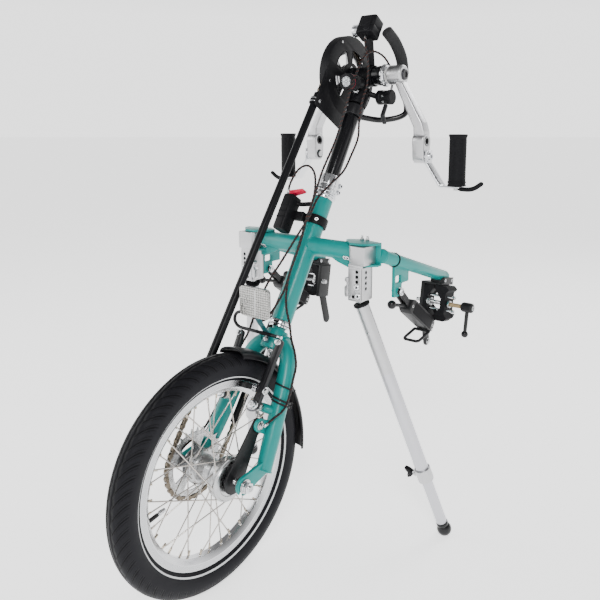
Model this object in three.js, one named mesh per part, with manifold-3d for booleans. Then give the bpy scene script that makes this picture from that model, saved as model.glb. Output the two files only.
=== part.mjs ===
// Handcycle attachment: a front wheel, fork and hand cranks that dock onto the frame of a wheelchair.
// Millimetres, +Z up. The rider sits towards +Y, the wheel rolls towards -Y and +X is the rider's left.
// The origin is the point where the tyre touches the floor.

import * as THREE from 'three';
import { mergeVertices } from 'three/addons/utils/BufferGeometryUtils.js';
import Module from 'manifold-3d';

const wasm = await Module();
wasm.setup();

const DEG = Math.PI / 180;
const HALF = 1 / 2;
const TURN = 2 * Math.PI;

// Fits
const GAP = 0.3;
const OVERRUN = 3;
const WELD = 1e-4;

// Facets of round forms
const FACETS = {
  tyre: 30, rim: 28, large: 14, medium: 10, small: 8, pin: 6, hex: 6, cable: 8, spoke: 3, roller: 4,
};

// Overall sizes
const WHEEL_RADIUS = 203;
const HEAD_TILT = 30.7 * DEG;
const FORK_OFFSET = 39.8;

// Chain drive: equal chainring and sprocket
const CHAIN = {
  pitch: 12.7, teeth: 30, spans: 64, plane: -49, rollerRadius: 3.85, plateThickness: 1.3,
  innerHalf: 1.75, plateHalf: 4.2, openPitches: 3,
};
const PITCH_RADIUS = CHAIN.pitch * HALF / Math.sin(Math.PI / CHAIN.teeth);
const CRANK_ALONG = Math.sqrt((CHAIN.pitch * CHAIN.spans) ** 2 - FORK_OFFSET ** 2);

// Tyre and rim
const TYRE = { width: 47, height: 44.5, beadGap: 0.4 };
const TYRE_SHARES = [[0.54, 0.035], [0.96, 0.36], [0.94, 0.72], [0.36, 1]];
const RIM = {
  edgeRadius: WHEEL_RADIUS - TYRE.height, width: 25, lip: 1.6, wellDepth: 7, trackHeight: 11.5, depth: 19.5,
  floorWidth: 13,
};
const VALVE = { radius: 3, length: 34, capRadius: 4, capLength: 14, turnShare: 0.61 };

// Hub
const HUB = {
  axleRadius: 4.8, bodyRadius: 21, bodyLeft: 8, bodyRight: -24,
  drumRadius: 34, drumLeft: 43, drumLip: 4, lipRadius: 37,
  flangeRadius: 31, flangeThickness: 8, right: -38,
  spokeLeft: 36, spokeRight: -31, spokeInset: 4, collarRadius: 17,
};
const SPOKES = { count: 36, radius: 1.2, crossSteps: 3, spread: 3.4, rimSpread: 2 };
const SPROCKET = {
  thickness: 2.7, rootGap: 0.35, tipRise: 3.2, seatShare: 0.2, slots: 5,
  slotInner: 27, slotOuter: 47, slotShare: 0.56, bossRadius: 20, bossRight: -58,
};

// Mudguard
const GUARD = {
  clearance: 7, thickness: 2, halfWidth: 29, skirt: 13, front: 76 * DEG, rear: -9 * DEG, steps: 12,
  tabWidth: 18, tabThickness: 4, tabHeight: 19.8, flareShare: 0.12, flareEndShare: 1 / 3, arcPoints: 5,
};
const GUARD_RADIUS = WHEEL_RADIUS + GUARD.clearance;
const GUARD_CREST = Math.sqrt(GUARD_RADIUS ** 2 - FORK_OFFSET ** 2);

// Fork
const FORK = {
  legRadius: 15, dropoutX: 70, dropoutThickness: 6, legFoot: 22, shoulderDrop: 21, shoulderX: 50,
  crownHeight: 36, crownRadius: 24, crownTopRadius: 20, steererRadius: 12.7, steererRise: 113,
  steererBore: 10, eyeRadius: 16, axleSlot: 5.2, kneeX: 58, kneeAlong: 130, legSteps: 6,
};
const LEG_SHARES = { spring: 0.45, bend: 0.84, springDrop: 1.5, foot: 0.8, tension: 0.4 };
const CROWN_BOTTOM = GUARD_CREST + GUARD.tabHeight;
const CROWN_TOP = CROWN_BOTTOM + FORK.crownHeight;
const BOSS = { x: 40, drop: 33.5, radius: 8, neckRadius: 6.5, reach: 36, pinRadius: 3.6, pinReach: 55 };
const BOSS_ALONG = RIM.edgeRadius - BOSS.drop;
const STRAP = { thickness: 5, x: 54.5, along: 96, reach: 32, width: 24, holeRadius: 3.2 };
const NUT = {
  radius: 9.5, length: 9, washerRadius: 12, washer: 2, axleEnd: 4, lockRadius: 12, lockLength: 6,
};

// Torque arm from the hub to the strap on the left leg
const TORQUE = {
  x: 48.5, thickness: 4, width: 22, hubRadius: 22, boltRadius: 3, headRadius: 6.5, headLength: 4,
};

// Rim brake
const BRAKE = {
  armWidth: 16, armThickness: 9, armTopRise: 10, topX: 47, taperShare: 0.8, padGap: 1.3, padThickness: 10,
  padHeight: 11, padLength: 54, padDrop: 6.5, postRadius: 3.4, washerRadius: 8, washerLength: 5, seat: 1.5,
  capRadius: 8, capLength: 3, anchorRadius: 4.5, anchorLength: 7, noodleRadius: 3.2, noodleSteps: 14,
};
const ARM_TOP = CROWN_BOTTOM + BRAKE.armTopRise;
const PAD_ALONG = RIM.edgeRadius - BRAKE.padDrop;

// Head tube and headset
const HEAD = {
  radius: 19, bore: 16.5, length: 248, lowerStack: 19, cupRadius: 22, cupHeight: 9, cupLip: 20,
  crownGap: 5, upperHeight: 9, brimRadius: 23.5, brim: 3,
};
const HEAD_BOTTOM = CROWN_TOP + HEAD.lowerStack;
const HEAD_TOP = HEAD_BOTTOM + HEAD.length;
const STEERER_TOP = HEAD_TOP + FORK.steererRise;
const CLAMP_RING = {
  rise: 17, height: 34, radius: 19, boltRadius: 3, earWidth: 15, earReach: 13, slit: 2, boltHead: 5,
  headRadius: 4.8,
  brim: 22, brimHeight: 4,
};
const RING_BOTTOM = HEAD_TOP + CLAMP_RING.rise;
const RING_TOP = RING_BOTTOM + CLAMP_RING.height;

// Reflector
const REFLECTOR = {
  width: 68, height: 54, thickness: 9, corner: 9, forward: -86, rise: 27, stripWidth: 14, stripThickness: 3,
  footDrop: 15, bend: -58, gripShare: 0.2,
};

// Column that carries the cranks
const COLUMN = {
  radius: 15, bore: 13, seatRise: 4, shellRadius: 20, shellLeft: 46, shellRight: -34, cup: 8,
  cupRadius: 22.5,
};
const COLUMN_SEAT = RING_BOTTOM + COLUMN.seatRise;
const AXLE = { radius: 8, boltRadius: 11, boltHeight: 3, end: 92, spiderRadius: 17 };

// Cranks
const CRANK = {
  bossRadius: 19, bossInner: 60, bossOuter: 92, length: 160, secondHole: 130, offset: 48, kneeDrop: 100,
  thickness: 14, width: 27, eyeThickness: 26, eyeRadius: 16, pinRadius: 6, holeRadius: 5.5, taperShare: 0.86,
  rootShare: 0.64,
};

// Hand pedals
const PEDAL = {
  flangeRadius: 12, flangeThickness: 6, strapThickness: 3.5, strapWidth: 25, drop: 58, kneeX: 181,
  reach: 212, tip: 222,
  postRadius: 6, gripRadius: 16.5, gripLength: 98, collarRadius: 18, collarLength: 6, hookRadius: 4.5,
  hookReach: 50, hookRise: 12, hookSteps: 7, nutRadius: 7, nutLength: 5, pinEnd: 3, rings: 2, ringDepth: 1.4,
  ringLength: 3, ringPitch: 6,
};
const HOOK_SHARES = { start: 0.14, middle: 0.5, bend: 0.75, rise: 0.3 };

// Chain guard and tubes
const CASE = {
  radius: 84, inner: 80, plate: 3, plateX: -38, rimX: -57, tailDrop: 114, tailFront: -76, tailRear: 62,
  tailCorner: 74,
  windowInner: 30, windowOuter: 70, windows: 5, windowShare: 0.74, mountRadius: 27, boreGap: 1.2,
  rimShare: 0.97,
};
const TUBE = { outer: 7.6, inner: 6.1, start: 84, end: 84, clampEnd: 24, clampWidth: 12, clampWall: 3 };
const TUBE_TOP = CRANK_ALONG - TUBE.end;

// Foam-covered hand rest beside the left crank; its route runs from the crank centre
const REST = {
  barRadius: 6, foamRadius: 12, drop: 85, ringHeight: 22, ringRadius: 20, barSteps: 10, foamSteps: 9,
};
const REST_ROUTE = [
  [34, 13, -88], [70, 43, -75], [67, 44, -36], [63, 45, 4], [58, 43, 38], [51, 29, 67], [45, 7, 87],
];
const REST_FOAM_FROM = 3;

// Headlight, placed from the crank centre
const LAMP = {
  radius: 16, length: 48, x: 10, standoff: 22, z: -15, lensRadius: 12.5, lensThickness: 4,
  stemWidth: 12, clampRadius: 21, clampHeight: 26, clampDrop: 70, pivotShare: 0.2, rootShare: 0.8,
  tilt: 12 * DEG,
};

// Gear selector on top of the column
const SELECTOR = {
  width: 40, depth: 34, height: 40, x: 16, forward: -58, rise: 74, corner: 6, dialRadius: 13, dialLength: 15,
  dialDrop: 4, ridges: 12, ridgeDepth: 1.1, footWidth: 16, footThickness: 6, footShare: 0.3, seatShare: 0.72,
};

// Hand brake lever under the left end of the crank shell, placed from the crank centre
const LEVER = {
  bodyRadius: 15, bodyLength: 34, x: 47, y: 3, z: -43, neckRadius: 6, neckDrop: 32, bladeWidth: 9,
  bladeThickness: 6, bladeLength: 34, kick: 18,
};
const BLADE_SHARES = { bend: 0.7, tip: 1.1, back: 0.8 };

// Parking lever unit clamped to the head tube
const PARK = {
  x: -50, back: -30, drop: 47, width: 26, depth: 32, height: 74, corner: 7, bandHeight: 18, bandWall: 4,
  bridge: 16, latchRadius: 5, latchLength: 30, latchWidth: 14, latchRise: 8,
  strutRadius: 4.5, strutFrom: 25, strutTo: 17,
};
const PARK_ALONG = HEAD_TOP - PARK.drop;

// Crossbar through the head tube, and its end brackets, placed from the crossing
const BAR = {
  drop: 95.5, radius: 17, end: 112, gussetReach: 46, gussetDrop: 30, gussetThickness: 4, gussetEnd: 3,
};
const BAR_ALONG = HEAD_TOP - BAR.drop;
const CLEVIS = {
  inner: 112, outer: 162, front: -26, rear: 8, heel: 14, half: 17, plate: 4, chamfer: 22, studRadius: 2.5,
  studHeight: 8, studInset: 5, studBack: 12, studPitch: 12,
};

// Stand: block held in the end bracket, with the perforated channel below it, and the telescopic leg
const BLOCK = { inner: 113.4, outer: 152, front: -33, rear: 3.5, corner: 13, cornerSteps: 4, gap: 0.4 };
const CHANNEL = {
  inner: 118, outer: 146, front: -33, rear: 3, bottom: -82, wall: 3, holeRadius: 2.6, holes: 4,
  holePitch: 13, firstHole: 12, boltRadius: 5, boltHeight: 3, bolts: 2, slotWidth: 5,
  slotHeight: 16,
  earReach: 9, earTop: -40, earThickness: 12, earCorner: 5,
};
const LEG = {
  footX: 256, footBack: 100, radius: 12.5, bore: 10.8, innerRadius: 10.4,
  collarShare: 0.72, collarRadius: 15.5, collarLength: 26, knobRadius: 6.5, knobRise: 5, knobReach: 10,
  knobStem: 3.5,
  wingLength: 24, wingReach: 15, wingThickness: 9, wingCorner: 4,
  ball: 14, ballFlat: 2, innerTopShare: 0.45, boreTopShare: 0.2, buttonRadius: 3, buttonShare: 0.13,
  buttonRise: 1.5,
  gasketRadius: 15, gasketStart: 6, gasketLength: 5, plugRise: 8, plugRadius: 7,
};

// Rear arms and the lug under each
const ARM = { x: 162, front: 6, top: -2, back: 251, bottom: -84, radius: 12 };
const ARM_SLOPE = Math.atan2(ARM.top - ARM.bottom, ARM.back - ARM.front);
const LUG = {
  thickness: 6, alongShare: 0.245, drop: 56.4, ahead: 18, behind: 34, below: 9, step: 14, windowWidth: 20,
  windowHeight: 14, windowRise: 24, windowAhead: 4, boltRadius: 4,
};
const LUG_Y = ARM.front + LUG.alongShare * (ARM.back - ARM.front);
const LUG_Z = ARM.top + LUG.alongShare * (ARM.bottom - ARM.top) - LUG.drop;

// Over-centre toggle, hung on the lug's bolt
const TOGGLE = {
  width: 26, depth: 30, room: 62, angle: 35.5 * DEG, startBack: 31, startDrop: 31.5, ballRadius: 8.5,
  ballAhead: 21, ballDrop: 21.5, linkWidth: 12, linkThickness: 5, rodRadius: 3.5, capLength: 10,
  capShare: 0.7, pinEnd: 3,
};
const TOGGLE_LENGTH = (ARM.back - LUG_Y - TOGGLE.startBack - TOGGLE.room) / Math.cos(TOGGLE.angle);
const BAIL = { wire: 3, reach: 44, drop: 9, setback: 20 };

// Wheelchair clamp, placed from the arm's end and leaning half as far as the arm slopes
const CLAMP_TILT = ARM_SLOPE * HALF;
const JAW = {
  y: -27, hang: 17, height: 72, front: -38, rear: 2, lip: 2.5, lipHeight: 8, mouth: 17, notchHalf: 9,
  outerBack: 33, outerWaist: 27, innerBack: 23, waistHalf: 22, chamfer: 6, grooveY: -9, grooveHalf: 8,
  heel: 14,
};
const JAW_TOP = JAW.height * HALF;
const JAW_DROP = JAW.hang + JAW_TOP;
const HANGER = {
  spine: 8, front: -36, rear: 2, bridge: 4, saddleHalf: 15.5, saddleFront: -26, saddleRear: 16, saddleTop: -1,
  strutThickness: 6, strutTopY: -20, strutY: 8, strutDrop: 143, strutRadius: 10, boltRadius: 5, boltHeight: 4,
  rodRadius: 2.5, rodRise: 14, rodEnd: 40, rodHead: 4, rodHeadRadius: 4,
};
const SCREW = {
  radius: 4.5, start: 42, end: 60, headRadius: 10, headLength: 24, leverRadius: 4, leverDrop: 50,
  ballRadius: 7, nutRadius: 8, nutLength: 6, knurlRadius: 8.5, knurlLength: 9, sleeveRadius: 6.5,
};

const CABLE_RADIUS = 2.5;
const CABLE_STEP_SHARE = 1.15;

// Frames of reference
const alongHead = new THREE.Vector3(0, Math.sin(HEAD_TILT), Math.cos(HEAD_TILT));
const behindHead = new THREE.Vector3(0, Math.cos(HEAD_TILT), -Math.sin(HEAD_TILT));
const axisFoot = new THREE.Vector3(0, 0, WHEEL_RADIUS).addScaledVector(behindHead, FORK_OFFSET);
const X = new THREE.Vector3(1, 0, 0);
const Y = new THREE.Vector3(0, 1, 0);
const Z = new THREE.Vector3(0, 0, 1);
const barCentre = axisFoot.clone().addScaledVector(alongHead, BAR_ALONG);

const v = (x, y, z) => new THREE.Vector3(x, y, z);

// Geometry to solid, with its faces turned outwards
function solid(geometry) {
  const bare = geometry.clone();
  bare.deleteAttribute('normal');
  bare.deleteAttribute('uv');
  const merged = mergeVertices(bare, WELD);
  const points = merged.attributes.position.array;
  const index = merged.index.array;
  const faces = [];
  let volume = 0;
  const a = v(0, 0, 0);
  const b = v(0, 0, 0);
  const c = v(0, 0, 0);
  for (let i = 0; i < index.length; i += 3) {
    const [p, q, r] = [index[i], index[i + 1], index[i + 2]];
    if (p === q || q === r || r === p) continue;
    faces.push([p, q, r]);
    a.fromArray(points, 3 * p);
    b.fromArray(points, 3 * q);
    c.fromArray(points, 3 * r);
    volume += a.dot(b.cross(c));
  }
  const flat = volume < 0 ? faces.flatMap(([p, q, r]) => [p, r, q]) : faces.flat();
  return new wasm.Manifold(new wasm.Mesh({
    numProp: 3, vertProperties: Float32Array.from(points), triVerts: Uint32Array.from(flat),
  }));
}

const join = (...solids) => solids.reduce((sum, next) => sum.add(next));
const cut = (body, ...tools) => tools.reduce((rest, tool) => rest.subtract(tool), body);

function surface(shape) {
  const mesh = shape.getMesh();
  const geometry = new THREE.BufferGeometry();
  const points = new Float32Array(mesh.numVert * 3);
  for (let i = 0; i < mesh.numVert; i += 1) {
    for (let k = 0; k < 3; k += 1) points[3 * i + k] = mesh.vertProperties[mesh.numProp * i + k];
  }
  geometry.setAttribute('position', new THREE.BufferAttribute(points, 3));
  geometry.setIndex(new THREE.BufferAttribute(Uint32Array.from(mesh.triVerts), 1));
  geometry.computeVertexNormals();
  return geometry;
}

// Placement whose X, Y and Z follow two given directions and their cross product
function placed(origin, xDirection, yDirection) {
  const x = xDirection.clone().normalize();
  const z = x.clone().cross(yDirection).normalize();
  const y = z.clone().cross(x);
  return new THREE.Matrix4().makeBasis(x, y, z).setPosition(origin);
}

// Round bar between two points; a second radius makes it taper
function bar(from, to, radius, facets = FACETS.small, endRadius = radius) {
  const axis = to.clone().sub(from);
  const geometry = new THREE.CylinderGeometry(endRadius, radius, axis.length(), facets);
  geometry.translate(0, axis.length() * HALF, 0);
  const turn = new THREE.Quaternion().setFromUnitVectors(Y, axis.normalize());
  geometry.applyQuaternion(turn).translate(from.x, from.y, from.z);
  return solid(geometry);
}

// Hole for a round piece: its flats stay outside the radius
function drill(from, to, radius, facets = FACETS.medium) {
  return bar(from, to, radius / Math.cos(Math.PI / facets), facets);
}

// Hole that runs past both places
function through(from, to, radius, facets = FACETS.medium) {
  const axis = to.clone().sub(from).normalize();
  const late = to.clone().addScaledVector(axis, OVERRUN);
  return drill(from.clone().addScaledVector(axis, -OVERRUN), late, radius, facets);
}

// Ring between two points
function pipe(from, to, outer, inner, facets = FACETS.medium) {
  return cut(bar(from, to, outer, facets), through(from, to, inner, facets));
}

function ball(centre, radius, facets = FACETS.small) {
  const geometry = new THREE.SphereGeometry(radius, facets, facets * HALF);
  return solid(geometry.translate(centre.x, centre.y, centre.z));
}

// Box from its lowest to its highest corner
function box(low, high) {
  const size = high.clone().sub(low);
  const middle = high.clone().add(low).multiplyScalar(HALF);
  return solid(new THREE.BoxGeometry(size.x, size.y, size.z).translate(middle.x, middle.y, middle.z));
}

// Box between two places across, along and up; s mirrors it to the other side
function sideBox(s, [x1, x2], [y1, y2], [z1, z2]) {
  return box(v(Math.min(s * x1, s * x2), y1, z1), v(Math.max(s * x1, s * x2), y2, z2));
}

const mirrored = (s, outline) => outline.map(([x, y]) => [s * x, y]);

// Plate with the given outline, centred on its own plane
function plate(outline, thickness, place, holes = []) {
  const shape = new THREE.Shape(outline.map(([x, y]) => new THREE.Vector2(x, y)));
  for (const hole of holes) shape.holes.push(new THREE.Path(hole.map(([x, y]) => new THREE.Vector2(x, y))));
  const geometry = new THREE.ExtrudeGeometry(shape, { depth: thickness, bevelEnabled: false, steps: 1 });
  geometry.translate(0, 0, -thickness * HALF);
  return solid(geometry.applyMatrix4(place));
}

// Revolved profile of [place along X, radius] pairs
function revolvedX(profile, facets, start = 0) {
  const points = profile.map(([x, r]) => new THREE.Vector2(r, x));
  points.push(points[0].clone());
  return solid(new THREE.LatheGeometry(points, facets, start, TURN).rotateZ(-Math.PI * HALF));
}

// Tube along a smooth curve through the points
function sweep(points, radius, steps, facets = FACETS.cable, tension = HALF) {
  const curve = new THREE.CatmullRomCurve3(points, false, 'catmullrom', tension);
  return solid(
    new THREE.ExtrudeGeometry(disc(radius, facets), { extrudePath: curve, steps, bevelEnabled: false }),
  );
}

function disc(radius, facets) {
  return new THREE.Shape(circle(radius, facets).map(([x, y]) => new THREE.Vector2(x, y)));
}

const circle = (radius, facets, cx = 0, cy = 0) => Array.from({ length: facets }, (_, i) => {
  const a = TURN * i / facets;
  return [cx + radius * Math.cos(a), cy + radius * Math.sin(a)];
});

// Rectangle with rounded corners, centred
function rounded(width, height, corner, perCorner = 2) {
  const points = [];
  const centres = [[1, 1], [-1, 1], [-1, -1], [1, -1]];
  centres.forEach(([sx, sy], quarter) => {
    for (let i = 0; i <= perCorner; i += 1) {
      const a = (quarter + i / perCorner) * Math.PI * HALF;
      points.push([
        sx * (width * HALF - corner) + corner * Math.cos(a),
        sy * (height * HALF - corner) + corner * Math.sin(a),
      ]);
    }
  });
  return points;
}

// Outline round two circles, as a link or a lever has
function linkOutline([x1, y1], r1, [x2, y2], r2, facets = 5) {
  const heading = Math.atan2(y2 - y1, x2 - x1);
  const lean = Math.acos((r1 - r2) / Math.hypot(x2 - x1, y2 - y1));
  const points = [];
  for (let i = 0; i <= facets; i += 1) {
    const a = heading + lean + (TURN - 2 * lean) * i / facets;
    points.push([x1 + r1 * Math.cos(a), y1 + r1 * Math.sin(a)]);
  }
  for (let i = 0; i <= facets; i += 1) {
    const a = heading - lean + 2 * lean * i / facets;
    points.push([x2 + r2 * Math.cos(a), y2 + r2 * Math.sin(a)]);
  }
  return points;
}

// Finishes
const finish = (colour, roughness, metalness) => new THREE.MeshStandardMaterial(
  { color: colour, roughness, metalness },
);
const PAINT = () => finish(0x00a19c, 0.35, 0.1);
const BLACK = () => finish(0x17181b, 0.5, 0.1);
const SATIN = () => finish(0xb9bbbf, 0.35, 0.9);
const BRIGHT = () => finish(0xd8dade, 0.15, 1);
const RUBBER = () => finish(0x2b2c30, 0.85, 0);
const STEEL = () => finish(0x8b8378, 0.4, 0.9);

const handcycle = new THREE.Group();
const steered = new THREE.Group();
steered.position.copy(axisFoot);
steered.rotation.x = -HEAD_TILT;
handcycle.add(steered);
const headFrame = new THREE.Group();
headFrame.position.copy(axisFoot);
headFrame.rotation.x = -HEAD_TILT;
handcycle.add(headFrame);
const wheel = new THREE.Group();
wheel.position.set(0, -FORK_OFFSET, 0);
steered.add(wheel);
const crankAxis = new THREE.Group();
crankAxis.position.set(0, 0, CRANK_ALONG);
steered.add(crankAxis);
const cranks = new THREE.Group();
cranks.rotation.x = HEAD_TILT;
crankAxis.add(cranks);
const dock = new THREE.Group();
dock.position.copy(barCentre);
handcycle.add(dock);
const armEnds = new THREE.Group();
armEnds.position.set(0, ARM.back, ARM.bottom);
armEnds.rotation.x = -CLAMP_TILT;
dock.add(armEnds);

function add(name, shape, material, parent) {
  const mesh = new THREE.Mesh(surface(shape), material);
  mesh.name = name;
  parent.add(mesh);
  return mesh;
}

const CONTACT_TURN = Math.PI + HEAD_TILT;

// Wheel
function tyre() {
  const half = TYRE.width * HALF;
  const height = WHEEL_RADIUS - RIM.edgeRadius;
  const bead = RIM.width * HALF - RIM.lip - TYRE.beadGap;
  const floor = RIM.edgeRadius - RIM.wellDepth + TYRE.beadGap;
  const side = TYRE_SHARES.map(([w, h]) => [w * half, RIM.edgeRadius + h * height]);
  const right = [[bead, floor], [bead, RIM.edgeRadius + TYRE.beadGap], ...side];
  const stretch = 1 / Math.cos(Math.PI / FACETS.tyre);
  const profile = [...right, ...right.map(([x, r]) => [-x, r]).reverse()];
  const facetHalf = Math.PI / FACETS.tyre;
  return revolvedX(profile.map(([x, r]) => [x, r * stretch]), FACETS.tyre, CONTACT_TURN - facetHalf);
}

function rim() {
  const half = RIM.width * HALF;
  const lipInner = half - RIM.lip;
  const well = RIM.edgeRadius - RIM.wellDepth;
  const track = RIM.edgeRadius - RIM.trackHeight;
  const floor = RIM.edgeRadius - RIM.depth;
  const right = [
    [RIM.floorWidth * HALF, floor], [half, track], [half, RIM.edgeRadius], [lipInner, RIM.edgeRadius],
    [lipInner, well],
  ];
  const profile = [...right, ...right.map(([x, r]) => [-x, r]).reverse()];
  const body = revolvedX(profile, FACETS.rim, CONTACT_TURN - Math.PI / FACETS.rim);
  const a = VALVE.turnShare * TURN;
  const out = v(0, Math.cos(a), Math.sin(a));
  const foot = out.clone().multiplyScalar(well - RIM.lip);
  const neck = out.clone().multiplyScalar(floor - VALVE.length);
  const capFoot = out.clone().multiplyScalar(floor - VALVE.length + VALVE.capLength);
  return join(
    body, bar(foot, neck, VALVE.radius, FACETS.pin), bar(capFoot, neck, VALVE.capRadius, FACETS.pin),
  );
}

// Hub shell with its spokes
function hubShell() {
  const profile = [
    [HUB.right, HUB.axleRadius + GAP], [HUB.right, HUB.collarRadius],
    [HUB.spokeRight - HUB.flangeThickness * HALF, HUB.collarRadius],
    [HUB.spokeRight - HUB.flangeThickness * HALF, HUB.flangeRadius],
    [HUB.spokeRight + HUB.flangeThickness * HALF, HUB.flangeRadius],
    [HUB.bodyRight, HUB.bodyRadius], [HUB.bodyLeft, HUB.bodyRadius],
    [HUB.bodyLeft + HUB.drumRadius - HUB.bodyRadius, HUB.drumRadius],
    [HUB.spokeLeft - HUB.drumLip, HUB.drumRadius],
    [HUB.spokeLeft - HUB.drumLip, HUB.lipRadius], [HUB.spokeLeft + HUB.drumLip, HUB.lipRadius],
    [HUB.drumLeft, HUB.drumRadius], [HUB.drumLeft, HUB.axleRadius + GAP],
  ];
  let shape = revolvedX(profile, FACETS.large);
  const rimFloor = (RIM.edgeRadius - RIM.depth) * Math.cos(Math.PI / FACETS.rim) - GAP - SPOKES.radius * HALF;
  const perSide = SPOKES.count * HALF;
  const sweepBack = SPOKES.crossSteps * TURN / perSide;
  for (let i = 0; i < SPOKES.count; i += 1) {
    const left = i % 2 === 0;
    const forward = Math.floor(i * HALF) % 2 === 0;
    const x = left ? HUB.spokeLeft : HUB.spokeRight;
    const seat = (left ? HUB.lipRadius : HUB.flangeRadius) - HUB.spokeInset;
    const rimAngle = TURN * (i + HALF) / SPOKES.count;
    const hubAngle = rimAngle + (forward ? sweepBack : -sweepBack);
    const inner = v(
      x + (forward ? SPOKES.spread : -SPOKES.spread), seat * Math.cos(hubAngle),
      seat * Math.sin(hubAngle),
    );
    const outer = v(
      (left ? 1 : -1) * SPOKES.rimSpread, rimFloor * Math.cos(rimAngle), rimFloor * Math.sin(rimAngle),
    );
    shape = join(shape, bar(inner, outer, SPOKES.radius, FACETS.spoke));
  }
  return shape;
}

function hubAxle() {
  const plateOuter = FORK.dropoutX + FORK.dropoutThickness * HALF + GAP;
  const plateInner = FORK.dropoutX - FORK.dropoutThickness * HALF - GAP;
  const end = plateOuter + NUT.washer + NUT.length + NUT.axleEnd;
  let shape = bar(v(-end, 0, 0), v(end, 0, 0), HUB.axleRadius, FACETS.small);
  for (const s of [-1, 1]) {
    const washerEnd = plateOuter + NUT.washer;
    shape = join(
      shape, bar(v(s * plateOuter, 0, 0), v(s * washerEnd, 0, 0), NUT.washerRadius, FACETS.small),
      bar(v(s * washerEnd, 0, 0), v(s * (washerEnd + NUT.length), 0, 0), NUT.radius, FACETS.hex),
      bar(v(s * plateInner, 0, 0), v(s * (plateInner - NUT.lockLength), 0, 0), NUT.lockRadius, FACETS.hex),
    );
  }
  return shape;
}

// Toothed disc whose valleys hold the chain rollers; a valley points along `start`
function toothedDisc(start, thickness, x) {
  const points = [];
  const step = TURN / CHAIN.teeth;
  const root = PITCH_RADIUS - CHAIN.rollerRadius - SPROCKET.rootGap;
  const tip = PITCH_RADIUS + SPROCKET.tipRise;
  for (let i = 0; i < CHAIN.teeth; i += 1) {
    const a = start + i * step;
    for (const [share, r] of [
      [-SPROCKET.seatShare, root], [SPROCKET.seatShare, root], [HALF, tip],
    ]) {
      points.push([r * Math.cos(a + share * step), r * Math.sin(a + share * step)]);
    }
  }
  const slots = [];
  for (let k = 0; k < SPROCKET.slots; k += 1) {
    slots.push(slotOutline(k, SPROCKET.slots, SPROCKET.slotInner, SPROCKET.slotOuter, SPROCKET.slotShare));
  }
  return plate(points, thickness, placed(v(x, 0, 0), Y, Z), slots);
}

// Curved window between two radii
function slotOutline(k, count, inner, outer, share, facets = 2) {
  const points = [];
  const step = TURN / count;
  const half = step * share * HALF;
  for (let i = 0; i <= facets; i += 1) {
    const a = k * step - half + 2 * half * i / facets;
    points.push([outer * Math.cos(a), outer * Math.sin(a)]);
  }
  for (let i = facets; i >= 0; i -= 1) {
    const a = k * step - half + 2 * half * i / facets;
    points.push([inner * Math.cos(a), inner * Math.sin(a)]);
  }
  return points;
}

// The chain runs along the line from the hub to the crank axis
const chainLine = v(0, FORK_OFFSET, CRANK_ALONG).normalize();
const chainFront = v(0, -chainLine.z, chainLine.y);
const valleyAngle = Math.atan2(chainFront.z, chainFront.y);

function sprocket() {
  const boss = pipe(
    v(CHAIN.plane, 0, 0), v(SPROCKET.bossRight, 0, 0), SPROCKET.bossRadius, HUB.axleRadius + GAP,
  );
  const inner = pipe(v(CHAIN.plane, 0, 0), v(HUB.right - GAP, 0, 0), HUB.collarRadius, HUB.axleRadius + GAP);
  const bore = drill(
    v(CHAIN.plane - OVERRUN, 0, 0), v(CHAIN.plane + OVERRUN, 0, 0), HUB.axleRadius + GAP, FACETS.medium,
  );
  return join(cut(toothedDisc(valleyAngle, SPROCKET.thickness, CHAIN.plane), bore), boss, inner);
}

// Pin places round the whole loop, in the head-axis frame; the runs inside the tubes need none, and the
// loop turns only at some of them
function chainPins() {
  const hub = v(0, -FORK_OFFSET, 0);
  const crank = v(0, 0, CRANK_ALONG);
  const rear = chainFront.clone().negate();
  const down = chainLine.clone().negate();
  const pins = [];
  const wrap = (centre, startAngle) => {
    for (let k = 0; k < CHAIN.teeth * HALF; k += 1) {
      const a = startAngle - k * TURN / CHAIN.teeth;
      const out = v(0, Math.cos(a), Math.sin(a));
      pins.push({ point: centre.clone().addScaledVector(out, PITCH_RADIUS), out, turns: true });
    }
  };
  const run = (from, towards, out) => {
    for (let k = 0; k < CHAIN.spans; k += 1) {
      if (k > CHAIN.openPitches && k < CHAIN.spans - CHAIN.openPitches) continue;
      const point = from.clone().addScaledVector(out, PITCH_RADIUS).addScaledVector(towards, k * CHAIN.pitch);
      pins.push({ point, out, turns: k === 0 });
    }
  };
  run(hub, chainLine, chainFront);
  wrap(crank, valleyAngle);
  run(crank, down, rear);
  wrap(hub, valleyAngle + Math.PI);
  return pins;
}

// Closed loop of side plates
function chainPlates(pins, inner, outer) {
  const points = [];
  const index = [];
  pins.forEach(({ point, out }) => {
    for (const [x, side] of [[inner, -1], [outer, -1], [outer, 1], [inner, 1]]) {
      const corner = point.clone().addScaledVector(out, side * CHAIN.plateHalf);
      points.push(CHAIN.plane + x, corner.y, corner.z);
    }
  });
  pins.forEach((_, i) => {
    const a = 4 * i;
    const b = 4 * ((i + 1) % pins.length);
    for (let k = 0; k < 4; k += 1) {
      const n = (k + 1) % 4;
      index.push(a + k, b + k, b + n, a + k, b + n, a + n);
    }
  });
  const geometry = new THREE.BufferGeometry();
  geometry.setAttribute('position', new THREE.Float32BufferAttribute(points, 3));
  geometry.setIndex(index);
  return solid(geometry);
}

function chain() {
  const pins = chainPins();
  const near = CHAIN.innerHalf;
  const far = CHAIN.innerHalf + CHAIN.plateThickness;
  const reach = near + CHAIN.plateThickness * HALF;
  const corners = pins.filter(({ turns }) => turns);
  let shape = join(chainPlates(corners, near, far), chainPlates(corners, -far, -near));
  for (const { point } of pins) {
    const from = v(CHAIN.plane - reach, point.y, point.z);
    const to = v(CHAIN.plane + reach, point.y, point.z);
    shape = join(shape, bar(from, to, CHAIN.rollerRadius, FACETS.roller));
  }
  return shape;
}

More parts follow.
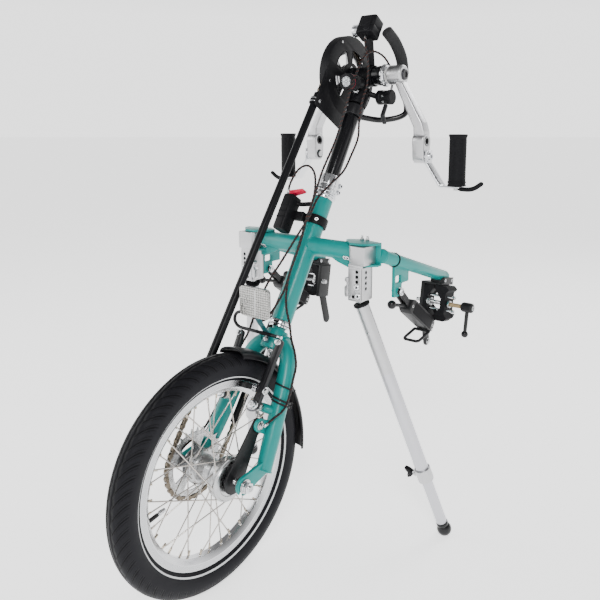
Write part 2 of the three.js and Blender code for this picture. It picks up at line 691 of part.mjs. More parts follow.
// Fork with its steerer, crown, legs, dropouts, brake bosses and strap
function fork() {
  let shape = join(
    bar(v(0, 0, CROWN_BOTTOM), v(0, 0, CROWN_TOP), FORK.crownRadius, FACETS.medium, FORK.crownTopRadius),
    bar(v(0, 0, CROWN_TOP - OVERRUN), v(0, 0, STEERER_TOP), FORK.steererRadius, FACETS.medium),
  );
  const shoulder = CROWN_BOTTOM - FORK.shoulderDrop;
  for (const s of [-1, 1]) {
    const leg = [
      v(0, 0, CROWN_TOP - FORK.legRadius),
      v(s * FORK.shoulderX * LEG_SHARES.spring, 0, CROWN_TOP - FORK.legRadius * LEG_SHARES.springDrop),
      v(s * FORK.shoulderX * LEG_SHARES.bend, 0, shoulder + FORK.legRadius),
      v(s * FORK.shoulderX, 0, shoulder - FORK.legRadius),
      v(s * FORK.kneeX, 0, FORK.kneeAlong),
      v(s * FORK.dropoutX, 0, FORK.legFoot),
    ];
    const tube = sweep(leg, FORK.legRadius, FORK.legSteps, FACETS.medium, LEG_SHARES.tension);
    shape = join(shape, tube, dropout(s), brakeBoss(s));
  }
  const bore = drill(v(0, 0, CROWN_TOP), v(0, 0, STEERER_TOP + OVERRUN), FORK.steererBore, FACETS.small);
  const tabHalf = GUARD.tabWidth * HALF + GAP;
  const tabRoom = box(v(-tabHalf, -tabHalf, GUARD_CREST), v(tabHalf, tabHalf, CROWN_BOTTOM));
  return cut(join(shape, torqueStrap()), bore, tabRoom);
}

function dropout(s) {
  const legEnd = [0, FORK.legFoot + FORK.legRadius];
  const outline = linkOutline(legEnd, FORK.legRadius * LEG_SHARES.foot, [-FORK_OFFSET, 0], FORK.eyeRadius, 6);
  const body = plate(outline, FORK.dropoutThickness, placed(v(s * FORK.dropoutX, 0, 0), Y, Z));
  const inner = FORK.dropoutX - FORK.dropoutThickness;
  const outer = FORK.dropoutX + FORK.dropoutThickness;
  const bore = drill(
    v(s * inner, -FORK_OFFSET, 0), v(s * outer, -FORK_OFFSET, 0), FORK.axleSlot, FACETS.small,
  );
  const across = [-FORK_OFFSET - FORK.axleSlot, -FORK_OFFSET + FORK.axleSlot];
  return cut(body, bore, sideBox(s, [inner, outer], across, [-FORK.eyeRadius - OVERRUN, 0]));
}

// Where the leg's centre line runs at a height along the head axis
function legX(along) {
  const share = (along - FORK.legFoot) / (FORK.kneeAlong - FORK.legFoot);
  return FORK.dropoutX + (FORK.kneeX - FORK.dropoutX) * share;
}

function brakeBoss(s) {
  const root = v(s * legX(BOSS_ALONG), 0, BOSS_ALONG);
  const elbow = v(s * BOSS.x, -FORK.legRadius - BOSS.radius * HALF, BOSS_ALONG);
  const tip = v(s * BOSS.x, -BOSS.reach, BOSS_ALONG);
  const pinEnd = v(s * BOSS.x, -BOSS.pinReach, BOSS_ALONG);
  return join(
    bar(root, elbow, BOSS.radius, FACETS.small), ball(elbow, BOSS.radius, FACETS.pin),
    bar(elbow, tip, BOSS.neckRadius, FACETS.small), bar(elbow, pinEnd, BOSS.pinRadius, FACETS.pin),
  );
}

function torqueStrap() {
  const outline = linkOutline(
    [0, STRAP.along], STRAP.width * HALF, [-STRAP.reach, STRAP.along], STRAP.width * HALF,
  );
  const hole = circle(STRAP.holeRadius, FACETS.pin, -STRAP.reach, STRAP.along);
  return plate(outline, STRAP.thickness, placed(v(STRAP.x, 0, 0), Y, Z), [hole]);
}

// Flat arm that keeps the hub's brake from turning
function torqueArm() {
  const hub = [-FORK_OFFSET, 0];
  const eye = [-STRAP.reach, STRAP.along];
  const holes = [
    circle(HUB.axleRadius + GAP, FACETS.small, ...hub), circle(TORQUE.boltRadius, FACETS.pin, ...eye),
  ];
  const outline = linkOutline(hub, TORQUE.hubRadius, eye, TORQUE.width * HALF);
  const arm = plate(outline, TORQUE.thickness, placed(v(TORQUE.x, 0, 0), Y, Z), holes);
  const place = (x) => v(x, eye[0], eye[1]);
  const inner = TORQUE.x - TORQUE.thickness * HALF;
  const outer = STRAP.x + STRAP.thickness * HALF + GAP;
  const shank = bar(
    place(inner - TORQUE.headLength), place(outer + TORQUE.headLength), TORQUE.boltRadius - GAP,
    FACETS.pin,
  );
  const heads = join(
    bar(place(inner), place(inner - TORQUE.headLength), TORQUE.headRadius, FACETS.hex),
    bar(place(outer), place(outer + TORQUE.headLength), TORQUE.headRadius, FACETS.hex),
  );
  return join(arm, shank, heads);
}

// Rim brake arm with its pad
function brakeArm(s) {
  const y = -(BOSS.reach + GAP + BRAKE.armThickness * HALF);
  const half = BRAKE.armWidth * HALF;
  const foot = [s * BOSS.x, BOSS_ALONG];
  const top = [s * BRAKE.topX, ARM_TOP];
  const outline = linkOutline(foot, half, top, half * BRAKE.taperShare, 4);
  const hole = circle(BOSS.pinRadius + GAP, FACETS.small, ...foot);
  const arm = plate(outline, BRAKE.armThickness, placed(v(0, y, 0), X, Z), [hole]);
  const rimSide = RIM.width * HALF + BRAKE.padGap;
  const padOuter = rimSide + BRAKE.padThickness;
  const pad = sideBox(
    s, [rimSide, padOuter], [-FORK_OFFSET - BRAKE.padLength * HALF, -FORK_OFFSET + BRAKE.padLength * HALF],
    [PAD_ALONG - BRAKE.padHeight * HALF, PAD_ALONG + BRAKE.padHeight * HALF],
  );
  const lean = (BRAKE.topX - BOSS.x) / (ARM_TOP - BOSS_ALONG);
  const armAtPad = BOSS.x + (PAD_ALONG - BOSS_ALONG) * lean;
  const at = (x) => v(s * x, y, PAD_ALONG);
  const post = bar(
    at(padOuter - BRAKE.seat), at(armAtPad + half + BRAKE.washerLength), BRAKE.postRadius, FACETS.pin,
  );
  const washer = bar(at(padOuter), at(armAtPad - half + BRAKE.seat), BRAKE.washerRadius, FACETS.small);
  const face = y - BRAKE.armThickness * HALF;
  const ahead = (place, reach) => v(place[0], face - reach, place[1]);
  const cap = pipe(
    ahead(foot, 0), ahead(foot, BRAKE.capLength), BRAKE.capRadius, BOSS.pinRadius + GAP, FACETS.small,
  );
  const anchor = bar(ahead(top, -BRAKE.seat), ahead(top, BRAKE.anchorLength), BRAKE.anchorRadius, FACETS.pin);
  return join(arm, pad, post, washer, cap, anchor);
}

// Curved guide that brings the cable into the right arm: places across, back and above the crown's foot
const NOODLE_ROUTE = [
  [46, -41, 19.9], [0, -41, 20], [-36, -41, 20], [-58, -42, 21], [-69, -46, 30], [-66, -51, 42],
  [-52, -52, 48],
];

function noodle() {
  const route = NOODLE_ROUTE.map(([x, y, rise]) => v(x, y, CROWN_BOTTOM + rise));
  return sweep(route, BRAKE.noodleRadius, BRAKE.noodleSteps, FACETS.pin);
}

// Mudguard: an arched section led round the wheel, with the tab that bolts under the crown
function mudguard() {
  const section = [];
  const n = GUARD.arcPoints;
  for (const [half, lift] of [[GUARD.halfWidth, GUARD.thickness], [GUARD.halfWidth - GUARD.thickness, 0]]) {
    const row = [];
    for (let i = 0; i <= n; i += 1) {
      const a = Math.PI * i / n;
      row.push([half * Math.cos(a), lift + GUARD.skirt * Math.sin(a)]);
    }
    section.push(...(lift > 0 ? row : row.reverse()));
  }
  const points = [];
  const index = [];
  const count = section.length;
  for (let k = 0; k <= GUARD.steps; k += 1) {
    const a = GUARD.rear + (GUARD.front - GUARD.rear) * k / GUARD.steps;
    const flare = 1 + GUARD.flareShare * Math.max(0, 1 - k / GUARD.steps / GUARD.flareEndShare);
    for (const [x, h] of section) {
      const r = GUARD_RADIUS - GUARD.skirt + h;
      points.push(x * flare, r * Math.cos(a), r * Math.sin(a));
    }
  }
  for (let k = 0; k < GUARD.steps; k += 1) {
    for (let i = 0; i < count; i += 1) {
      const n2 = (i + 1) % count;
      const a = k * count;
      const b = a + count;
      index.push(a + i, a + n2, b + n2, a + i, b + n2, b + i);
    }
  }
  const last = GUARD.steps * count;
  for (let i = 0; i < n; i += 1) {
    const j = count - 1 - i;
    index.push(i, j, j - 1, i, j - 1, i + 1);
    index.push(last + i, last + j - 1, last + j, last + i, last + i + 1, last + j - 1);
  }
  const geometry = new THREE.BufferGeometry();
  geometry.setAttribute('position', new THREE.Float32BufferAttribute(points, 3));
  geometry.setIndex(index);
  const band = solid(geometry.rotateX(HEAD_TILT).translate(0, -FORK_OFFSET, 0));
  const tab = box(
    v(-GUARD.tabWidth * HALF, -GUARD.tabThickness * HALF, GUARD_CREST - GUARD.thickness * HALF),
    v(GUARD.tabWidth * HALF, GUARD.tabThickness * HALF, CROWN_BOTTOM - GAP),
  );
  return join(band, tab);
}

// Front reflector on its bent strip
function reflector() {
  const up = v(0, -Math.sin(HEAD_TILT), Math.cos(HEAD_TILT));
  const middle = v(0, REFLECTOR.forward, CROWN_TOP + REFLECTOR.rise);
  const outline = rounded(REFLECTOR.width, REFLECTOR.height, REFLECTOR.corner);
  const face = plate(outline, REFLECTOR.thickness, placed(middle, X, up));
  const half = REFLECTOR.stripWidth * HALF;
  const footAlong = CROWN_TOP - REFLECTOR.footDrop;
  const share = (REFLECTOR.footDrop + REFLECTOR.stripWidth) / FORK.crownHeight;
  const crownFront = -(FORK.crownTopRadius + (FORK.crownRadius - FORK.crownTopRadius) * share + GAP);
  const foot = v(0, crownFront - REFLECTOR.stripThickness * HALF, footAlong);
  const bend = v(0, REFLECTOR.bend, CROWN_TOP);
  const end = middle.clone().addScaledVector(up, -REFLECTOR.height * REFLECTOR.gripShare);
  const strip = (from, to) => {
    const axis = to.clone().sub(from);
    const sides = [[0, -half], [axis.length(), -half], [axis.length(), half], [0, half]];
    return plate(sides, REFLECTOR.stripThickness, placed(from, axis, X));
  };
  const footPlate = box(
    v(-half, crownFront - REFLECTOR.stripThickness, footAlong - REFLECTOR.stripWidth),
    v(half, crownFront, footAlong + REFLECTOR.stripThickness),
  );
  return join(face, strip(foot, bend), strip(bend, end), footPlate);
}

// Headset cups and the clamp ring above them
function lowerCup() {
  const low = HEAD_BOTTOM - HEAD.cupHeight;
  return join(
    pipe(v(0, 0, low), v(0, 0, HEAD_BOTTOM - GAP), HEAD.cupRadius, FORK.steererRadius + GAP),
    pipe(v(0, 0, low - HEAD.crownGap), v(0, 0, low + OVERRUN), HEAD.cupLip, FORK.steererRadius + GAP),
  );
}

function upperCup() {
  const high = HEAD_TOP + HEAD.upperHeight;
  return join(
    pipe(v(0, 0, HEAD_TOP + GAP), v(0, 0, high), HEAD.cupLip, FORK.steererRadius + GAP),
    pipe(v(0, 0, high - HEAD.brim), v(0, 0, high), HEAD.brimRadius, FORK.steererRadius + GAP),
  );
}

function clampRing() {
  const bore = COLUMN.radius + GAP;
  const seat = RING_BOTTOM + CLAMP_RING.brimHeight;
  const half = CLAMP_RING.earWidth * HALF;
  const reach = CLAMP_RING.radius + CLAMP_RING.earReach;
  const ear = box(v(-half, 0, seat), v(half, reach, RING_TOP));
  const slit = box(
    v(-CLAMP_RING.slit * HALF, 0, seat + CLAMP_RING.slit), v(
      CLAMP_RING.slit * HALF, reach + OVERRUN, RING_TOP + OVERRUN,
    ),
  );
  const middle = (RING_BOTTOM + RING_TOP) * HALF;
  const across = (x) => v(x, CLAMP_RING.radius + CLAMP_RING.earReach * HALF, middle);
  const boltEnd = half + CLAMP_RING.boltHead;
  const bolt = join(
    bar(across(-boltEnd), across(boltEnd), CLAMP_RING.boltRadius, FACETS.pin),
    bar(across(half), across(boltEnd), CLAMP_RING.headRadius, FACETS.hex),
  );
  const inside = drill(v(0, 0, RING_BOTTOM - OVERRUN), v(0, 0, RING_TOP + OVERRUN), bore);
  const ring = join(
    pipe(v(0, 0, RING_BOTTOM), v(0, 0, RING_TOP), CLAMP_RING.radius, bore),
    cut(ear, inside),
    pipe(
      v(0, 0, HEAD_TOP + HEAD.upperHeight + GAP), v(0, 0, seat), CLAMP_RING.brim,
      FORK.steererRadius + GAP,
    ),
  );
  const above = drill(v(0, 0, COLUMN_SEAT - GAP), v(0, 0, RING_TOP + OVERRUN), bore);
  return join(cut(ring, slit, above), bolt);
}

// Column with the crank shell across its top
function column() {
  const at = (x) => v(x, 0, CRANK_ALONG);
  const cupEnd = COLUMN.shellLeft + COLUMN.cup;
  const shape = join(
    bar(v(0, 0, COLUMN_SEAT), at(0), COLUMN.radius, FACETS.large),
    bar(at(COLUMN.shellLeft), at(COLUMN.shellRight), COLUMN.shellRadius, FACETS.medium),
    bar(at(COLUMN.shellLeft), at(cupEnd), COLUMN.cupRadius, FACETS.medium),
  );
  const bore = drill(at(cupEnd + OVERRUN), at(COLUMN.shellRight - OVERRUN), AXLE.radius + GAP, FACETS.small);
  const inside = drill(v(0, 0, COLUMN_SEAT - OVERRUN), v(0, 0, STEERER_TOP + OVERRUN), COLUMN.bore);
  return cut(shape, bore, inside);
}

// Place on a run of the chain, at a distance along it from the hub
function chainAt(front, along) {
  const out = front ? chainFront : chainFront.clone().negate();
  return v(CHAIN.plane, -FORK_OFFSET, 0).addScaledVector(out, PITCH_RADIUS).addScaledVector(chainLine, along);
}

// Clamp of the guard round one chain tube
function tubeClamp(front) {
  const fromCrankAxis = (along) => chainAt(front, along).sub(v(0, 0, CRANK_ALONG));
  const low = fromCrankAxis(TUBE_TOP - TUBE.clampEnd);
  const high = fromCrankAxis(TUBE_TOP - TUBE.clampEnd + TUBE.clampWidth);
  const half = TUBE.clampWidth * HALF;
  const foot = box(
    v(CHAIN.plane, Math.min(low.y, high.y) - half, low.z),
    v(CASE.plateX + CASE.plate * HALF, Math.max(low.y, high.y) + half, high.z),
  );
  const clamp = join(bar(low, high, TUBE.outer + GAP + TUBE.clampWall, FACETS.small), foot);
  return cut(clamp, through(low, high, TUBE.outer + GAP, FACETS.small));
}

// Chain guard: windowed plate, rim over the chain and a tail that holds the chain tubes
function chainGuard() {
  const tail = [
    [CASE.tailFront, -CASE.tailDrop], [CASE.tailRear, -CASE.tailDrop],
    [CASE.tailCorner, -CASE.windowInner], [0, CASE.mountRadius], [-CASE.radius * CASE.rimShare, 0],
  ];
  const place = placed(v(CASE.plateX, 0, 0), Y, Z);
  const holes = Array.from({ length: CASE.windows - 1 }, (_, k) => (
    slotOutline(k + HALF * HALF, CASE.windows, CASE.windowInner, CASE.windowOuter, CASE.windowShare)
  ));
  const face = plate(circle(CASE.radius, FACETS.large), CASE.plate, place, holes);
  const windows = holes.map((hole) => plate(hole, CASE.plate + OVERRUN, place));
  const lower = cut(plate(tail, CASE.plate, place), ...windows);
  const rimRing = pipe(v(CASE.plateX, 0, 0), v(CASE.rimX, 0, 0), CASE.radius, CASE.inner, FACETS.large);
  const past = CASE.radius + OVERRUN;
  const opening = box(
    v(CASE.rimX - OVERRUN, -past, -past), v(CASE.plateX - CASE.plate * HALF, past, -CASE.windowOuter * HALF),
  );
  const side = CASE.plate * HALF;
  const bore = through(v(CASE.plateX - side, 0, 0), v(CASE.plateX + side, 0, 0), AXLE.radius + CASE.boreGap);
  return join(cut(join(face, cut(rimRing, opening), lower), bore), tubeClamp(true), tubeClamp(false));
}

// Tube that guides one run of the chain
function chainTube(front) {
  return pipe(chainAt(front, TUBE.start), chainAt(front, TUBE_TOP), TUBE.outer, TUBE.inner, FACETS.small);
}

// Crank axle with the bolts that hold the cranks
function crankAxle() {
  const end = AXLE.end + GAP;
  let shape = bar(v(-end, 0, 0), v(end, 0, 0), AXLE.radius, FACETS.small);
  for (const s of [-1, 1]) {
    shape = join(
      shape, bar(v(s * end, 0, 0), v(s * (end + AXLE.boltHeight), 0, 0), AXLE.boltRadius, FACETS.small),
    );
  }
  return shape;
}

function chainring() {
  const half = SPROCKET.thickness * HALF;
  const bore = through(v(CHAIN.plane - half, 0, 0), v(CHAIN.plane + half, 0, 0), AXLE.radius + GAP);
  const ring = cut(toothedDisc(valleyAngle, SPROCKET.thickness, CHAIN.plane), bore);
  const inner = CASE.plateX - CASE.plate * HALF - GAP;
  const boss = pipe(v(inner, 0, 0), v(GAP - CRANK.bossInner, 0, 0), AXLE.spiderRadius, AXLE.radius + GAP);
  return join(ring, boss);
}

// Crank arm: boss, outward sweep and the thick end with its two pin holes
function crank(s) {
  const start = CRANK.bossOuter - CRANK.thickness * HALF;
  const knee = start + CRANK.offset;
  const half = CRANK.thickness * HALF;
  const root = -CRANK.bossRadius * CRANK.rootShare;
  const low = -CRANK.kneeDrop - CRANK.thickness;
  const slope = [
    [start - half, root], [start + half, root], [knee + half, -CRANK.kneeDrop],
    [knee + half, low - CRANK.thickness],
    [knee - half, low - CRANK.thickness], [knee - half, -CRANK.kneeDrop - half],
    [start - half, -CRANK.bossRadius],
  ];
  const arm = plate(slope, CRANK.width, placed(v(0, 0, 0), v(s, 0, 0), Z));
  const inner = v(s * CRANK.bossInner, 0, 0);
  const outer = v(s * CRANK.bossOuter, 0, 0);
  const tip = CRANK.eyeRadius * CRANK.taperShare;
  const end = plate(
    linkOutline([0, -CRANK.secondHole], CRANK.eyeRadius, [0, -CRANK.length], tip),
    CRANK.eyeThickness, placed(v(s * knee, 0, 0), Y, Z),
  );
  const hole = (z, r) => through(v(s * EYE_INNER, 0, z), v(s * EYE_OUTER, 0, z), r, FACETS.small);
  return cut(
    join(bar(inner, outer, CRANK.bossRadius, FACETS.medium), arm, end), through(
      inner, outer, AXLE.radius + GAP,
    ),
    hole(-CRANK.secondHole, CRANK.holeRadius), hole(-CRANK.length, CRANK.pinRadius + GAP),
  );
}

const EYE_OUTER = CRANK.bossOuter - CRANK.thickness * HALF + CRANK.offset + CRANK.eyeThickness * HALF;
const EYE_INNER = EYE_OUTER - CRANK.eyeThickness;

// Swivelling bracket: pin, bent strap, grip post and hook
function pedalBracket(s) {
  const pinZ = -CRANK.length;
  const inside = EYE_INNER - PEDAL.pinEnd;
  const face = EYE_OUTER + GAP;
  const flangeEnd = face + PEDAL.flangeThickness;
  const onPin = (x) => v(s * x, 0, pinZ);
  const pin = join(
    bar(onPin(inside), onPin(flangeEnd), PEDAL.postRadius, FACETS.small),
    bar(onPin(face), onPin(flangeEnd), PEDAL.flangeRadius, FACETS.small),
    bar(onPin(inside), onPin(EYE_INNER - GAP), PEDAL.nutRadius, FACETS.hex),
  );
  const t = PEDAL.strapThickness;
  const floor = pinZ - PEDAL.drop;
  const outline = [
    [flangeEnd - t, pinZ + PEDAL.flangeRadius], [flangeEnd, pinZ + PEDAL.flangeRadius],
    [flangeEnd, pinZ - PEDAL.flangeRadius], [PEDAL.kneeX + t * HALF, floor + t], [PEDAL.tip, floor + t],
    [PEDAL.tip, floor], [PEDAL.kneeX - t * HALF, floor], [flangeEnd - t, pinZ - PEDAL.flangeRadius],
  ];
  const strap = plate(outline, PEDAL.strapWidth, placed(v(0, 0, 0), v(s, 0, 0), Z));
  const onPost = (z) => v(s * PEDAL.reach, 0, z);
  const seat = floor + t * HALF;
  const postTop = floor + t + GAP + PEDAL.gripLength - PEDAL.collarLength;
  const post = bar(onPost(seat), onPost(postTop), PEDAL.postRadius, FACETS.small);
  const nut = bar(onPost(seat), onPost(floor - PEDAL.nutLength), PEDAL.nutRadius, FACETS.hex);
  const low = floor - PEDAL.hookRadius * HALF;
  const onHook = (share, rise) => v(
    s * (PEDAL.reach + PEDAL.hookReach * share), 0, low + PEDAL.hookRise * rise,
  );
  const hook = sweep([
    onHook(HOOK_SHARES.start, 0), onHook(HOOK_SHARES.middle, 0), onHook(HOOK_SHARES.bend, HOOK_SHARES.rise),
    onHook(1, 1),
  ], PEDAL.hookRadius, PEDAL.hookSteps, FACETS.pin);
  return join(pin, strap, post, nut, hook);
}

// Grip: a ribbed sleeve closed at the top
function grip(s) {
  const low = -CRANK.length - PEDAL.drop + PEDAL.strapThickness + GAP;
  const at = (z) => v(s * PEDAL.reach, 0, low + z);
  const shoulder = PEDAL.gripLength - PEDAL.collarLength;
  let shape = join(
    bar(at(0), at(PEDAL.gripLength), PEDAL.gripRadius, FACETS.medium),
    bar(at(shoulder + PEDAL.collarLength * HALF), at(PEDAL.gripLength), PEDAL.collarRadius, FACETS.medium),
  );
  for (let i = 0; i < PEDAL.rings; i += 1) {
    const z = i * PEDAL.ringPitch;
    shape = join(
      shape, bar(at(z), at(z + PEDAL.ringLength), PEDAL.gripRadius + PEDAL.ringDepth, FACETS.medium),
    );
  }
  const bore = drill(
    at(-OVERRUN), at(shoulder + PEDAL.collarLength * HALF), PEDAL.postRadius + GAP, FACETS.small,
  );
  return cut(shape, bore);
}

// Place in the head-axis frame, from a place across, back and up from the crank centre
function fromCrank(x, y, z) {
  return v(x, y, z).applyAxisAngle(X, HEAD_TILT).add(v(0, 0, CRANK_ALONG));
}

// Hand rest: a bent bar from the column, covered with foam over its upper part
function handRest() {
  const points = REST_ROUTE.map((p) => fromCrank(...p));
  const along = CRANK_ALONG - REST.drop;
  const foot = v(0, COLUMN.radius, along);
  const low = v(0, 0, along - REST.ringHeight * HALF);
  const high = v(0, 0, along + REST.ringHeight * HALF);
  return cut(join(
    bar(low, high, REST.ringRadius, FACETS.medium),
    sweep([foot, ...points.slice(0, REST_FOAM_FROM + 1)], REST.barRadius, REST.barSteps, FACETS.pin),
    sweep(points.slice(REST_FOAM_FROM), REST.foamRadius, REST.foamSteps, FACETS.small),
  ), through(low, high, COLUMN.radius + GAP));
}

// Headlight and its clamp on the column
const LAMP_Y = -(COLUMN.radius + LAMP.standoff + LAMP.length * HALF);
const LAMP_FRONT = LAMP_Y - LAMP.length * HALF;
const onLamp = (y) => fromCrank(LAMP.x, y, LAMP.z);

function headlight() {
  const body = bar(onLamp(LAMP_FRONT), onLamp(LAMP_FRONT + LAMP.length), LAMP.radius, FACETS.medium);
  const mouth = onLamp(LAMP_FRONT + LAMP.lensThickness + GAP);
  return cut(body, drill(onLamp(LAMP_FRONT - OVERRUN), mouth, LAMP.lensRadius + GAP));
}

function lampLens() {
  return bar(onLamp(LAMP_FRONT), onLamp(LAMP_FRONT + LAMP.lensThickness), LAMP.lensRadius, FACETS.medium);
}

function lampClamp() {
  const foot = CRANK_ALONG - LAMP.clampDrop;
  const low = v(0, 0, foot);
  const high = v(0, 0, foot + LAMP.clampHeight);
  const pivot = v(LAMP.x, LAMP_Y + LAMP.length * LAMP.pivotShare, LAMP.z - LAMP.radius - GAP);
  const root = v(0, -LAMP.clampRadius * LAMP.rootShare, foot + LAMP.clampHeight * HALF);
  const stem = bar(root, fromCrank(...pivot), LAMP.stemWidth * HALF, FACETS.pin);
  const tilted = [-1, 0, 1].map((way) => {
    const turn = (y) => v(LAMP.x, y, LAMP.z).sub(pivot).applyAxisAngle(X, way * LAMP.tilt).add(pivot);
    const from = fromCrank(...turn(LAMP_Y - LAMP.length));
    return drill(from, fromCrank(...turn(LAMP_Y + LAMP.length)), LAMP.radius + GAP);
  });
  return cut(
    join(bar(low, high, LAMP.clampRadius, FACETS.medium), stem), through(low, high, COLUMN.radius + GAP),
    ...tilted,
  );
}

// Gear selector box with its dial
const SELECTOR_ALONG = CRANK_ALONG + SELECTOR.rise;

function selector() {
  const centre = v(SELECTOR.x, SELECTOR.forward, SELECTOR_ALONG);
  const body = plate(
    rounded(SELECTOR.width, SELECTOR.depth, SELECTOR.corner), SELECTOR.height, placed(centre, X, Y),
  );
  const footTop = SELECTOR_ALONG - SELECTOR.height * HALF + SELECTOR.footThickness * HALF;
  const from = v(SELECTOR.x, SELECTOR.forward + SELECTOR.depth * SELECTOR.footShare, footTop);
  const seat = COLUMN.shellRadius * SELECTOR.seatShare;
  const axis = v(SELECTOR.x, -seat, CRANK_ALONG + seat).sub(from);
  const half = SELECTOR.footWidth * HALF;
  const sides = [[0, -half], [axis.length(), -half], [axis.length(), half], [0, half]];
  const foot = plate(sides, SELECTOR.footThickness, placed(from, axis, X));
  const across = (x) => v(SELECTOR.x + x, 0, CRANK_ALONG);
  return cut(
    join(body, foot), drill(across(-SELECTOR.width), across(SELECTOR.width), COLUMN.shellRadius + GAP),
  );
}

function dial() {
  const face = SELECTOR.x - SELECTOR.width * HALF - GAP;
  const outline = Array.from({ length: SELECTOR.ridges * 2 }, (_, i) => {
    const a = TURN * i / (SELECTOR.ridges * 2);
    const r = SELECTOR.dialRadius - (i % 2) * SELECTOR.ridgeDepth;
    return [r * Math.cos(a), r * Math.sin(a)];
  });
  const centre = v(face - SELECTOR.dialLength * HALF, SELECTOR.forward, SELECTOR_ALONG - SELECTOR.dialDrop);
  return plate(outline, SELECTOR.dialLength, placed(centre, Y, Z));
}

// Brake lever housing and blade
function leverBody() {
  const centre = fromCrank(LEVER.x, LEVER.y, LEVER.z);
  const low = centre.clone().setX(LEVER.x - LEVER.bodyLength * HALF);
  const high = centre.clone().setX(LEVER.x + LEVER.bodyLength * HALF);
  const neckEnd = centre.clone().setX(LEVER.x - LEVER.bodyLength * HALF + LEVER.neckRadius * HALF);
  const shape = join(
    bar(low, high, LEVER.bodyRadius, FACETS.medium),
    bar(neckEnd, v(0, 0, CRANK_ALONG - LEVER.neckDrop), LEVER.neckRadius, FACETS.pin),
  );
  const shell = (x) => v(x, 0, CRANK_ALONG);
  const cupEnd = COLUMN.shellLeft + COLUMN.cup + GAP;
  return cut(
    shape, drill(v(0, 0, COLUMN_SEAT), shell(0), COLUMN.radius + GAP),
    drill(shell(COLUMN.shellRight), shell(cupEnd), COLUMN.cupRadius + GAP),
  );
}

function leverBlade() {
  const centre = fromCrank(LEVER.x, LEVER.y, LEVER.z);
  const top = centre.z - LEVER.bodyRadius - GAP;
  const long = LEVER.bladeLength;
  const outline = [
    [0, 0], [LEVER.bladeThickness, 0], [LEVER.bladeThickness, -long * BLADE_SHARES.bend],
    [LEVER.kick + LEVER.bladeThickness * HALF, -long], [LEVER.kick, -long * BLADE_SHARES.tip],
    [0, -long * BLADE_SHARES.back],
  ];
  return plate(outline, LEVER.bladeWidth, placed(v(LEVER.x + LEVER.bladeWidth * HALF, centre.y, top), Y, Z));
}

// Parking lever unit
function parkBody() {
  const centre = v(PARK.x, PARK.back, PARK_ALONG);
  const body = plate(rounded(PARK.width, PARK.depth, PARK.corner), PARK.height, placed(centre, X, Y));
  const low = v(0, 0, PARK_ALONG - PARK.bandHeight * HALF);
  const high = v(0, 0, PARK_ALONG + PARK.bandHeight * HALF);
  const band = bar(low, high, HEAD.radius + GAP + PARK.bandWall, FACETS.medium);
  const bridge = box(v(PARK.x, PARK.back, low.z), v(-HEAD.radius * HALF, PARK.back + PARK.bridge, high.z));
  const strutEnd = v(0, -HEAD.radius * HALF, HEAD_TOP - PARK.strutTo);
  const strut = bar(v(PARK.x, PARK.back, HEAD_TOP - PARK.strutFrom), strutEnd, PARK.strutRadius, FACETS.pin);
  const clear = drill(
    low.clone().setZ(low.z - PARK.height), high.clone().setZ(high.z + PARK.height), HEAD.radius + GAP,
  );
  return cut(join(body, band, bridge, strut), clear);
}

function parkLatch() {
  const r = PARK.latchRadius;
  const pivot = v(PARK.x - PARK.width * HALF + r, PARK.back, PARK_ALONG + PARK.height * HALF + GAP + r);
  const outline = linkOutline([0, 0], r, [PARK.latchLength, PARK.latchRise], r * HALF);
  return plate(outline, PARK.latchWidth, placed(pivot, X, Z));
}

// Frame: head tube, crossbar, gussets, end brackets, rear arms and their lugs, placed from the crossing
function clevis(s) {
  const outline = mirrored(s, [
    [CLEVIS.inner, CLEVIS.front + CLEVIS.plate], [CLEVIS.inner + CLEVIS.plate, CLEVIS.front],
    [CLEVIS.outer - CLEVIS.chamfer, CLEVIS.front], [CLEVIS.outer, CLEVIS.front + CLEVIS.chamfer],
    [CLEVIS.outer, CLEVIS.rear], [CLEVIS.inner, CLEVIS.rear + CLEVIS.heel],
    [CLEVIS.inner - CLEVIS.chamfer, CLEVIS.rear],
    [CLEVIS.inner - CLEVIS.chamfer, 0],
  ]);
  const level = CLEVIS.half + CLEVIS.plate * HALF;
  const leaf = (z) => plate(outline, CLEVIS.plate, placed(v(0, 0, z), X, Y));
  const across = [CLEVIS.inner - CLEVIS.chamfer, CLEVIS.outer];
  const back = sideBox(s, across, [CLEVIS.rear - CLEVIS.plate, CLEVIS.rear], [-level, level]);
  const stud = (x, y) => bar(
    v(s * x, y, level), v(s * x, y, level + CLEVIS.studHeight), CLEVIS.studRadius, FACETS.pin,
  );
  const first = CLEVIS.inner + CLEVIS.studInset;
  const studs = [first, first + CLEVIS.studPitch].map((x) => stud(x, CLEVIS.studBack));
  return join(leaf(level), leaf(-level), back, ...studs);
}

function gusset(s) {
  const high = -BAR.radius * HALF;
  const outline = mirrored(s, [
    [BAR.end, high], [BAR.end - BAR.gussetReach, high], [BAR.end - BAR.gussetReach, -BAR.radius],
    [BAR.end - BAR.gussetEnd, -BAR.gussetDrop], [BAR.end, -BAR.gussetDrop],
  ]);
  return plate(outline, BAR.gussetThickness, placed(v(0, high, 0), X, Z));
}

const armHeight = (y) => ARM.top + (y - ARM.front) * (ARM.bottom - ARM.top) / (ARM.back - ARM.front);

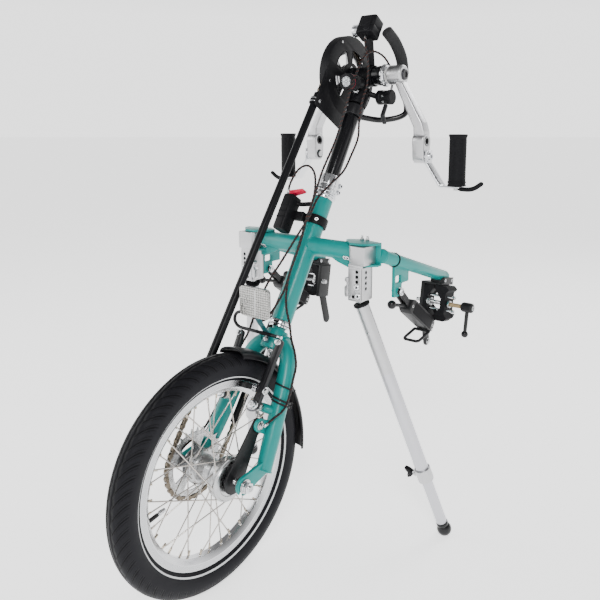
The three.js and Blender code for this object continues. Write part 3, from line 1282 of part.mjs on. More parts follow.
// Arm with the lug under it: a stepped plate with a window, and the toggle's bolt hole in its front leg
function rearArm(s) {
  const end = v(s * ARM.x, ARM.back, ARM.bottom);
  const tube = join(
    bar(v(s * ARM.x, ARM.front, ARM.top), end, ARM.radius, FACETS.medium), ball(end, ARM.radius),
  );
  const front = LUG_Y - LUG.ahead;
  const rear = LUG_Y + LUG.behind;
  const heel = LUG_Y + LUG.below;
  const inTube = (y) => armHeight(y) - ARM.radius * HALF;
  const outline = [
    [front, inTube(front)], [front, LUG_Z - LUG.below], [heel, LUG_Z - LUG.below], [heel, LUG_Z + LUG.step],
    [rear, LUG_Z + LUG.step], [rear, inTube(rear)],
  ];
  const left = LUG_Y - LUG.windowAhead - LUG.windowWidth * HALF;
  const right = left + LUG.windowWidth;
  const middle = LUG_Z + LUG.windowRise;
  const h = LUG.windowHeight * HALF;
  const window = [[left, middle - h], [right, middle - h], [right, middle + h], [left, middle + h]];
  const hole = circle((LUG.boltRadius + GAP) / Math.cos(Math.PI / FACETS.small), FACETS.small, LUG_Y, LUG_Z);
  return join(tube, plate(outline, LUG.thickness, placed(v(s * ARM.x, 0, 0), Y, Z), [window, hole]));
}

function frame() {
  const low = alongHead.clone().multiplyScalar(HEAD_BOTTOM - BAR_ALONG);
  const high = alongHead.clone().multiplyScalar(HEAD_TOP - BAR_ALONG);
  let shape = join(
    bar(low, high, HEAD.radius, FACETS.large), bar(
      v(-BAR.end, 0, 0), v(BAR.end, 0, 0), BAR.radius, FACETS.medium,
    ),
  );
  for (const s of [-1, 1]) {
    const pocket = sideBox(
      s, [CLEVIS.inner, CLEVIS.outer - CLEVIS.plate], [BLOCK.front - OVERRUN, CLEVIS.rear - CLEVIS.plate],
      [-CLEVIS.half, CLEVIS.half],
    );
    shape = join(cut(shape, pocket), clevis(s), gusset(s), rearArm(s));
  }
  return cut(shape, through(low, high, HEAD.bore));
}

// Stand: block between the end bracket's plates, with the perforated channel below it
const CHANNEL_X = (CHANNEL.inner + CHANNEL.outer) * HALF;
const CHANNEL_Y = (CHANNEL.front + CHANNEL.rear) * HALF;
const CHANNEL_TOP = -(CLEVIS.half + CLEVIS.plate + GAP);

// Channel: a square tube with a slot, bolts and holes in its front, holes in its outer side and an ear inside
function channel(s) {
  const c = CHANNEL;
  const across = [c.inner, c.outer];
  let shape = cut(
    sideBox(s, across, [c.front, c.rear], [c.bottom, CHANNEL_TOP]),
    sideBox(
      s, [c.inner + c.wall, c.outer - c.wall], [c.front + c.wall, c.rear - c.wall],
      [c.bottom - OVERRUN, CHANNEL_TOP - c.wall],
    ),
  );
  for (let i = 0; i < c.holes; i += 1) {
    const z = CHANNEL_TOP - c.firstHole - i * c.holePitch;
    shape = cut(
      shape,
      through(v(s * (c.outer - c.wall), CHANNEL_Y, z), v(s * c.outer, CHANNEL_Y, z), c.holeRadius, FACETS.pin),
    );
    if (i >= c.bolts) {
      const x = s * CHANNEL_X;
      shape = cut(shape, through(v(x, c.front, z), v(x, c.front + c.wall, z), c.holeRadius, FACETS.pin));
    }
  }
  const quarter = (c.outer - c.inner) * HALF * HALF;
  const slotX = CHANNEL_X - quarter;
  const slotTop = CHANNEL_TOP - c.firstHole;
  shape = cut(shape, sideBox(
    s, [slotX - c.slotWidth * HALF, slotX + c.slotWidth * HALF], [
      c.front - OVERRUN, c.front + c.wall + OVERRUN,
    ],
    [slotTop - c.slotHeight, slotTop],
  ));
  for (let i = 0; i < c.bolts; i += 1) {
    const z = slotTop - i * c.holePitch;
    const x = s * (CHANNEL_X + quarter);
    shape = join(
      shape,
      bar(v(x, c.front + c.wall * HALF, z), v(x, c.front - c.boltHeight, z), c.boltRadius, FACETS.hex),
    );
  }
  const bump = (z) => bar(
    v(s * c.inner, CHANNEL_Y - c.earThickness * HALF, z), v(
      s * c.inner, CHANNEL_Y + c.earThickness * HALF, z,
    ),
    c.earReach, FACETS.small,
  );
  const earBack = sideBox(
    s, [c.inner - c.earReach + c.earCorner, c.inner + c.wall],
    [CHANNEL_Y - c.earThickness * HALF, CHANNEL_Y + c.earThickness * HALF],
    [c.bottom + c.earReach, c.earTop - c.earReach],
  );
  const hollow = sideBox(
    s, [c.inner + c.wall * HALF, c.outer - c.wall], [c.front + c.wall, c.rear - c.wall],
    [c.bottom - OVERRUN, CHANNEL_TOP - c.wall],
  );
  return join(shape, cut(join(bump(c.earTop - c.earReach), bump(c.bottom + c.earReach), earBack), hollow));
}

function standBlock(s) {
  const c = CHANNEL;
  const inner = BLOCK.inner + BLOCK.gap;
  const outline = [];
  for (let i = 0; i <= BLOCK.cornerSteps; i += 1) {
    const a = Math.PI + i * Math.PI * HALF / BLOCK.cornerSteps;
    outline.push([
      inner + BLOCK.corner + BLOCK.corner * Math.cos(a),
      BLOCK.front + BLOCK.corner + BLOCK.corner * Math.sin(a),
    ]);
  }
  outline.push([BLOCK.outer, BLOCK.front], [BLOCK.outer, BLOCK.rear], [inner, BLOCK.rear]);
  const half = CLEVIS.half - BLOCK.gap;
  const block = plate(mirrored(s, outline), 2 * half, placed(v(0, 0, 0), X, Y));
  const column = plate(mirrored(s, outline), -2 * c.bottom, placed(v(0, 0, 0), X, Y));
  const neck = sideBox(s, [c.inner, c.outer], [c.front, CLEVIS.front - GAP], [CHANNEL_TOP - c.wall, half]);
  return join(channel(s), neck.intersect(column), block);
}

// Telescopic leg below the channel
const LEG_TOP = [CHANNEL_X, CHANNEL_Y, CHANNEL.bottom - GAP];
const legTop = (s) => v(s * LEG_TOP[0], LEG_TOP[1], LEG_TOP[2]);
const legFoot = (s) => v(s * LEG.footX, LEG.footBack, LEG.ball - LEG.ballFlat - barCentre.z);
const legAt = (s, share) => legTop(s).lerp(legFoot(s), share);

// Outer leg tube, with the collar and thumb knob that lock the inner tube
function outerLeg(s) {
  const axis = legFoot(s).sub(legTop(s)).normalize();
  const at = (distance) => legTop(s).addScaledVector(axis, distance);
  const lift = LEG.radius * Math.hypot(axis.x, axis.y) / -axis.z;
  const gasketEnd = LEG.gasketStart + LEG.gasketLength;
  const collarTop = legAt(s, LEG.collarShare);
  const collarEnd = collarTop.clone().addScaledVector(axis, LEG.collarLength);
  const middle = collarTop.clone().addScaledVector(axis, LEG.collarLength * HALF);
  const outward = v(-s, 0, 0).addScaledVector(axis, axis.x * s).normalize();
  const knobFoot = middle.clone().addScaledVector(outward, (LEG.bore + LEG.collarRadius) * HALF);
  const out = (reach) => middle.clone().addScaledVector(outward, LEG.collarRadius + reach);
  const wing = plate(
    rounded(LEG.wingLength, LEG.wingReach, LEG.wingCorner, 1), LEG.wingThickness,
    placed(out(LEG.knobReach + LEG.wingReach * HALF), axis, outward),
  );
  const tube = join(
    bar(at(lift), collarEnd, LEG.radius, FACETS.medium), bar(
      collarTop, collarEnd, LEG.collarRadius, FACETS.medium,
    ),
    bar(at(-LEG.plugRise), at(gasketEnd), LEG.plugRadius, FACETS.small),
    bar(at(LEG.gasketStart), at(gasketEnd), LEG.gasketRadius, FACETS.medium),
  );
  const knob = join(
    bar(knobFoot, out(LEG.knobReach + LEG.wingReach * HALF), LEG.knobStem, FACETS.pin),
    bar(out(0), out(LEG.knobRise), LEG.knobRadius, FACETS.hex), wing,
  );
  const button = legAt(s, LEG.buttonShare);
  const buttonEnd = button.clone().addScaledVector(Y, -LEG.radius - LEG.buttonRise);
  const bore = drill(legAt(s, LEG.boreTopShare), collarEnd.clone().addScaledVector(axis, OVERRUN), LEG.bore);
  return join(cut(tube, bore), knob, bar(button, buttonEnd, LEG.buttonRadius, FACETS.pin));
}

// Inner leg tube with its rubber ball foot, cut flat where it stands
function innerLeg(s) {
  const centre = legFoot(s);
  const top = legAt(s, LEG.innerTopShare);
  const shape = join(bar(top, centre, LEG.innerRadius, FACETS.small), ball(centre, LEG.ball, FACETS.medium));
  const reach = LEG.ball + OVERRUN;
  const under = box(
    v(centre.x - reach, centre.y - reach, -barCentre.z - reach), v(
      centre.x + reach, centre.y + reach, -barCentre.z,
    ),
  );
  return cut(shape, under);
}

// Toggle: locking body with its ball lever and end cap
const toggleAxis = v(0, Math.cos(TOGGLE.angle), -Math.sin(TOGGLE.angle));
const toggleUp = v(0, Math.sin(TOGGLE.angle), Math.cos(TOGGLE.angle));
const toggleStart = (s) => v(s * ARM.x, LUG_Y + TOGGLE.startBack, LUG_Z - TOGGLE.startDrop);

function toggle(s) {
  const start = toggleStart(s);
  const half = TOGGLE.depth * HALF;
  const slim = half * TOGGLE.capShare;
  const capStart = TOGGLE_LENGTH - TOGGLE.capLength;
  const outline = [
    [0, -slim], [TOGGLE.capLength, -half], [capStart, -half], [TOGGLE_LENGTH, -slim],
    [TOGGLE_LENGTH, slim], [capStart, half], [TOGGLE.capLength, half], [0, slim],
  ];
  const body = plate(outline, TOGGLE.width, placed(start, toggleAxis, toggleUp));
  const tail = start.clone().addScaledVector(toggleAxis, TOGGLE.capLength);
  const reach = LUG.thickness * HALF + GAP;
  const link = linkOutline(
    [LUG_Y, LUG_Z], TOGGLE.linkWidth * HALF, [tail.y, tail.z], TOGGLE.linkWidth * HALF, 4,
  );
  const ears = [-1, 1].map((side) => {
    const x = s * ARM.x + side * (reach + TOGGLE.linkThickness * HALF);
    return plate(link, TOGGLE.linkThickness, placed(v(x, 0, 0), Y, Z));
  });
  const pinEnd = reach + TOGGLE.linkThickness + TOGGLE.pinEnd;
  const onPin = (x) => v(s * ARM.x + x, LUG_Y, LUG_Z);
  const pin = bar(onPin(-pinEnd), onPin(pinEnd), LUG.boltRadius, FACETS.pin);
  const knob = v(s * ARM.x, LUG_Y - TOGGLE.ballAhead, LUG_Z - TOGGLE.ballDrop);
  return join(
    body, ...ears, pin, ball(knob, TOGGLE.ballRadius), bar(knob, tail, TOGGLE.rodRadius, FACETS.pin),
  );
}

// Wire bail hinged at the lower end of the toggle
function bail(s) {
  const pivot = toggleStart(s).addScaledVector(toggleAxis, TOGGLE_LENGTH - BAIL.setback)
    .addScaledVector(toggleUp, -(TOGGLE.depth * HALF + BAIL.wire + GAP));
  const half = TOGGLE.width * HALF + BAIL.wire + GAP;
  const corner = (side, out) => pivot.clone().add(v(side * half, -out, -BAIL.drop * out / BAIL.reach));
  const wire = (from, to) => bar(from, to, BAIL.wire, FACETS.pin);
  return join(
    wire(corner(-1, 0), corner(1, 0)), wire(corner(-1, 0), corner(-1, BAIL.reach)),
    wire(corner(1, 0), corner(1, BAIL.reach)), wire(corner(-1, BAIL.reach), corner(1, BAIL.reach)),
  );
}

// Wheelchair clamp, placed from the arm's end
const clampAt = (s, x, y, z) => v(s * (ARM.x + x), y, z - JAW_DROP);
const clampBox = (s, [x1, x2], ys, [z1, z2]) => sideBox(
  s, [ARM.x + x1, ARM.x + x2], ys, [z1 - JAW_DROP, z2 - JAW_DROP],
);

// Clamp body: saddle round the arm's end, spine behind the inner jaw, strut, nut and the two guide rods
function hanger(s) {
  const face = -(JAW.innerBack + GAP);
  const back = face - HANGER.spine;
  const seat = JAW_TOP + GAP;
  const depth = [HANGER.front, HANGER.rear];
  const spine = clampBox(s, [back, face], depth, [-JAW_TOP, seat + HANGER.bridge]);
  const bridge = clampBox(s, [back, HANGER.saddleHalf], depth, [seat, seat + HANGER.bridge]);
  const saddle = clampBox(
    s, [-HANGER.saddleHalf, HANGER.saddleHalf], [HANGER.saddleFront, HANGER.saddleRear],
    [seat, JAW_DROP + HANGER.saddleTop],
  );
  const lean = ARM_SLOPE - CLAMP_TILT;
  const reach = -HANGER.front * 2;
  const onArm = (y) => v(s * ARM.x, y * Math.cos(lean), -y * Math.sin(lean));
  const armClear = drill(onArm(-reach), onArm(ARM.radius + GAP), ARM.radius + GAP);
  const strutX = back + HANGER.strutThickness * HALF;
  const strutTop = [HANGER.strutTopY, -JAW_TOP - JAW_DROP + HANGER.strutRadius];
  const strutFoot = [HANGER.strutY, -HANGER.strutDrop];
  const strut = plate(
    linkOutline(strutTop, HANGER.strutRadius, strutFoot, HANGER.strutRadius, 4), HANGER.strutThickness,
    placed(v(s * (ARM.x + strutX), 0, 0), Y, Z),
  );
  const onBolt = (x) => v(s * (ARM.x + x), ...strutFoot);
  const boltEnd = back + HANGER.strutThickness + HANGER.boltHeight;
  const bolt = bar(onBolt(strutX), onBolt(boltEnd), HANGER.boltRadius, FACETS.hex);
  const onScrew = (x) => clampAt(s, x, JAW.y, 0);
  const nutEnd = SCREW.knurlLength - JAW.mouth + GAP;
  const sleeve = join(
    bar(onScrew(back + HANGER.spine * HALF), onScrew(nutEnd), SCREW.sleeveRadius, FACETS.small),
    bar(onScrew(GAP - JAW.mouth), onScrew(nutEnd), SCREW.knurlRadius, FACETS.medium),
  );
  const rods = [-1, 1].map((side) => {
    const onRod = (x) => clampAt(s, x, JAW.y, side * HANGER.rodRise);
    return join(
      bar(onRod(back + HANGER.spine * HALF), onRod(HANGER.rodEnd), HANGER.rodRadius, FACETS.pin),
      bar(onRod(HANGER.rodEnd), onRod(HANGER.rodEnd + HANGER.rodHead), HANGER.rodHeadRadius, FACETS.hex),
    );
  });
  const bore = through(onScrew(back), onScrew(nutEnd), SCREW.radius + GAP, FACETS.small);
  return cut(join(cut(join(spine, bridge, saddle), armClear), strut, bolt, sleeve, ...rods), bore);
}

// Jaw: a butterfly-shaped block with a notch, grooved from top to bottom for the clamped tube
function jaw(s, outer) {
  const way = outer ? 1 : -1;
  const back = outer ? JAW.outerBack : JAW.innerBack;
  const waist = outer ? JAW.outerWaist : JAW.innerBack;
  const backHalf = JAW.waistHalf;
  const top = JAW_TOP;
  const inner = [
    [JAW.lip, -top], [JAW.lip, JAW.lipHeight - top], [JAW.mouth, -JAW.notchHalf], [JAW.mouth, JAW.notchHalf],
    [JAW.lip, top - JAW.lipHeight], [JAW.lip, top],
  ];
  const outside = [
    [back - JAW.chamfer, top], [back, top - JAW.chamfer], [back, backHalf + back - waist], [waist, backHalf],
    [waist, -backHalf], [back, waist - back - backHalf], [back, JAW.chamfer - top],
    [back - JAW.chamfer, -top],
  ];
  const outline = [...inner, ...(outer ? outside : [outside[0], outside[1], outside[6], outside[7]])];
  const front = outer ? JAW.front : HANGER.front;
  const place = placed(v(0, (front + JAW.rear) * HALF, -JAW_DROP), X, Z);
  const body = plate(outline.map(([x, z]) => [s * (ARM.x + way * x), z]), JAW.rear - front, place);
  const grooveEdge = JAW.lip - JAW.grooveHalf;
  const groove = [
    [grooveEdge, JAW.grooveY - JAW.grooveHalf * 2], [JAW.lip + JAW.grooveHalf, JAW.grooveY],
    [grooveEdge, JAW.grooveY + JAW.grooveHalf * 2],
  ].map(([x, y]) => [s * (ARM.x + way * x), y]);
  const passage = plate(groove, JAW.height + OVERRUN, placed(v(0, 0, -JAW_DROP), X, Y));
  const hole = (z, radius) => through(
    clampAt(s, way * JAW.lip, JAW.y, z), clampAt(s, way * back, JAW.y, z), radius, FACETS.small,
  );
  const screwHole = hole(0, outer ? SCREW.radius + GAP : SCREW.sleeveRadius + GAP);
  const rodHoles = [-1, 1].map((side) => hole(side * HANGER.rodRise, HANGER.rodRadius + GAP));
  const heel = [
    [JAW.rear - JAW.heel, -top - OVERRUN], [JAW.rear + OVERRUN, -top - OVERRUN],
    [JAW.rear + OVERRUN, JAW.heel - top],
  ];
  const slant = plate(heel, JAW.outerBack * 2, placed(clampAt(s, 0, 0, 0), Y, Z));
  return cut(body, passage, screwHole, ...rodHoles, slant);
}

// Clamping screw with its ball-ended lever
function clampScrew(s) {
  const at = (x, z = 0) => clampAt(s, x, JAW.y, z);
  const nutStart = JAW.outerWaist + GAP;
  const headX = SCREW.end + SCREW.headLength * HALF;
  return join(
    bar(at(-SCREW.start), at(SCREW.end + SCREW.radius), SCREW.radius, FACETS.small),
    bar(at(nutStart), at(nutStart + SCREW.nutLength), SCREW.nutRadius, FACETS.hex),
    bar(at(SCREW.end), at(SCREW.end + SCREW.headLength), SCREW.headRadius, FACETS.small),
    bar(at(headX), at(headX, -SCREW.leverDrop), SCREW.leverRadius, FACETS.pin),
    ball(at(headX, -SCREW.leverDrop - SCREW.ballRadius * HALF), SCREW.ballRadius),
  );
}

// Cable routes, each as landmarks along the head axis with places across, back and along from them
const ROUTES = {
  brake_cable: [
    [CRANK_ALONG, [[47, 37, -14], [47, 22, 18], [42, -15, 33], [36, -52, 21], [33, -67, -12], [32, -69, -77]]],
    [HEAD_TOP, [[26, -55, 111], [23, -58, 35], [23, -56, -15], [22, -55, -56], [22, -49, -111], [20, -47, -164]]],
    [CROWN_TOP, [[14, -40, 59], [0, -45, 8], [-20, -54, 6], [-46, -53, 15]]],
  ],
  gear_cable: [
    [CRANK_ALONG, [[16, -62, 53], [20, -60, 36], [27, -46, 10], [31, -36, -14], [32, -26, -44], [30, -22, -74]]],
    [HEAD_TOP, [[27, -6, 171], [26, 8, 143], [27, 4, 101], [29, -6, 61], [29, -30, 21], [29, -52, -19]]],
    [HEAD_TOP, [[28, -57, -59], [17, -58, -99], [0, -54, -145]]],
    [CROWN_TOP, [[-22, -47, 72], [-38, -34, 28], [-54, -16, -18], [-69, -6, -50]]],
    [0, [[-75, 0, 150], [-81, -2, 90], [-86, -9, 50], [-91.4, -30, 20], [-91.4, -39.8, 2]]],
  ],
  parking_cable: [
    [HEAD_TOP, [[-56, -42, -9], [-56, -44, 15], [-44, -48, 41], [-22, -50, 48], [-2, -48, 33], [9, -44, 1]]],
    [HEAD_TOP, [[13, -44, -31], [14, -44, -69], [14, -41, -114], [13, -38, -164]]],
    [CROWN_TOP, [[14, -32, 70], [23, -27, 40], [32, -14, 14], [42, -8, -10], [58, -8, -30], [69, -6, -52]]],
    [CROWN_TOP, [[71, -4, -74]]],
    [0, [[75, -4, 150], [76, -11, 130], [72, -24, 113], [65, -32, 96]]],
  ],
};

function cable(name) {
  const points = ROUTES[name].flatMap(
    ([landmark, places]) => places.map(([x, y, along]) => v(x, y, landmark + along)),
  );
  return sweep(points, CABLE_RADIUS, Math.ceil(points.length * CABLE_STEP_SHARE), FACETS.cable);
}

// Assembly
add('tyre', tyre(), RUBBER(), wheel);
add('rim', rim(), SATIN(), wheel);
add('hub_shell', hubShell(), SATIN(), wheel);
add('hub_axle', hubAxle(), STEEL(), wheel);
add('sprocket', sprocket(), STEEL(), wheel);
add('chain', chain(), STEEL(), steered);
add('fork', fork(), PAINT(), steered);
add('torque_arm', torqueArm(), BLACK(), steered);
add('brake_arm_left', brakeArm(1), BLACK(), steered);
add('brake_arm_right', brakeArm(-1), BLACK(), steered);
add('brake_noodle', noodle(), BRIGHT(), steered);
add('mudguard', mudguard(), BLACK(), steered);
add('reflector', reflector(), SATIN(), steered);
add('headset_lower_cup', lowerCup(), BRIGHT(), headFrame);
add('headset_upper_cup', upperCup(), BRIGHT(), headFrame);
add('clamp_ring', clampRing(), BRIGHT(), steered);
add('crank_column', column(), BLACK(), steered);
add('chain_guard', chainGuard(), BLACK(), crankAxis);
add('chain_tube_front', chainTube(true), BLACK(), steered);
add('chain_tube_rear', chainTube(false), BLACK(), steered);
add('crank_axle', crankAxle(), BRIGHT(), crankAxis);
add('chainring', chainring(), SATIN(), crankAxis);
add('crank_left', crank(1), SATIN(), cranks);
add('crank_right', crank(-1), SATIN(), cranks);
add('pedal_bracket_left', pedalBracket(1), BRIGHT(), cranks);
add('pedal_bracket_right', pedalBracket(-1), BRIGHT(), cranks);
add('grip_left', grip(1), RUBBER(), cranks);
add('grip_right', grip(-1), RUBBER(), cranks);
add('hand_rest', handRest(), RUBBER(), steered);
add('headlight', headlight(), BLACK(), steered);
add('headlight_lens', lampLens(), finish(0xe8eef2, 0.1, 0), steered);
add('headlight_clamp', lampClamp(), BLACK(), steered);
add('gear_selector', selector(), BLACK(), steered);
add('gear_dial', dial(), BRIGHT(), steered);
add('brake_lever_body', leverBody(), BLACK(), steered);
add('brake_lever', leverBlade(), BLACK(), steered);
add('parking_lever_body', parkBody(), BLACK(), headFrame);
add('parking_latch', parkLatch(), finish(0xd81f3c, 0.35, 0), headFrame);
add('frame', frame(), PAINT(), dock);
for (const [side, s] of [['left', 1], ['right', -1]]) {
  add(`stand_block_${side}`, standBlock(s), SATIN(), dock);
  add(`stand_leg_${side}`, outerLeg(s), SATIN(), dock);
  add(`stand_foot_${side}`, innerLeg(s), SATIN(), dock);
  add(`toggle_${side}`, toggle(s), BLACK(), dock);
  add(`toggle_bail_${side}`, bail(s), BLACK(), dock);
  add(`clamp_body_${side}`, hanger(s), BLACK(), armEnds);
  add(`clamp_jaw_inner_${side}`, jaw(s, false), RUBBER(), armEnds);
  add(`clamp_jaw_outer_${side}`, jaw(s, true), RUBBER(), armEnds);
  add(`clamp_screw_${side}`, clampScrew(s), BRIGHT(), armEnds);
}
for (const name of Object.keys(ROUTES)) add(name, cable(name), BLACK(), steered);

export default handcycle;
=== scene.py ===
import math
from types import SimpleNamespace as Sizes

import bmesh
import bpy
from mathutils import Matrix, Vector

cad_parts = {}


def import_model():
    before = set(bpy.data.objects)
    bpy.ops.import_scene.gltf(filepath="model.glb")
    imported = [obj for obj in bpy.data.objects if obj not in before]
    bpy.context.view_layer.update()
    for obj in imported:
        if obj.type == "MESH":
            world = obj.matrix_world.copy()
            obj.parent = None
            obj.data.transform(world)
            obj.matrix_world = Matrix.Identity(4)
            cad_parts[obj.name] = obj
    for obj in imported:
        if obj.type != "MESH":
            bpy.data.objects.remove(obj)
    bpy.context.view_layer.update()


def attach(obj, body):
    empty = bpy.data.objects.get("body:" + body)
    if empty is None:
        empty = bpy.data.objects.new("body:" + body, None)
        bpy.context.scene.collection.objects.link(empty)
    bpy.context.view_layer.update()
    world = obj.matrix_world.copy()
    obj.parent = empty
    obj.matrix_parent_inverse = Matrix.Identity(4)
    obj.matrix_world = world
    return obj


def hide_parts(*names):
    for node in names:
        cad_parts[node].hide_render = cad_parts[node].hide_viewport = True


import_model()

MM = 0.001
TAU = 2 * math.pi


# Places
TILT = math.radians(30.7)
WHEEL_RADIUS = 203
FORK_OFFSET = 39.8
PITCH = 12.7
TEETH = 30
SPANS = 64
PITCH_RADIUS = PITCH / 2 / math.sin(math.pi / TEETH)
CRANK_ALONG = math.sqrt((PITCH * SPANS) ** 2 - FORK_OFFSET ** 2)
X, Y, Z = Vector((1, 0, 0)), Vector((0, 1, 0)), Vector((0, 0, 1))
ALONG = Vector((0, math.sin(TILT), math.cos(TILT)))
BEHIND = Vector((0, math.cos(TILT), -math.sin(TILT)))
FOOT = Vector((0, 0, WHEEL_RADIUS)) + BEHIND * FORK_OFFSET


def basis(origin, x, y):
    """Matrix whose X follows x and whose Y lies in the plane of x and y."""
    x = Vector(x).normalized()
    z = x.cross(Vector(y)).normalized()
    y = z.cross(x)
    m = Matrix((x, y, z)).transposed().to_4x4()
    m.translation = Vector(origin)
    return m


WORLD = Matrix.Identity(4)
HEAD = basis(FOOT, X, BEHIND)
WHEEL = HEAD @ Matrix.Translation((0, -FORK_OFFSET, 0))
CRANK = Matrix.Translation(HEAD @ Vector((0, 0, CRANK_ALONG)))
CRANK_HEAD = HEAD @ Matrix.Translation((0, 0, CRANK_ALONG))


INTO_HEAD = HEAD.to_3x3().inverted()


def mirror(s):
    """Mirror in the middle plane for s = -1."""
    return Matrix.Diagonal((s, 1, 1, 1))


def radial(a):
    """Direction at turn a about X."""
    return Vector((0, math.cos(a), math.sin(a)))


# Materials
class Graph:
    """A node tree that is written as nested calls."""

    def __init__(self, name, **socket):
        self.mat = bpy.data.materials.new(name)
        self.mat.use_nodes = True
        self.tree = self.mat.node_tree
        self.shader = self.tree.nodes["Principled BSDF"]
        self.set(self.shader, **socket)
        self.coord = self.node("ShaderNodeTexCoord").outputs["Object"]

    def node(self, kind, settings=None, **inputs):
        n = self.tree.nodes.new(kind)
        for k, value in (settings or {}).items():
            setattr(n, k, value)
        self.set(n, **inputs)
        return n

    def set(self, n, **inputs):
        for k, value in inputs.items():
            socket = n.inputs[k.replace("_", " ")] if not k.startswith("in") else n.inputs[int(k[2:])]
            if isinstance(value, bpy.types.NodeSocket):
                self.tree.links.new(value, socket)
            else:
                socket.default_value = value

    def noise(self, scale, detail=3, rough=0.55):
        n = self.node("ShaderNodeTexNoise", Vector=self.coord, Scale=scale, Detail=detail, Roughness=rough)
        return n.outputs["Fac"]

    def voronoi(self, scale):
        return self.node("ShaderNodeTexVoronoi", Vector=self.coord, Scale=scale).outputs["Distance"]

    def ramp(self, fac, low, high, a=(0, 0, 0, 1), b=(1, 1, 1, 1)):
        n = self.node("ShaderNodeValToRGB", Fac=fac)
        n.color_ramp.elements[0].position = low
        n.color_ramp.elements[1].position = high
        n.color_ramp.elements[0].color = a
        n.color_ramp.elements[1].color = b
        return n.outputs["Color"]

    def mix(self, fac, a, b):
        n = self.node("ShaderNodeMix", {"data_type": "RGBA"})
        self.set(n, in0=fac, in6=a, in7=b)
        return n.outputs[2]

    def math(self, op, a, b=0.0):
        return self.node("ShaderNodeMath", {"operation": op}, in0=a, in1=b).outputs[0]

    def span(self, fac, low, high):
        return self.node("ShaderNodeMapRange", in0=fac, in3=low, in4=high).outputs[0]

    def bump(self, height, distance, strength=1.0, normal=None):
        n = self.node("ShaderNodeBump", Height=height, Distance=distance, Strength=strength)
        if normal is not None:
            self.set(n, Normal=normal)
        return n.outputs[0]


def rgba(c, k=1.0):
    return (c[0] * k, c[1] * k, c[2] * k, 1)


def edge_wear(g, amount=0.5):
    """Bright on convex edges, for worn coats."""
    point = g.node("ShaderNodeNewGeometry").outputs["Pointiness"]
    return g.math("MULTIPLY", g.ramp(point, 0.52, 0.6), amount)


def painted(name, colour, rough, grain, depth, coat=0.0, vary=0.12, wear=None):
    g = Graph(name, Metallic=0.0, Specular_IOR_Level=0.25, Coat_Weight=coat, Coat_Roughness=0.12)
    cloud = g.noise(18, 4)
    colour_out = g.mix(cloud, rgba(colour, 1 - vary), rgba(colour, 1 + vary))
    dust = g.ramp(g.noise(70, 6, 0.7), 0.56, 0.78)
    colour_out = g.mix(g.math("MULTIPLY", dust, 0.02), colour_out, (0.55, 0.54, 0.5, 1))
    if wear:
        colour_out = g.mix(edge_wear(g, 0.35), colour_out, rgba(wear))
    g.set(g.shader, Base_Color=colour_out,
          Roughness=g.span(g.noise(45, 5, 0.65), rough - 0.07, rough + 0.1))
    g.set(g.shader, Normal=g.bump(g.noise(grain, 2), depth))
    return g.mat


def metal(name, colour, rough, spread=0.1, grain=600, depth=0.00002, vary=0.08):
    g = Graph(name, Metallic=1.0)
    cloud = g.noise(30, 5, 0.6)
    smudge = g.ramp(g.noise(95, 6, 0.7), 0.4, 0.75)
    g.set(g.shader, Base_Color=g.mix(cloud, rgba(colour, 1 - vary), rgba(colour, 1 + vary)))
    g.set(g.shader, Roughness=g.span(smudge, rough, rough + spread))
    g.set(g.shader, Normal=g.bump(g.noise(grain, 3, 0.6), depth))
    return g.mat


def plastic(name, colour, rough, grain=1500, depth=0.00003, vary=0.15):
    g = Graph(name, Specular_IOR_Level=0.12)
    g.set(g.shader, Base_Color=g.mix(g.noise(40, 4), rgba(colour, 1 - vary), rgba(colour, 1 + vary)))
    g.set(g.shader, Roughness=g.span(g.noise(120, 4), rough - 0.06, rough + 0.1))
    g.set(g.shader, Normal=g.bump(g.voronoi(grain), depth))
    return g.mat


def rubber(name, colour, rough, grain, depth):
    g = Graph(name, Specular_IOR_Level=0.08)
    scuff = g.ramp(g.noise(60, 6, 0.7), 0.5, 0.75)
    g.set(g.shader, Base_Color=g.mix(g.math("MULTIPLY", scuff, 0.5), rgba(colour), rgba(colour, 2.0)))
    g.set(g.shader, Roughness=g.span(scuff, rough, rough + 0.12))
    g.set(g.shader, Normal=g.bump(g.noise(grain, 4), depth))
    return g.mat


def foam(name, colour):
    g = Graph(name, Sheen_Weight=0.03, Sheen_Roughness=0.5)
    cells = g.voronoi(900)
    g.set(g.shader, Base_Color=g.mix(cells, rgba(colour, 0.7), rgba(colour, 1.4)))
    g.set(g.shader, Roughness=g.span(cells, 0.8, 0.95))
    g.set(g.shader, Normal=g.bump(cells, 0.0003))
    return g.mat


def prism(name):
    """Small pyramids in rows under a clear face."""
    g = Graph(name, Metallic=0.75, Coat_Weight=0.8, Coat_Roughness=0.05)
    turn = (0, math.radians(45), 0)
    turned = g.node("ShaderNodeMapping", Vector=g.coord, Rotation=turn, Scale=(330, 330, 330)).outputs[0]
    check = g.node("ShaderNodeTexChecker", Vector=turned, Scale=1.0).outputs["Fac"]
    cells = g.voronoi(260)
    g.set(g.shader, Base_Color=g.mix(check, (0.2, 0.2, 0.19, 1), (0.5, 0.49, 0.47, 1)))
    g.set(g.shader, Roughness=g.span(cells, 0.18, 0.4))
    g.set(g.shader, Normal=g.bump(g.math("ADD", g.math("MULTIPLY", check, 0.6), cells), 0.0015))
    return g.mat


def clear(name, tint):
    g = Graph(name, Transmission_Weight=0.9, IOR=1.47)
    g.set(g.shader, Base_Color=g.mix(g.noise(40), rgba(tint, 0.97), rgba(tint)))
    g.set(g.shader, Roughness=g.span(g.noise(200, 4), 0.02, 0.07))
    g.set(g.shader, Normal=g.bump(g.noise(300, 2), 0.00003))
    return g.mat


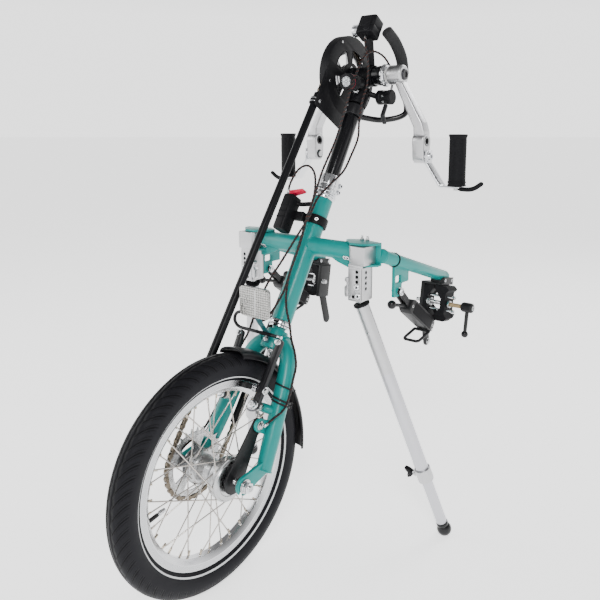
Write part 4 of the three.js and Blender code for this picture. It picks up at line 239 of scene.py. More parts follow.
def spiral_wrap(name):
    """Dark sheath with a brownish band that runs round it."""
    g = Graph(name)
    kind = {"wave_type": "BANDS", "bands_direction": "DIAGONAL"}
    band = g.node("ShaderNodeTexWave", kind, Vector=g.coord, Scale=130, Distortion=0.8).outputs["Fac"]
    show = g.ramp(band, 0.72, 0.9)
    g.set(g.shader, Base_Color=g.mix(show, (0.013, 0.012, 0.013, 1), (0.05, 0.022, 0.017, 1)))
    g.set(g.shader, Roughness=g.span(g.noise(200), 0.3, 0.5))
    g.set(g.shader, Normal=g.bump(band, 0.0002))
    return g.mat


def tread_rubber(name, colour):
    """Tyre rubber with leaning grooves over each shoulder and fine ones between them."""
    g = Graph(name, Specular_IOR_Level=0.1)
    parts = g.node("ShaderNodeSeparateXYZ", Vector=g.coord).outputs
    across = g.math("ABSOLUTE", parts["X"])
    height = g.math("SUBTRACT", parts["Z"], WHEEL_RADIUS * MM)
    turn = g.math("ARCTAN2", height, parts["Y"])
    reach = g.math("SQRT", g.math("ADD", g.math("POWER", height, 2), g.math("POWER", parts["Y"], 2)))
    side = g.math("MULTIPLY", g.math("SIGN", parts["X"]), 0.25)
    lean = g.math("MULTIPLY", across, 85)
    pitch = g.math("ADD", g.math("MULTIPLY", turn, 62 / TAU), g.math("ADD", lean, side))
    wide = g.math("PINGPONG", pitch, 0.5)
    groove = g.ramp(wide, 0.05, 0.085)
    fine = g.ramp(g.math("PINGPONG", g.math("ADD", g.math("MULTIPLY", pitch, 2), 0.5), 0.5), 0.03, 0.06)
    wave = g.math("MULTIPLY", g.math("PINGPONG", g.math("MULTIPLY", turn, 62 / TAU), 0.5), 0.004)
    centre = g.math("ABSOLUTE", g.math("SUBTRACT", g.math("ADD", across, wave), 0.0052))
    line = g.ramp(centre, 0.0004, 0.0009)
    on_crown = g.ramp(reach, 0.1855, 0.1885)
    off_centre = g.ramp(across, 0.0045, 0.0055)
    on_shoulder = g.ramp(across, 0.0115, 0.0125)
    cut = g.math("MULTIPLY", g.math("SUBTRACT", 1.0, groove), off_centre)
    cut = g.math("MAXIMUM", cut, g.math("MULTIPLY", g.math("SUBTRACT", 1.0, fine), on_shoulder))
    cut = g.math("MAXIMUM", cut, g.math("SUBTRACT", 1.0, line))
    cut = g.math("MULTIPLY", cut, on_crown)
    scuff = g.ramp(g.noise(60, 6, 0.7), 0.5, 0.75)
    worn = g.mix(g.math("MULTIPLY", scuff, 0.4), rgba(colour), rgba(colour, 1.8))
    # The grooves and the centre line are painted darker than the rubber: painted shade in the recesses.
    g.set(g.shader, Base_Color=g.mix(cut, worn, rgba(colour, 0.25)), Roughness=g.span(scuff, 0.5, 0.66))
    grain = g.bump(g.noise(900, 4), 0.00012)
    g.set(g.shader, Normal=g.bump(g.math("SUBTRACT", 1.0, cut), 0.0014, 1.0, grain))
    return g.mat


def glow(name, colour):
    """Pale lamp under its dome."""
    g = Graph(name, Coat_Weight=0.6, Coat_Roughness=0.05)
    cells = g.voronoi(900)
    g.set(g.shader, Base_Color=g.mix(cells, rgba(colour, 0.8), rgba(colour)))
    g.set(g.shader, Roughness=g.span(cells, 0.1, 0.25))
    g.set(g.shader, Normal=g.bump(cells, 0.0001))
    return g.mat


M = {
    "teal": painted("teal_powder_coat", (0.0, 0.2, 0.185), 0.36, 900, 0.00004, coat=0.14, vary=0.06),
    "black_coat": painted("black_powder_coat", (0.005, 0.005, 0.006), 0.42, 1600, 0.00008, vary=0.2,
                          wear=(0.05, 0.05, 0.05)),
    "black_alloy": painted("black_anodised", (0.007, 0.007, 0.008), 0.3, 1200, 0.00002, coat=0.03, vary=0.2,
                           wear=(0.08, 0.08, 0.09)),
    "satin": metal("satin_aluminium", (0.5, 0.5, 0.51), 0.3, 0.12, 900, 0.00003),
    "track": metal("machined_track", (0.5, 0.505, 0.52), 0.24, 0.1, 900, 0.00004),
    "chrome": metal("chrome_plate", (0.66, 0.67, 0.69), 0.07, 0.09, 500, 0.00001, vary=0.03),
    "zinc": metal("zinc_plate", (0.46, 0.465, 0.47), 0.18, 0.15, 700, 0.00003),
    "spoke": metal("stainless_wire", (0.46, 0.43, 0.4), 0.16, 0.12, 900, 0.00001),
    "chain": metal("chain_steel", (0.16, 0.135, 0.105), 0.24, 0.22, 800, 0.00004, vary=0.25),
    "hub": metal("cast_hub", (0.46, 0.465, 0.47), 0.24, 0.18, 300, 0.00005),
    "brass": metal("brass_nipple", (0.42, 0.37, 0.3), 0.2, 0.1, 700, 0.00001),
    "plastic": plastic("moulded_plastic", (0.005, 0.005, 0.006), 0.42),
    "tube": plastic("tube_plastic", (0.005, 0.005, 0.006), 0.3, 1200, 0.00002),
    "red": plastic("red_plastic", (0.62, 0.015, 0.06), 0.28, 1200, 0.00001, 0.08),
    "white": plastic("white_bearing", (0.74, 0.74, 0.73), 0.34),
    "tyre": tread_rubber("tyre_rubber", (0.008, 0.008, 0.01)),
    "rim": metal("polished_rim", (0.56, 0.565, 0.58), 0.16, 0.1, 500, 0.00002, vary=0.04),
    "guard": plastic("mudguard_plastic", (0.006, 0.006, 0.007), 0.3, 1200, 0.00002),
    "teal_dark": painted("teal_strip", (0.0, 0.08, 0.09), 0.36, 900, 0.00004, coat=0.3),
    "black_gloss": painted("black_gloss", (0.004, 0.004, 0.005), 0.16, 1200, 0.00001, coat=0.12, vary=0.2),
    "tube_alloy": metal("anodised_tube", (0.52, 0.52, 0.55), 0.3, 0.1, 900, 0.00002, vary=0.03),
    "brass_thread": metal("brass_thread", (0.24, 0.18, 0.1), 0.26, 0.14, 700, 0.00002),
    "prism_bar": plastic("reflector_divider", (0.5, 0.5, 0.5), 0.25, 900, 0.00002),
    "wrap": plastic("spiral_wrap", (0.06, 0.022, 0.016), 0.34, 900, 0.00002),
    "led": glow("lamp_dome", (0.8, 0.82, 0.8)),
    "grip": rubber("grip_rubber", (0.006, 0.006, 0.007), 0.55, 1500, 0.00008),
    "pad": rubber("jaw_rubber", (0.008, 0.008, 0.009), 0.6, 700, 0.0001),
    "foam": foam("foam_sleeve", (0.006, 0.006, 0.007)),
    "stripe": plastic("reflective_stripe", (0.62, 0.63, 0.64), 0.3, 2500, 0.00004, 0.06),
    "prism": prism("prismatic_face"),
    "lens": clear("lamp_lens", (0.95, 0.97, 1.0)),
    "cable": spiral_wrap("wrapped_cable"),
    "sheath": plastic("cable_sheath", (0.012, 0.012, 0.013), 0.3, 900, 0.00002),
}


# Shapes
class Piece:
    """Collects closed forms, in mm and world places, into one object."""

    def __init__(self, name, body, *stands_for, slot=None):
        self.name, self.body, self.stands_for, self.slot = name, body, stands_for, slot
        self.bm = bmesh.new()
        self.mats = []

    def mat(self, key):
        if key not in self.mats:
            self.mats.append(key)
        return self.mats.index(key)

    def faces(self, points, faces, key):
        verts = [self.bm.verts.new(p) for p in points]
        index = self.mat(key)
        for f in faces:
            try:
                made = self.bm.faces.new([verts[i] for i in f])
            except ValueError:
                continue
            made.material_index = index
            made.smooth = True

    def mesh(self, mesh, key, at=WORLD):
        count = len(self.bm.faces)
        first = len(self.bm.verts)
        self.bm.from_mesh(mesh)
        self.bm.verts.ensure_lookup_table()
        self.bm.faces.ensure_lookup_table()
        for v in self.bm.verts[first:]:
            v.co = at @ v.co
        index = self.mat(key)
        flip = at.determinant() < 0
        for f in self.bm.faces[count:]:
            f.material_index = index
            f.smooth = True
            if flip:
                f.normal_flip()

    def grid(self, rows, key, closed=False):
        """Skin over rings of equal count; closed joins the last ring to the first."""
        n = len(rows[0])
        points = [p for row in rows for p in row]
        faces = []
        count = len(rows)
        for k in range(count if closed else count - 1):
            a, b = k * n, (k + 1) % count * n
            for i in range(n):
                j = (i + 1) % n
                faces.append((a + i, a + j, b + j, b + i))
        if not closed:
            faces.append(tuple(reversed(range(n))))
            faces.append(tuple(range((count - 1) * n, count * n)))
        self.faces(points, faces, key)

    def lathe(self, profile, key, at=WORLD, n=64, round_by=0.0):
        """Closed profile of (place along X, radius), turned about X; radius 0 ends on the axis."""
        solid_ends = profile[0][1] == 0 and profile[-1][1] == 0
        if round_by:
            profile = fillet(profile, round_by, closed=not solid_ends)
        body = profile[1:-1] if solid_ends else profile
        around = [(math.cos(TAU * i / n), math.sin(TAU * i / n)) for i in range(n)]
        rows = [[at @ Vector((x, r * c, r * s)) for c, s in around] for x, r in body]
        if at.determinant() < 0:
            rows = [list(reversed(row)) for row in rows]
        if solid_ends:
            first, last = at @ Vector((profile[0][0], 0, 0)), at @ Vector((profile[-1][0], 0, 0))
            points = [p for row in rows for p in row] + [first, last]
            faces = []
            for k in range(len(rows) - 1):
                for i in range(n):
                    j = (i + 1) % n
                    faces.append((k * n + i, k * n + j, (k + 1) * n + j, (k + 1) * n + i))
            end = len(points)
            for i in range(n):
                j = (i + 1) % n
                faces.append((end - 2, j, i))
                faces.append((end - 1, (len(rows) - 1) * n + i, (len(rows) - 1) * n + j))
            self.faces(points, faces, key)
        else:
            self.grid(rows, key, closed=True)

    def bar(self, a, b, r, key, at=WORLD, n=32, end=None, edge=0.6):
        """Round bar from a to b with softened ends."""
        a, b = Vector(a), Vector(b)
        length = (b - a).length
        end = r if end is None else end
        e = min(edge, length / 3, r / 2, end / 2)
        first = [(0, 0), (0, r - e), (e * 0.3, r - e * 0.3), (e, r)]
        last = [(length - e, end), (length - e * 0.3, end - e * 0.3), (length, end - e), (length, 0)]
        side = Z if abs((b - a).normalized().z) < 0.9 else Y
        self.lathe(first + last, key, at @ basis(a, b - a, side), n)

    def pipe(self, a, b, outer, inner, key, at=WORLD, n=48, edge=0.5):
        a, b = Vector(a), Vector(b)
        length = (b - a).length
        side = Z if abs((b - a).normalized().z) < 0.9 else Y
        ring = [(0, inner), (0, outer), (length, outer), (length, inner)]
        self.lathe(ring, key, at @ basis(a, b - a, side), n, edge)

    def ball(self, c, r, key, at=WORLD, n=32, squash=1.0):
        steps = n // 2
        turns = [math.pi * k / steps for k in range(steps + 1)]
        profile = [(-r * squash * math.cos(a), r * math.sin(a)) for a in turns]
        profile[0], profile[-1] = (-r * squash, 0), (r * squash, 0)
        self.lathe(profile, key, at @ Matrix.Translation(Vector(c)), n)

    def sweep(self, points, radius, key, at=WORLD, n=16, steps=None, closed=False):
        """Tube along a smooth curve; radius may be one number or one for each point."""
        path, radii = smooth_path([Vector(p) for p in points], radius, steps, closed)
        frames = carry(path, closed)
        around = [(math.cos(TAU * i / n), math.sin(TAU * i / n)) for i in range(n)]
        rows = []
        for p, (u, w), r in zip(path, frames, radii):
            rows.append([at @ (p + u * (r * c) + w * (r * s)) for c, s in around])
        if at.determinant() > 0:
            rows = [list(reversed(row)) for row in rows]
        self.grid(rows, key, closed)

    def plate(self, outline, thickness, key, at=WORLD, holes=(), edge=0.5):
        """Flat plate with holes and softened edges, centred on its plane."""
        mesh = plate_mesh(outline, holes, thickness, edge)
        self.mesh(mesh, key, at)
        bpy.data.meshes.remove(mesh)

    def box(self, low, high, key, at=WORLD, edge=1.0, segments=3):
        bm = bmesh.new()
        low, high = Vector(low), Vector(high)
        low, high = Vector(map(min, low, high)), Vector(map(max, low, high))
        bmesh.ops.create_cube(bm, size=1)
        size = high - low
        for v in bm.verts:
            v.co = Vector((v.co.x * size.x, v.co.y * size.y, v.co.z * size.z)) + (low + high) / 2
        e = min(edge, min(size) * 0.45)
        if e > 0.01:
            bmesh.ops.bevel(bm, geom=bm.edges[:], offset=e, segments=segments, profile=0.5, affect="EDGES")
        mesh = bpy.data.meshes.new("box")
        bm.to_mesh(mesh)
        bm.free()
        self.mesh(mesh, key, at)
        bpy.data.meshes.remove(mesh)

    def nut(self, a, axis, radius, length, key, at=WORLD, edge=0.5):
        """Six-sided head or nut with turned faces, from a along axis."""
        axis = Vector(axis).normalized()
        side = Z if abs(axis.z) < 0.9 else Y
        place = at @ basis(Vector(a) + axis * (length / 2), *_across(axis, side))
        points = [(radius * math.cos(TAU * i / 6), radius * math.sin(TAU * i / 6)) for i in range(6)]
        self.plate(points, length, key, place, edge=edge)

    def done(self, angle=35):
        bmesh.ops.remove_doubles(self.bm, verts=self.bm.verts, dist=1e-5)
        bmesh.ops.recalc_face_normals(self.bm, faces=self.bm.faces)
        for v in self.bm.verts:
            v.co *= MM
        mesh = bpy.data.meshes.new(self.name)
        self.bm.to_mesh(mesh)
        self.bm.free()
        mesh.set_sharp_from_angle(angle=math.radians(angle))
        for key in self.mats:
            mesh.materials.append(M[key])
        obj = bpy.data.objects.new(self.name, mesh)
        bpy.context.scene.collection.objects.link(obj)
        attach(obj, self.body)
        if self.stands_for:
            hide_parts(*self.stands_for)
        return obj


def _facing(axis):
    """An axis and a direction square to it, as basis takes them."""
    return axis, axis.orthogonal().normalized()


def _across(axis, side):
    """Two directions that span the plane square to axis."""
    u = side.cross(axis).normalized()
    return u, axis.cross(u)


def fillet(points, radius, steps=4, closed=True):
    """Rounds the corners of an outline; an open one keeps its ends."""
    made = []
    n = len(points)
    for i in range(n):
        p = Vector(points[i]).to_2d()
        if not closed and i in (0, n - 1):
            made.append(tuple(p))
            continue
        a, b = Vector(points[i - 1]).to_2d() - p, Vector(points[(i + 1) % n]).to_2d() - p
        if a.length < 1e-6 or b.length < 1e-6:
            made.append(tuple(p))
            continue
        turn = a.angle(b)
        if turn > math.radians(172):
            made.append(tuple(p))
            continue
        cut = min(radius / math.tan(turn / 2), a.length * 0.45, b.length * 0.45)
        start, end = p + a.normalized() * cut, p + b.normalized() * cut
        for k in range(steps + 1):
            t = k / steps
            made.append(tuple(start * (1 - t) ** 2 + p * (2 * t * (1 - t)) + end * t ** 2))
    return made


def smooth_path(points, radius, steps, closed):
    """Catmull-Rom curve through the points, with its radius at each step."""
    n = len(points)
    radii = list(radius) if isinstance(radius, (list, tuple)) else [radius] * n
    steps = steps or 8
    path, out = [], []
    spans = n if closed else n - 1
    for i in range(spans):
        get = (lambda k: points[k % n]) if closed else (lambda k: points[max(0, min(n - 1, k))])
        p0, p1, p2, p3 = get(i - 1), get(i), get(i + 1), get(i + 2)
        if not closed and i == 0:
            p0 = p1 * 2 - p2
        if not closed and i == spans - 1:
            p3 = p2 * 2 - p1
        for k in range(steps):
            t = k / steps
            place = 2 * p1 + (p2 - p0) * t + (2 * p0 - 5 * p1 + 4 * p2 - p3) * t ** 2
            path.append(0.5 * (place + (3 * p1 - p0 - 3 * p2 + p3) * t ** 3))
            out.append(radii[i] * (1 - t) + radii[(i + 1) % n] * t)
    if not closed:
        path.append(points[-1].copy())
        out.append(radii[-1])
    return path, out


def carry(path, closed=False):
    """Two directions square to the path at each point, carried along without twist."""
    n = len(path)
    tangents = []
    for i in range(n):
        if closed:
            t = path[(i + 1) % n] - path[i - 1]
        else:
            t = path[min(n - 1, i + 1)] - path[max(0, i - 1)]
        tangents.append(t.normalized())
    u = tangents[0].orthogonal().normalized()
    frames = []
    for t in tangents:
        u = (u - t * u.dot(t)).normalized()
        frames.append((u, t.cross(u)))
    return frames


def plate_mesh(outline, holes, thickness, edge):
    """Mesh of a flat plate whose edges are rounded inwards."""
    curve = bpy.data.curves.new("plate", "CURVE")
    curve.dimensions = "2D"
    curve.fill_mode = "BOTH"
    edge = min(edge, thickness * 0.45)
    curve.extrude = thickness / 2 - edge
    curve.bevel_depth = edge
    curve.bevel_resolution = 2
    curve.offset = -edge
    for loop in [outline, *holes]:
        spline = curve.splines.new("POLY")
        spline.points.add(len(loop) - 1)
        for point, (x, y) in zip(spline.points, loop):
            point.co = (x, y, 0, 1)
        spline.use_cyclic_u = True
    obj = bpy.data.objects.new("plate", curve)
    bpy.context.scene.collection.objects.link(obj)
    bpy.context.view_layer.update()
    mesh = bpy.data.meshes.new_from_object(obj.evaluated_get(bpy.context.evaluated_depsgraph_get()))
    bpy.data.objects.remove(obj)
    bpy.data.curves.remove(curve)
    bm = bmesh.new()
    bm.from_mesh(mesh)
    bmesh.ops.remove_doubles(bm, verts=bm.verts, dist=1e-4)
    bmesh.ops.recalc_face_normals(bm, faces=bm.faces)
    bm.to_mesh(mesh)
    bm.free()
    return mesh


def circle(r, n=32, cx=0.0, cy=0.0):
    """Outline of a circle."""
    return [(cx + r * math.cos(TAU * i / n), cy + r * math.sin(TAU * i / n)) for i in range(n)]


def rounded(w, h, r, n=8):
    """Outline of a rectangle with round corners."""
    return fillet([(-w / 2, -h / 2), (w / 2, -h / 2), (w / 2, h / 2), (-w / 2, h / 2)], r, n)


def link(p, r1, q, r2, n=16):
    """Outline round two circles."""
    p, q = Vector(p), Vector(q)
    heading = math.atan2(q.y - p.y, q.x - p.x)
    lean = math.acos((r1 - r2) / (q - p).length)
    points = []
    for i in range(n + 1):
        a = heading + lean + (TAU - 2 * lean) * i / n
        points.append((p.x + r1 * math.cos(a), p.y + r1 * math.sin(a)))
    for i in range(n + 1):
        a = heading - lean + 2 * lean * i / n
        points.append((q.x + r2 * math.cos(a), q.y + r2 * math.sin(a)))
    return points


# Small shared parts
def socket_bolt(p, at, a, axis, radius, height, key="chrome"):
    """Round head with a recess for a hexagon key, standing on a along axis."""
    axis = Vector(axis).normalized()
    place = at @ basis(Vector(a), *_facing(axis))
    rim = radius * 0.12
    recess = radius * 0.52
    p.lathe([
        (0, 0), (0, radius), (height - rim, radius), (height, radius - rim), (height, recess),
        (height * 0.35, recess), (height * 0.35, 0),
    ], key, place, 24)
    # The black hexagon at the recess floor is painted shade standing in for the deep key socket.
    low, high, socket = height * 0.3, height * 0.4, recess * 0.9
    p.lathe([(low, 0), (low, socket), (high, socket), (high, 0)], "black_coat", place, 6)


def hex_bolt(p, at, a, axis, radius, height, key="zinc"):
    """Six-sided head over a washer."""
    axis = Vector(axis).normalized()
    a = Vector(a)
    thick = min(1.2, height * 0.3)
    p.bar(a, a + axis * thick, radius * 1.25, key, at, 28, edge=0.3)
    p.nut(a + axis * thick, axis, radius, height - thick, key, at, edge=radius * 0.12)


def thread(p, at, a, b, radius, key, pitch=1.2):
    """Threaded rod drawn with closed rings."""
    a, b = Vector(a), Vector(b)
    length = (b - a).length
    count = max(2, round(length / pitch))
    step = length / count
    depth = min(0.45, radius * 0.14)
    profile = [(0, 0), (0, radius - depth)]
    for k in range(count):
        profile += [((k + share) * step, r) for share,
                    r in ((0.25, radius - depth), (0.5, radius), (0.75, radius))]
    profile += [(length, radius - depth), (length, 0)]
    p.lathe(profile, key, at @ basis(a, *_facing((b - a).normalized())), 20)


def tie(p, at, centre, axis, radius, key="sheath", width=3.2):
    """Plastic strap drawn tight, with its square lock and cut end."""
    axis = Vector(axis).normalized()
    c = Vector(centre)
    p.pipe(c - axis * width / 2, c + axis * width / 2, radius + 1.1, radius - 0.2, key, at, 40, 0.3)
    side = axis.orthogonal().normalized()
    place = at @ basis(c + side * (radius + 1.6), axis, side)
    p.box((-width * 0.8, -1.6, -2.4), (width * 0.8, 2.2, 2.4), key, place, 0.5, 2)


def weld(p, at, ring, key="teal", radius=1.5):
    """Rippled bead along a closed ring of places."""
    radii = [radius * (1 + 0.14 * (k % 2)) for k in range(len(ring))]
    p.sweep(ring, radii, key, at, 8, 2, closed=True)


def ring_at(centre, axis, radius, count=40):
    """Places on a circle about an axis."""
    axis, u = _facing(Vector(axis).normalized())
    w = axis.cross(u)
    c = Vector(centre)
    turns = [TAU * k / count for k in range(count)]
    return [c + (u * math.cos(a) + w * math.sin(a)) * radius for a in turns]


# Wheel
TYRE = Sizes(half=22.4, middle=180.5, reach=22.5, turn=150, step=5, bead=10, foot=153, stripe=(130, 138))
RIM = Sizes(edge=158.5, half=12.45, lip=1.6, well=151.5, track=147, floor_half=6.5, floor=139)
SPOKES = 36
SPOKE_SPREAD = 2
VALVE_TURN = 0.61


def tyre():
    """Casing with its treaded crown, and a pale ring on each wall."""
    p = Piece("tyre_casing", "wheel", "tyre", slot="tyre")

    def wall(degrees, out=0.0):
        a = math.radians(degrees)
        side = math.copysign(abs(math.sin(a)) ** 0.85, a)
        return (TYRE.half + out) * side, TYRE.middle + (TYRE.reach + out) * math.cos(a)

    crown = [wall(k) for k in range(-TYRE.turn, TYRE.turn + 1, TYRE.step)]
    p.lathe([*crown, (TYRE.bead, TYRE.foot), (-TYRE.bead, TYRE.foot)], "tyre", WHEEL, 180)
    low, high = TYRE.stripe
    for side in (-1, 1):
        outer = [wall(side * k, 0.15) for k in range(low, high + 1, 2)]
        p.lathe([*outer, wall(side * high, -0.5), wall(side * low, -0.5)], "stripe", WHEEL, 180)
        ridge = [wall(side * 148, 0.1), wall(side * 146, 0.7), wall(side * 144, 0.1), wall(side * 146, -1)]
        p.lathe(ridge, "tyre", WHEEL, 180)
    p.done(60)


def rim():
    """Rim extrusion with its brake tracks, eyelets, nipples and valve."""
    p = Piece("rim_extrusion", "wheel", "rim", slot="satin_aluminium")
    inner = RIM.half - RIM.lip
    right = [(RIM.half, RIM.track), (RIM.half, RIM.edge), (inner, RIM.edge), (inner, RIM.well)]
    left = [(-x, r) for x, r in reversed(right)]
    floor = [(-RIM.floor_half, RIM.floor), (RIM.floor_half, RIM.floor)]
    p.lathe([*right, *left, *floor], "rim", WHEEL, 144, 0.9)
    for side in (-1, 1):
        face = side * (RIM.half - 0.2)
        out = side * (RIM.half + 0.05)
        p.lathe([(face, 157.2), (out, 157), (out, 148.6), (face, 148.4)], "track", WHEEL, 144)
    for k in range(SPOKES):
        a = TAU * (k + 0.5) / SPOKES
        out = radial(a)
        x = SPOKE_SPREAD if k % 2 == 0 else -SPOKE_SPREAD
        foot = Vector((x, 0, 0)) + out * (RIM.floor + 0.8)
        p.bar(foot, foot - out * 1.8, 3.1, "chrome", WHEEL, 16, 2.6, 0.4)
        p.bar(foot, foot - out * 11, 2.1, "brass", WHEEL, 10, 1.6, 0.3)
    a = TAU * VALVE_TURN
    out = radial(a)
    p.bar(out * 149, out * 119, 3.6, "black_coat", WHEEL, 24, 3.2)
    thread(p, WHEEL, out * 121, out * 112, 2.9, "chrome", 1)
    p.bar(out * 117, out * 105, 3.9, "chrome", WHEEL, 24, 3.2, 0.8)
    p.bar(out * 140, out * 137.5, 5, "chrome", WHEEL, 6, 4.6, 0.4)
    p.done()


def hub():
    """Cast hub with its drum, both spoke rings and every spoke."""
    p = Piece("hub_casting", "wheel", "hub_shell", slot="satin_aluminium")
    p.lathe([
        (-38, 5.1), (-38, 17), (-35, 17), (-35, 30), (-34, 31), (-28, 31), (-27, 29), (-25, 23), (-21, 21),
        (-6, 21), (-5, 21.6), (-2, 21.6), (-1, 21), (7, 21), (12, 24.5), (19, 32), (22, 34), (31, 34),
        (32, 37), (40, 37), (41, 34.6), (43, 33.4), (43, 27), (41.5, 26), (41.5, 12), (43, 11), (43, 5.1),
    ], "hub", WHEEL, 96, 0.7)
    for k in range(3):
        x = 23.5 + 2.6 * k
        p.lathe([(x, 33), (x + 0.3, 34.6), (x + 1.3, 34.6), (x + 1.6, 33)], "hub", WHEEL, 96)
    p.bar((8, 0, 0), (11, 0, 0), 5, "black_coat", WHEEL @ Matrix.Translation((0, 0, 18)), 16)
    per_side = SPOKES // 2
    for k in range(SPOKES):
        left = k % 2 == 0
        way = 1 if (k // 2) % 2 == 0 else -1
        x = 36 if left else -31
        seat = 33 if left else 27
        rim_turn = TAU * (k + 0.5) / SPOKES
        hub_turn = rim_turn + way * 3 * TAU / per_side
        inner = Vector((x + way * 3.4, seat * math.cos(hub_turn), seat * math.sin(hub_turn)))
        side = SPOKE_SPREAD if left else -SPOKE_SPREAD
        outer = Vector((side, 138 * math.cos(rim_turn), 138 * math.sin(rim_turn)))
        p.bar(inner, outer, 1.15, "spoke", WHEEL, 10, edge=0.2)
        hole = Vector((x, inner.y, inner.z))
        p.bar(inner, hole - X * way * 3.9, 1.3, "spoke", WHEEL, 10, edge=0.2)
        p.ball(inner, 1.5, "spoke", WHEEL, 12)
        p.ball(hole - X * way * 4.2, 2.2, "spoke", WHEEL, 14, 0.5)
    p.done()


def axle():
    """Threaded axle with washers, nuts and lock nuts."""
    p = Piece("axle_and_nuts", "steered", "hub_axle", slot="steel")
    thread(p, WHEEL, (-88.2, 0, 0), (88.2, 0, 0), 4.7, "zinc", 1.3)
    for s in (-1, 1):
        at = WHEEL @ mirror(s)
        p.pipe((73.3, 0, 0), (75.3, 0, 0), 11.9, 4.8, "zinc", at, 40, 0.4)
        p.nut((75.3, 0, 0), X, 9.4, 8.8, "chrome", at, 1.0)
        p.pipe((75.3, 0, 0), (77, 0, 0), 9.6, 5, "chrome", at, 40, 0.4)
        p.nut((60.7, 0, 0), X, 11.8, 5.8, "zinc", at, 0.8)
        p.ball((84, 0, 0), 5.6, "chrome", at, 24, 0.5)
    p.done()


def toothed_outline(turn):
    """Outline of a toothed ring whose valleys hold the chain's rollers; one valley points along turn."""
    points = []
    step = TAU / TEETH
    root = PITCH_RADIUS - 4.2
    for k in range(TEETH):
        a = turn + k * step
        for share, r in ((-0.25, root + 1.2), (-0.13, root), (0.13, root), (0.25, root + 1.2),
                         (0.4, PITCH_RADIUS + 1.6), (0.47, PITCH_RADIUS + 3.1), (0.53, PITCH_RADIUS + 3.1),
                         (0.6, PITCH_RADIUS + 1.6)):
            points.append((r * math.cos(a + share * step), r * math.sin(a + share * step)))
    return points


def window(k, count, inner, outer, share, round_by=4.0):
    """Curved opening between two radii, with rounded corners."""
    step = TAU / count
    half = step * share / 2
    turns = [k * step - half + 2 * half * i / 8 for i in range(9)]
    points = [(outer * math.cos(a), outer * math.sin(a)) for a in turns]
    points += [(inner * math.cos(a), inner * math.sin(a)) for a in reversed(turns)]
    return fillet(points, round_by)


CHAIN_X = -49
RUN = Vector((0, FORK_OFFSET, CRANK_ALONG)).normalized()
FRONT = Vector((0, -RUN.z, RUN.y))
VALLEY = math.atan2(FRONT.z, FRONT.y)


def sprocket():
    """Toothed ring on the hub, with its collar."""
    p = Piece("sprocket_disc", "sprocket", "sprocket", slot="steel")
    place = WHEEL @ basis((CHAIN_X, 0, 0), Y, Z)
    slots = [window(k, 5, 27, 47, 0.56) for k in range(5)]
    p.plate(toothed_outline(VALLEY), 2.7, "zinc", place, [*slots, circle(5.1, 32)], 0.5)
    p.lathe([(-58, 5.1), (-58, 18), (-56, 20), (-52, 20), (-50.4, 21), (-47.6, 21), (-46, 17), (-38.3, 17),
             (-38.3, 5.1)], "zinc", WHEEL, 64, 0.6)
    p.lathe([(-57.8, 8), (-58, 15), (-57.2, 15), (-57.2, 8)], "black_coat", WHEEL, 48)
    p.done()


def link_mesh(half_reach, radius, waist, thickness):
    """Figure-of-eight plate of a chain link."""
    points = []
    for side in (1, -1):
        for k in range(9):
            a = math.radians(-110 + 220 * k / 8)
            points.append((side * (half_reach + radius * math.cos(a)), side * radius * math.sin(a)))
        points.append((0, side * waist))
    return plate_mesh(points, [], thickness, 0.3)


def chain():
    """Roller chain all round its loop, with inner and outer links in turn."""
    p = Piece("roller_chain", "steered", "chain", slot="steel")
    crank = Vector((0, 0, CRANK_ALONG))
    wheel = Vector((0, -FORK_OFFSET, 0))
    pins = []
    for k in range(SPANS):
        pins.append(wheel + FRONT * PITCH_RADIUS + RUN * (PITCH * k))
    for k in range(TEETH // 2):
        a = VALLEY - k * TAU / TEETH
        pins.append(crank + radial(a) * PITCH_RADIUS)
    for k in range(SPANS):
        pins.append(crank - FRONT * PITCH_RADIUS - RUN * (PITCH * k))
    for k in range(TEETH // 2):
        a = VALLEY + math.pi - k * TAU / TEETH
        pins.append(wheel + radial(a) * PITCH_RADIUS)
    narrow = link_mesh(PITCH / 2, 4.0, 2.7, 0.85)
    for k, pin in enumerate(pins):
        after = pins[(k + 1) % len(pins)]
        ahead = (after - pin).normalized()
        middle = (pin + after) / 2
        x = 1.95 if k % 2 else 2.75
        for side in (-1, 1):
            place = HEAD @ basis(middle + Vector((CHAIN_X + side * x, 0, 0)), ahead, X.cross(ahead))
            p.mesh(narrow, "chain", place)
        across = Vector((CHAIN_X, 0, 0))
        p.bar(pin + across - X * 3.05, pin + across + X * 3.05, 1.7, "chain", HEAD, 10, edge=0.2)
        p.bar(pin + across - X * 1.5, pin + across + X * 1.5, 3.8, "chain", HEAD, 16, edge=0.3)
    bpy.data.meshes.remove(narrow)
    p.done()


# Fork and what it carries
CROWN_LOW, CROWN_TOP = 225.994, 261.994
STEERER_TOP = 641.994
STRAP_EYE = (-32, 96)


def leg_points(s):
    return [
        (0, 0, CROWN_TOP - 15), (s * 22.5, 0, CROWN_TOP - 22.5), (s * 40, 0, 221), (s * 49.5, 0, 190),
        (s * 54.2, 0, 160), (s * 58, 0, 130), (s * 64, 0, 76), (s * 69.2, 0, 29),
    ]


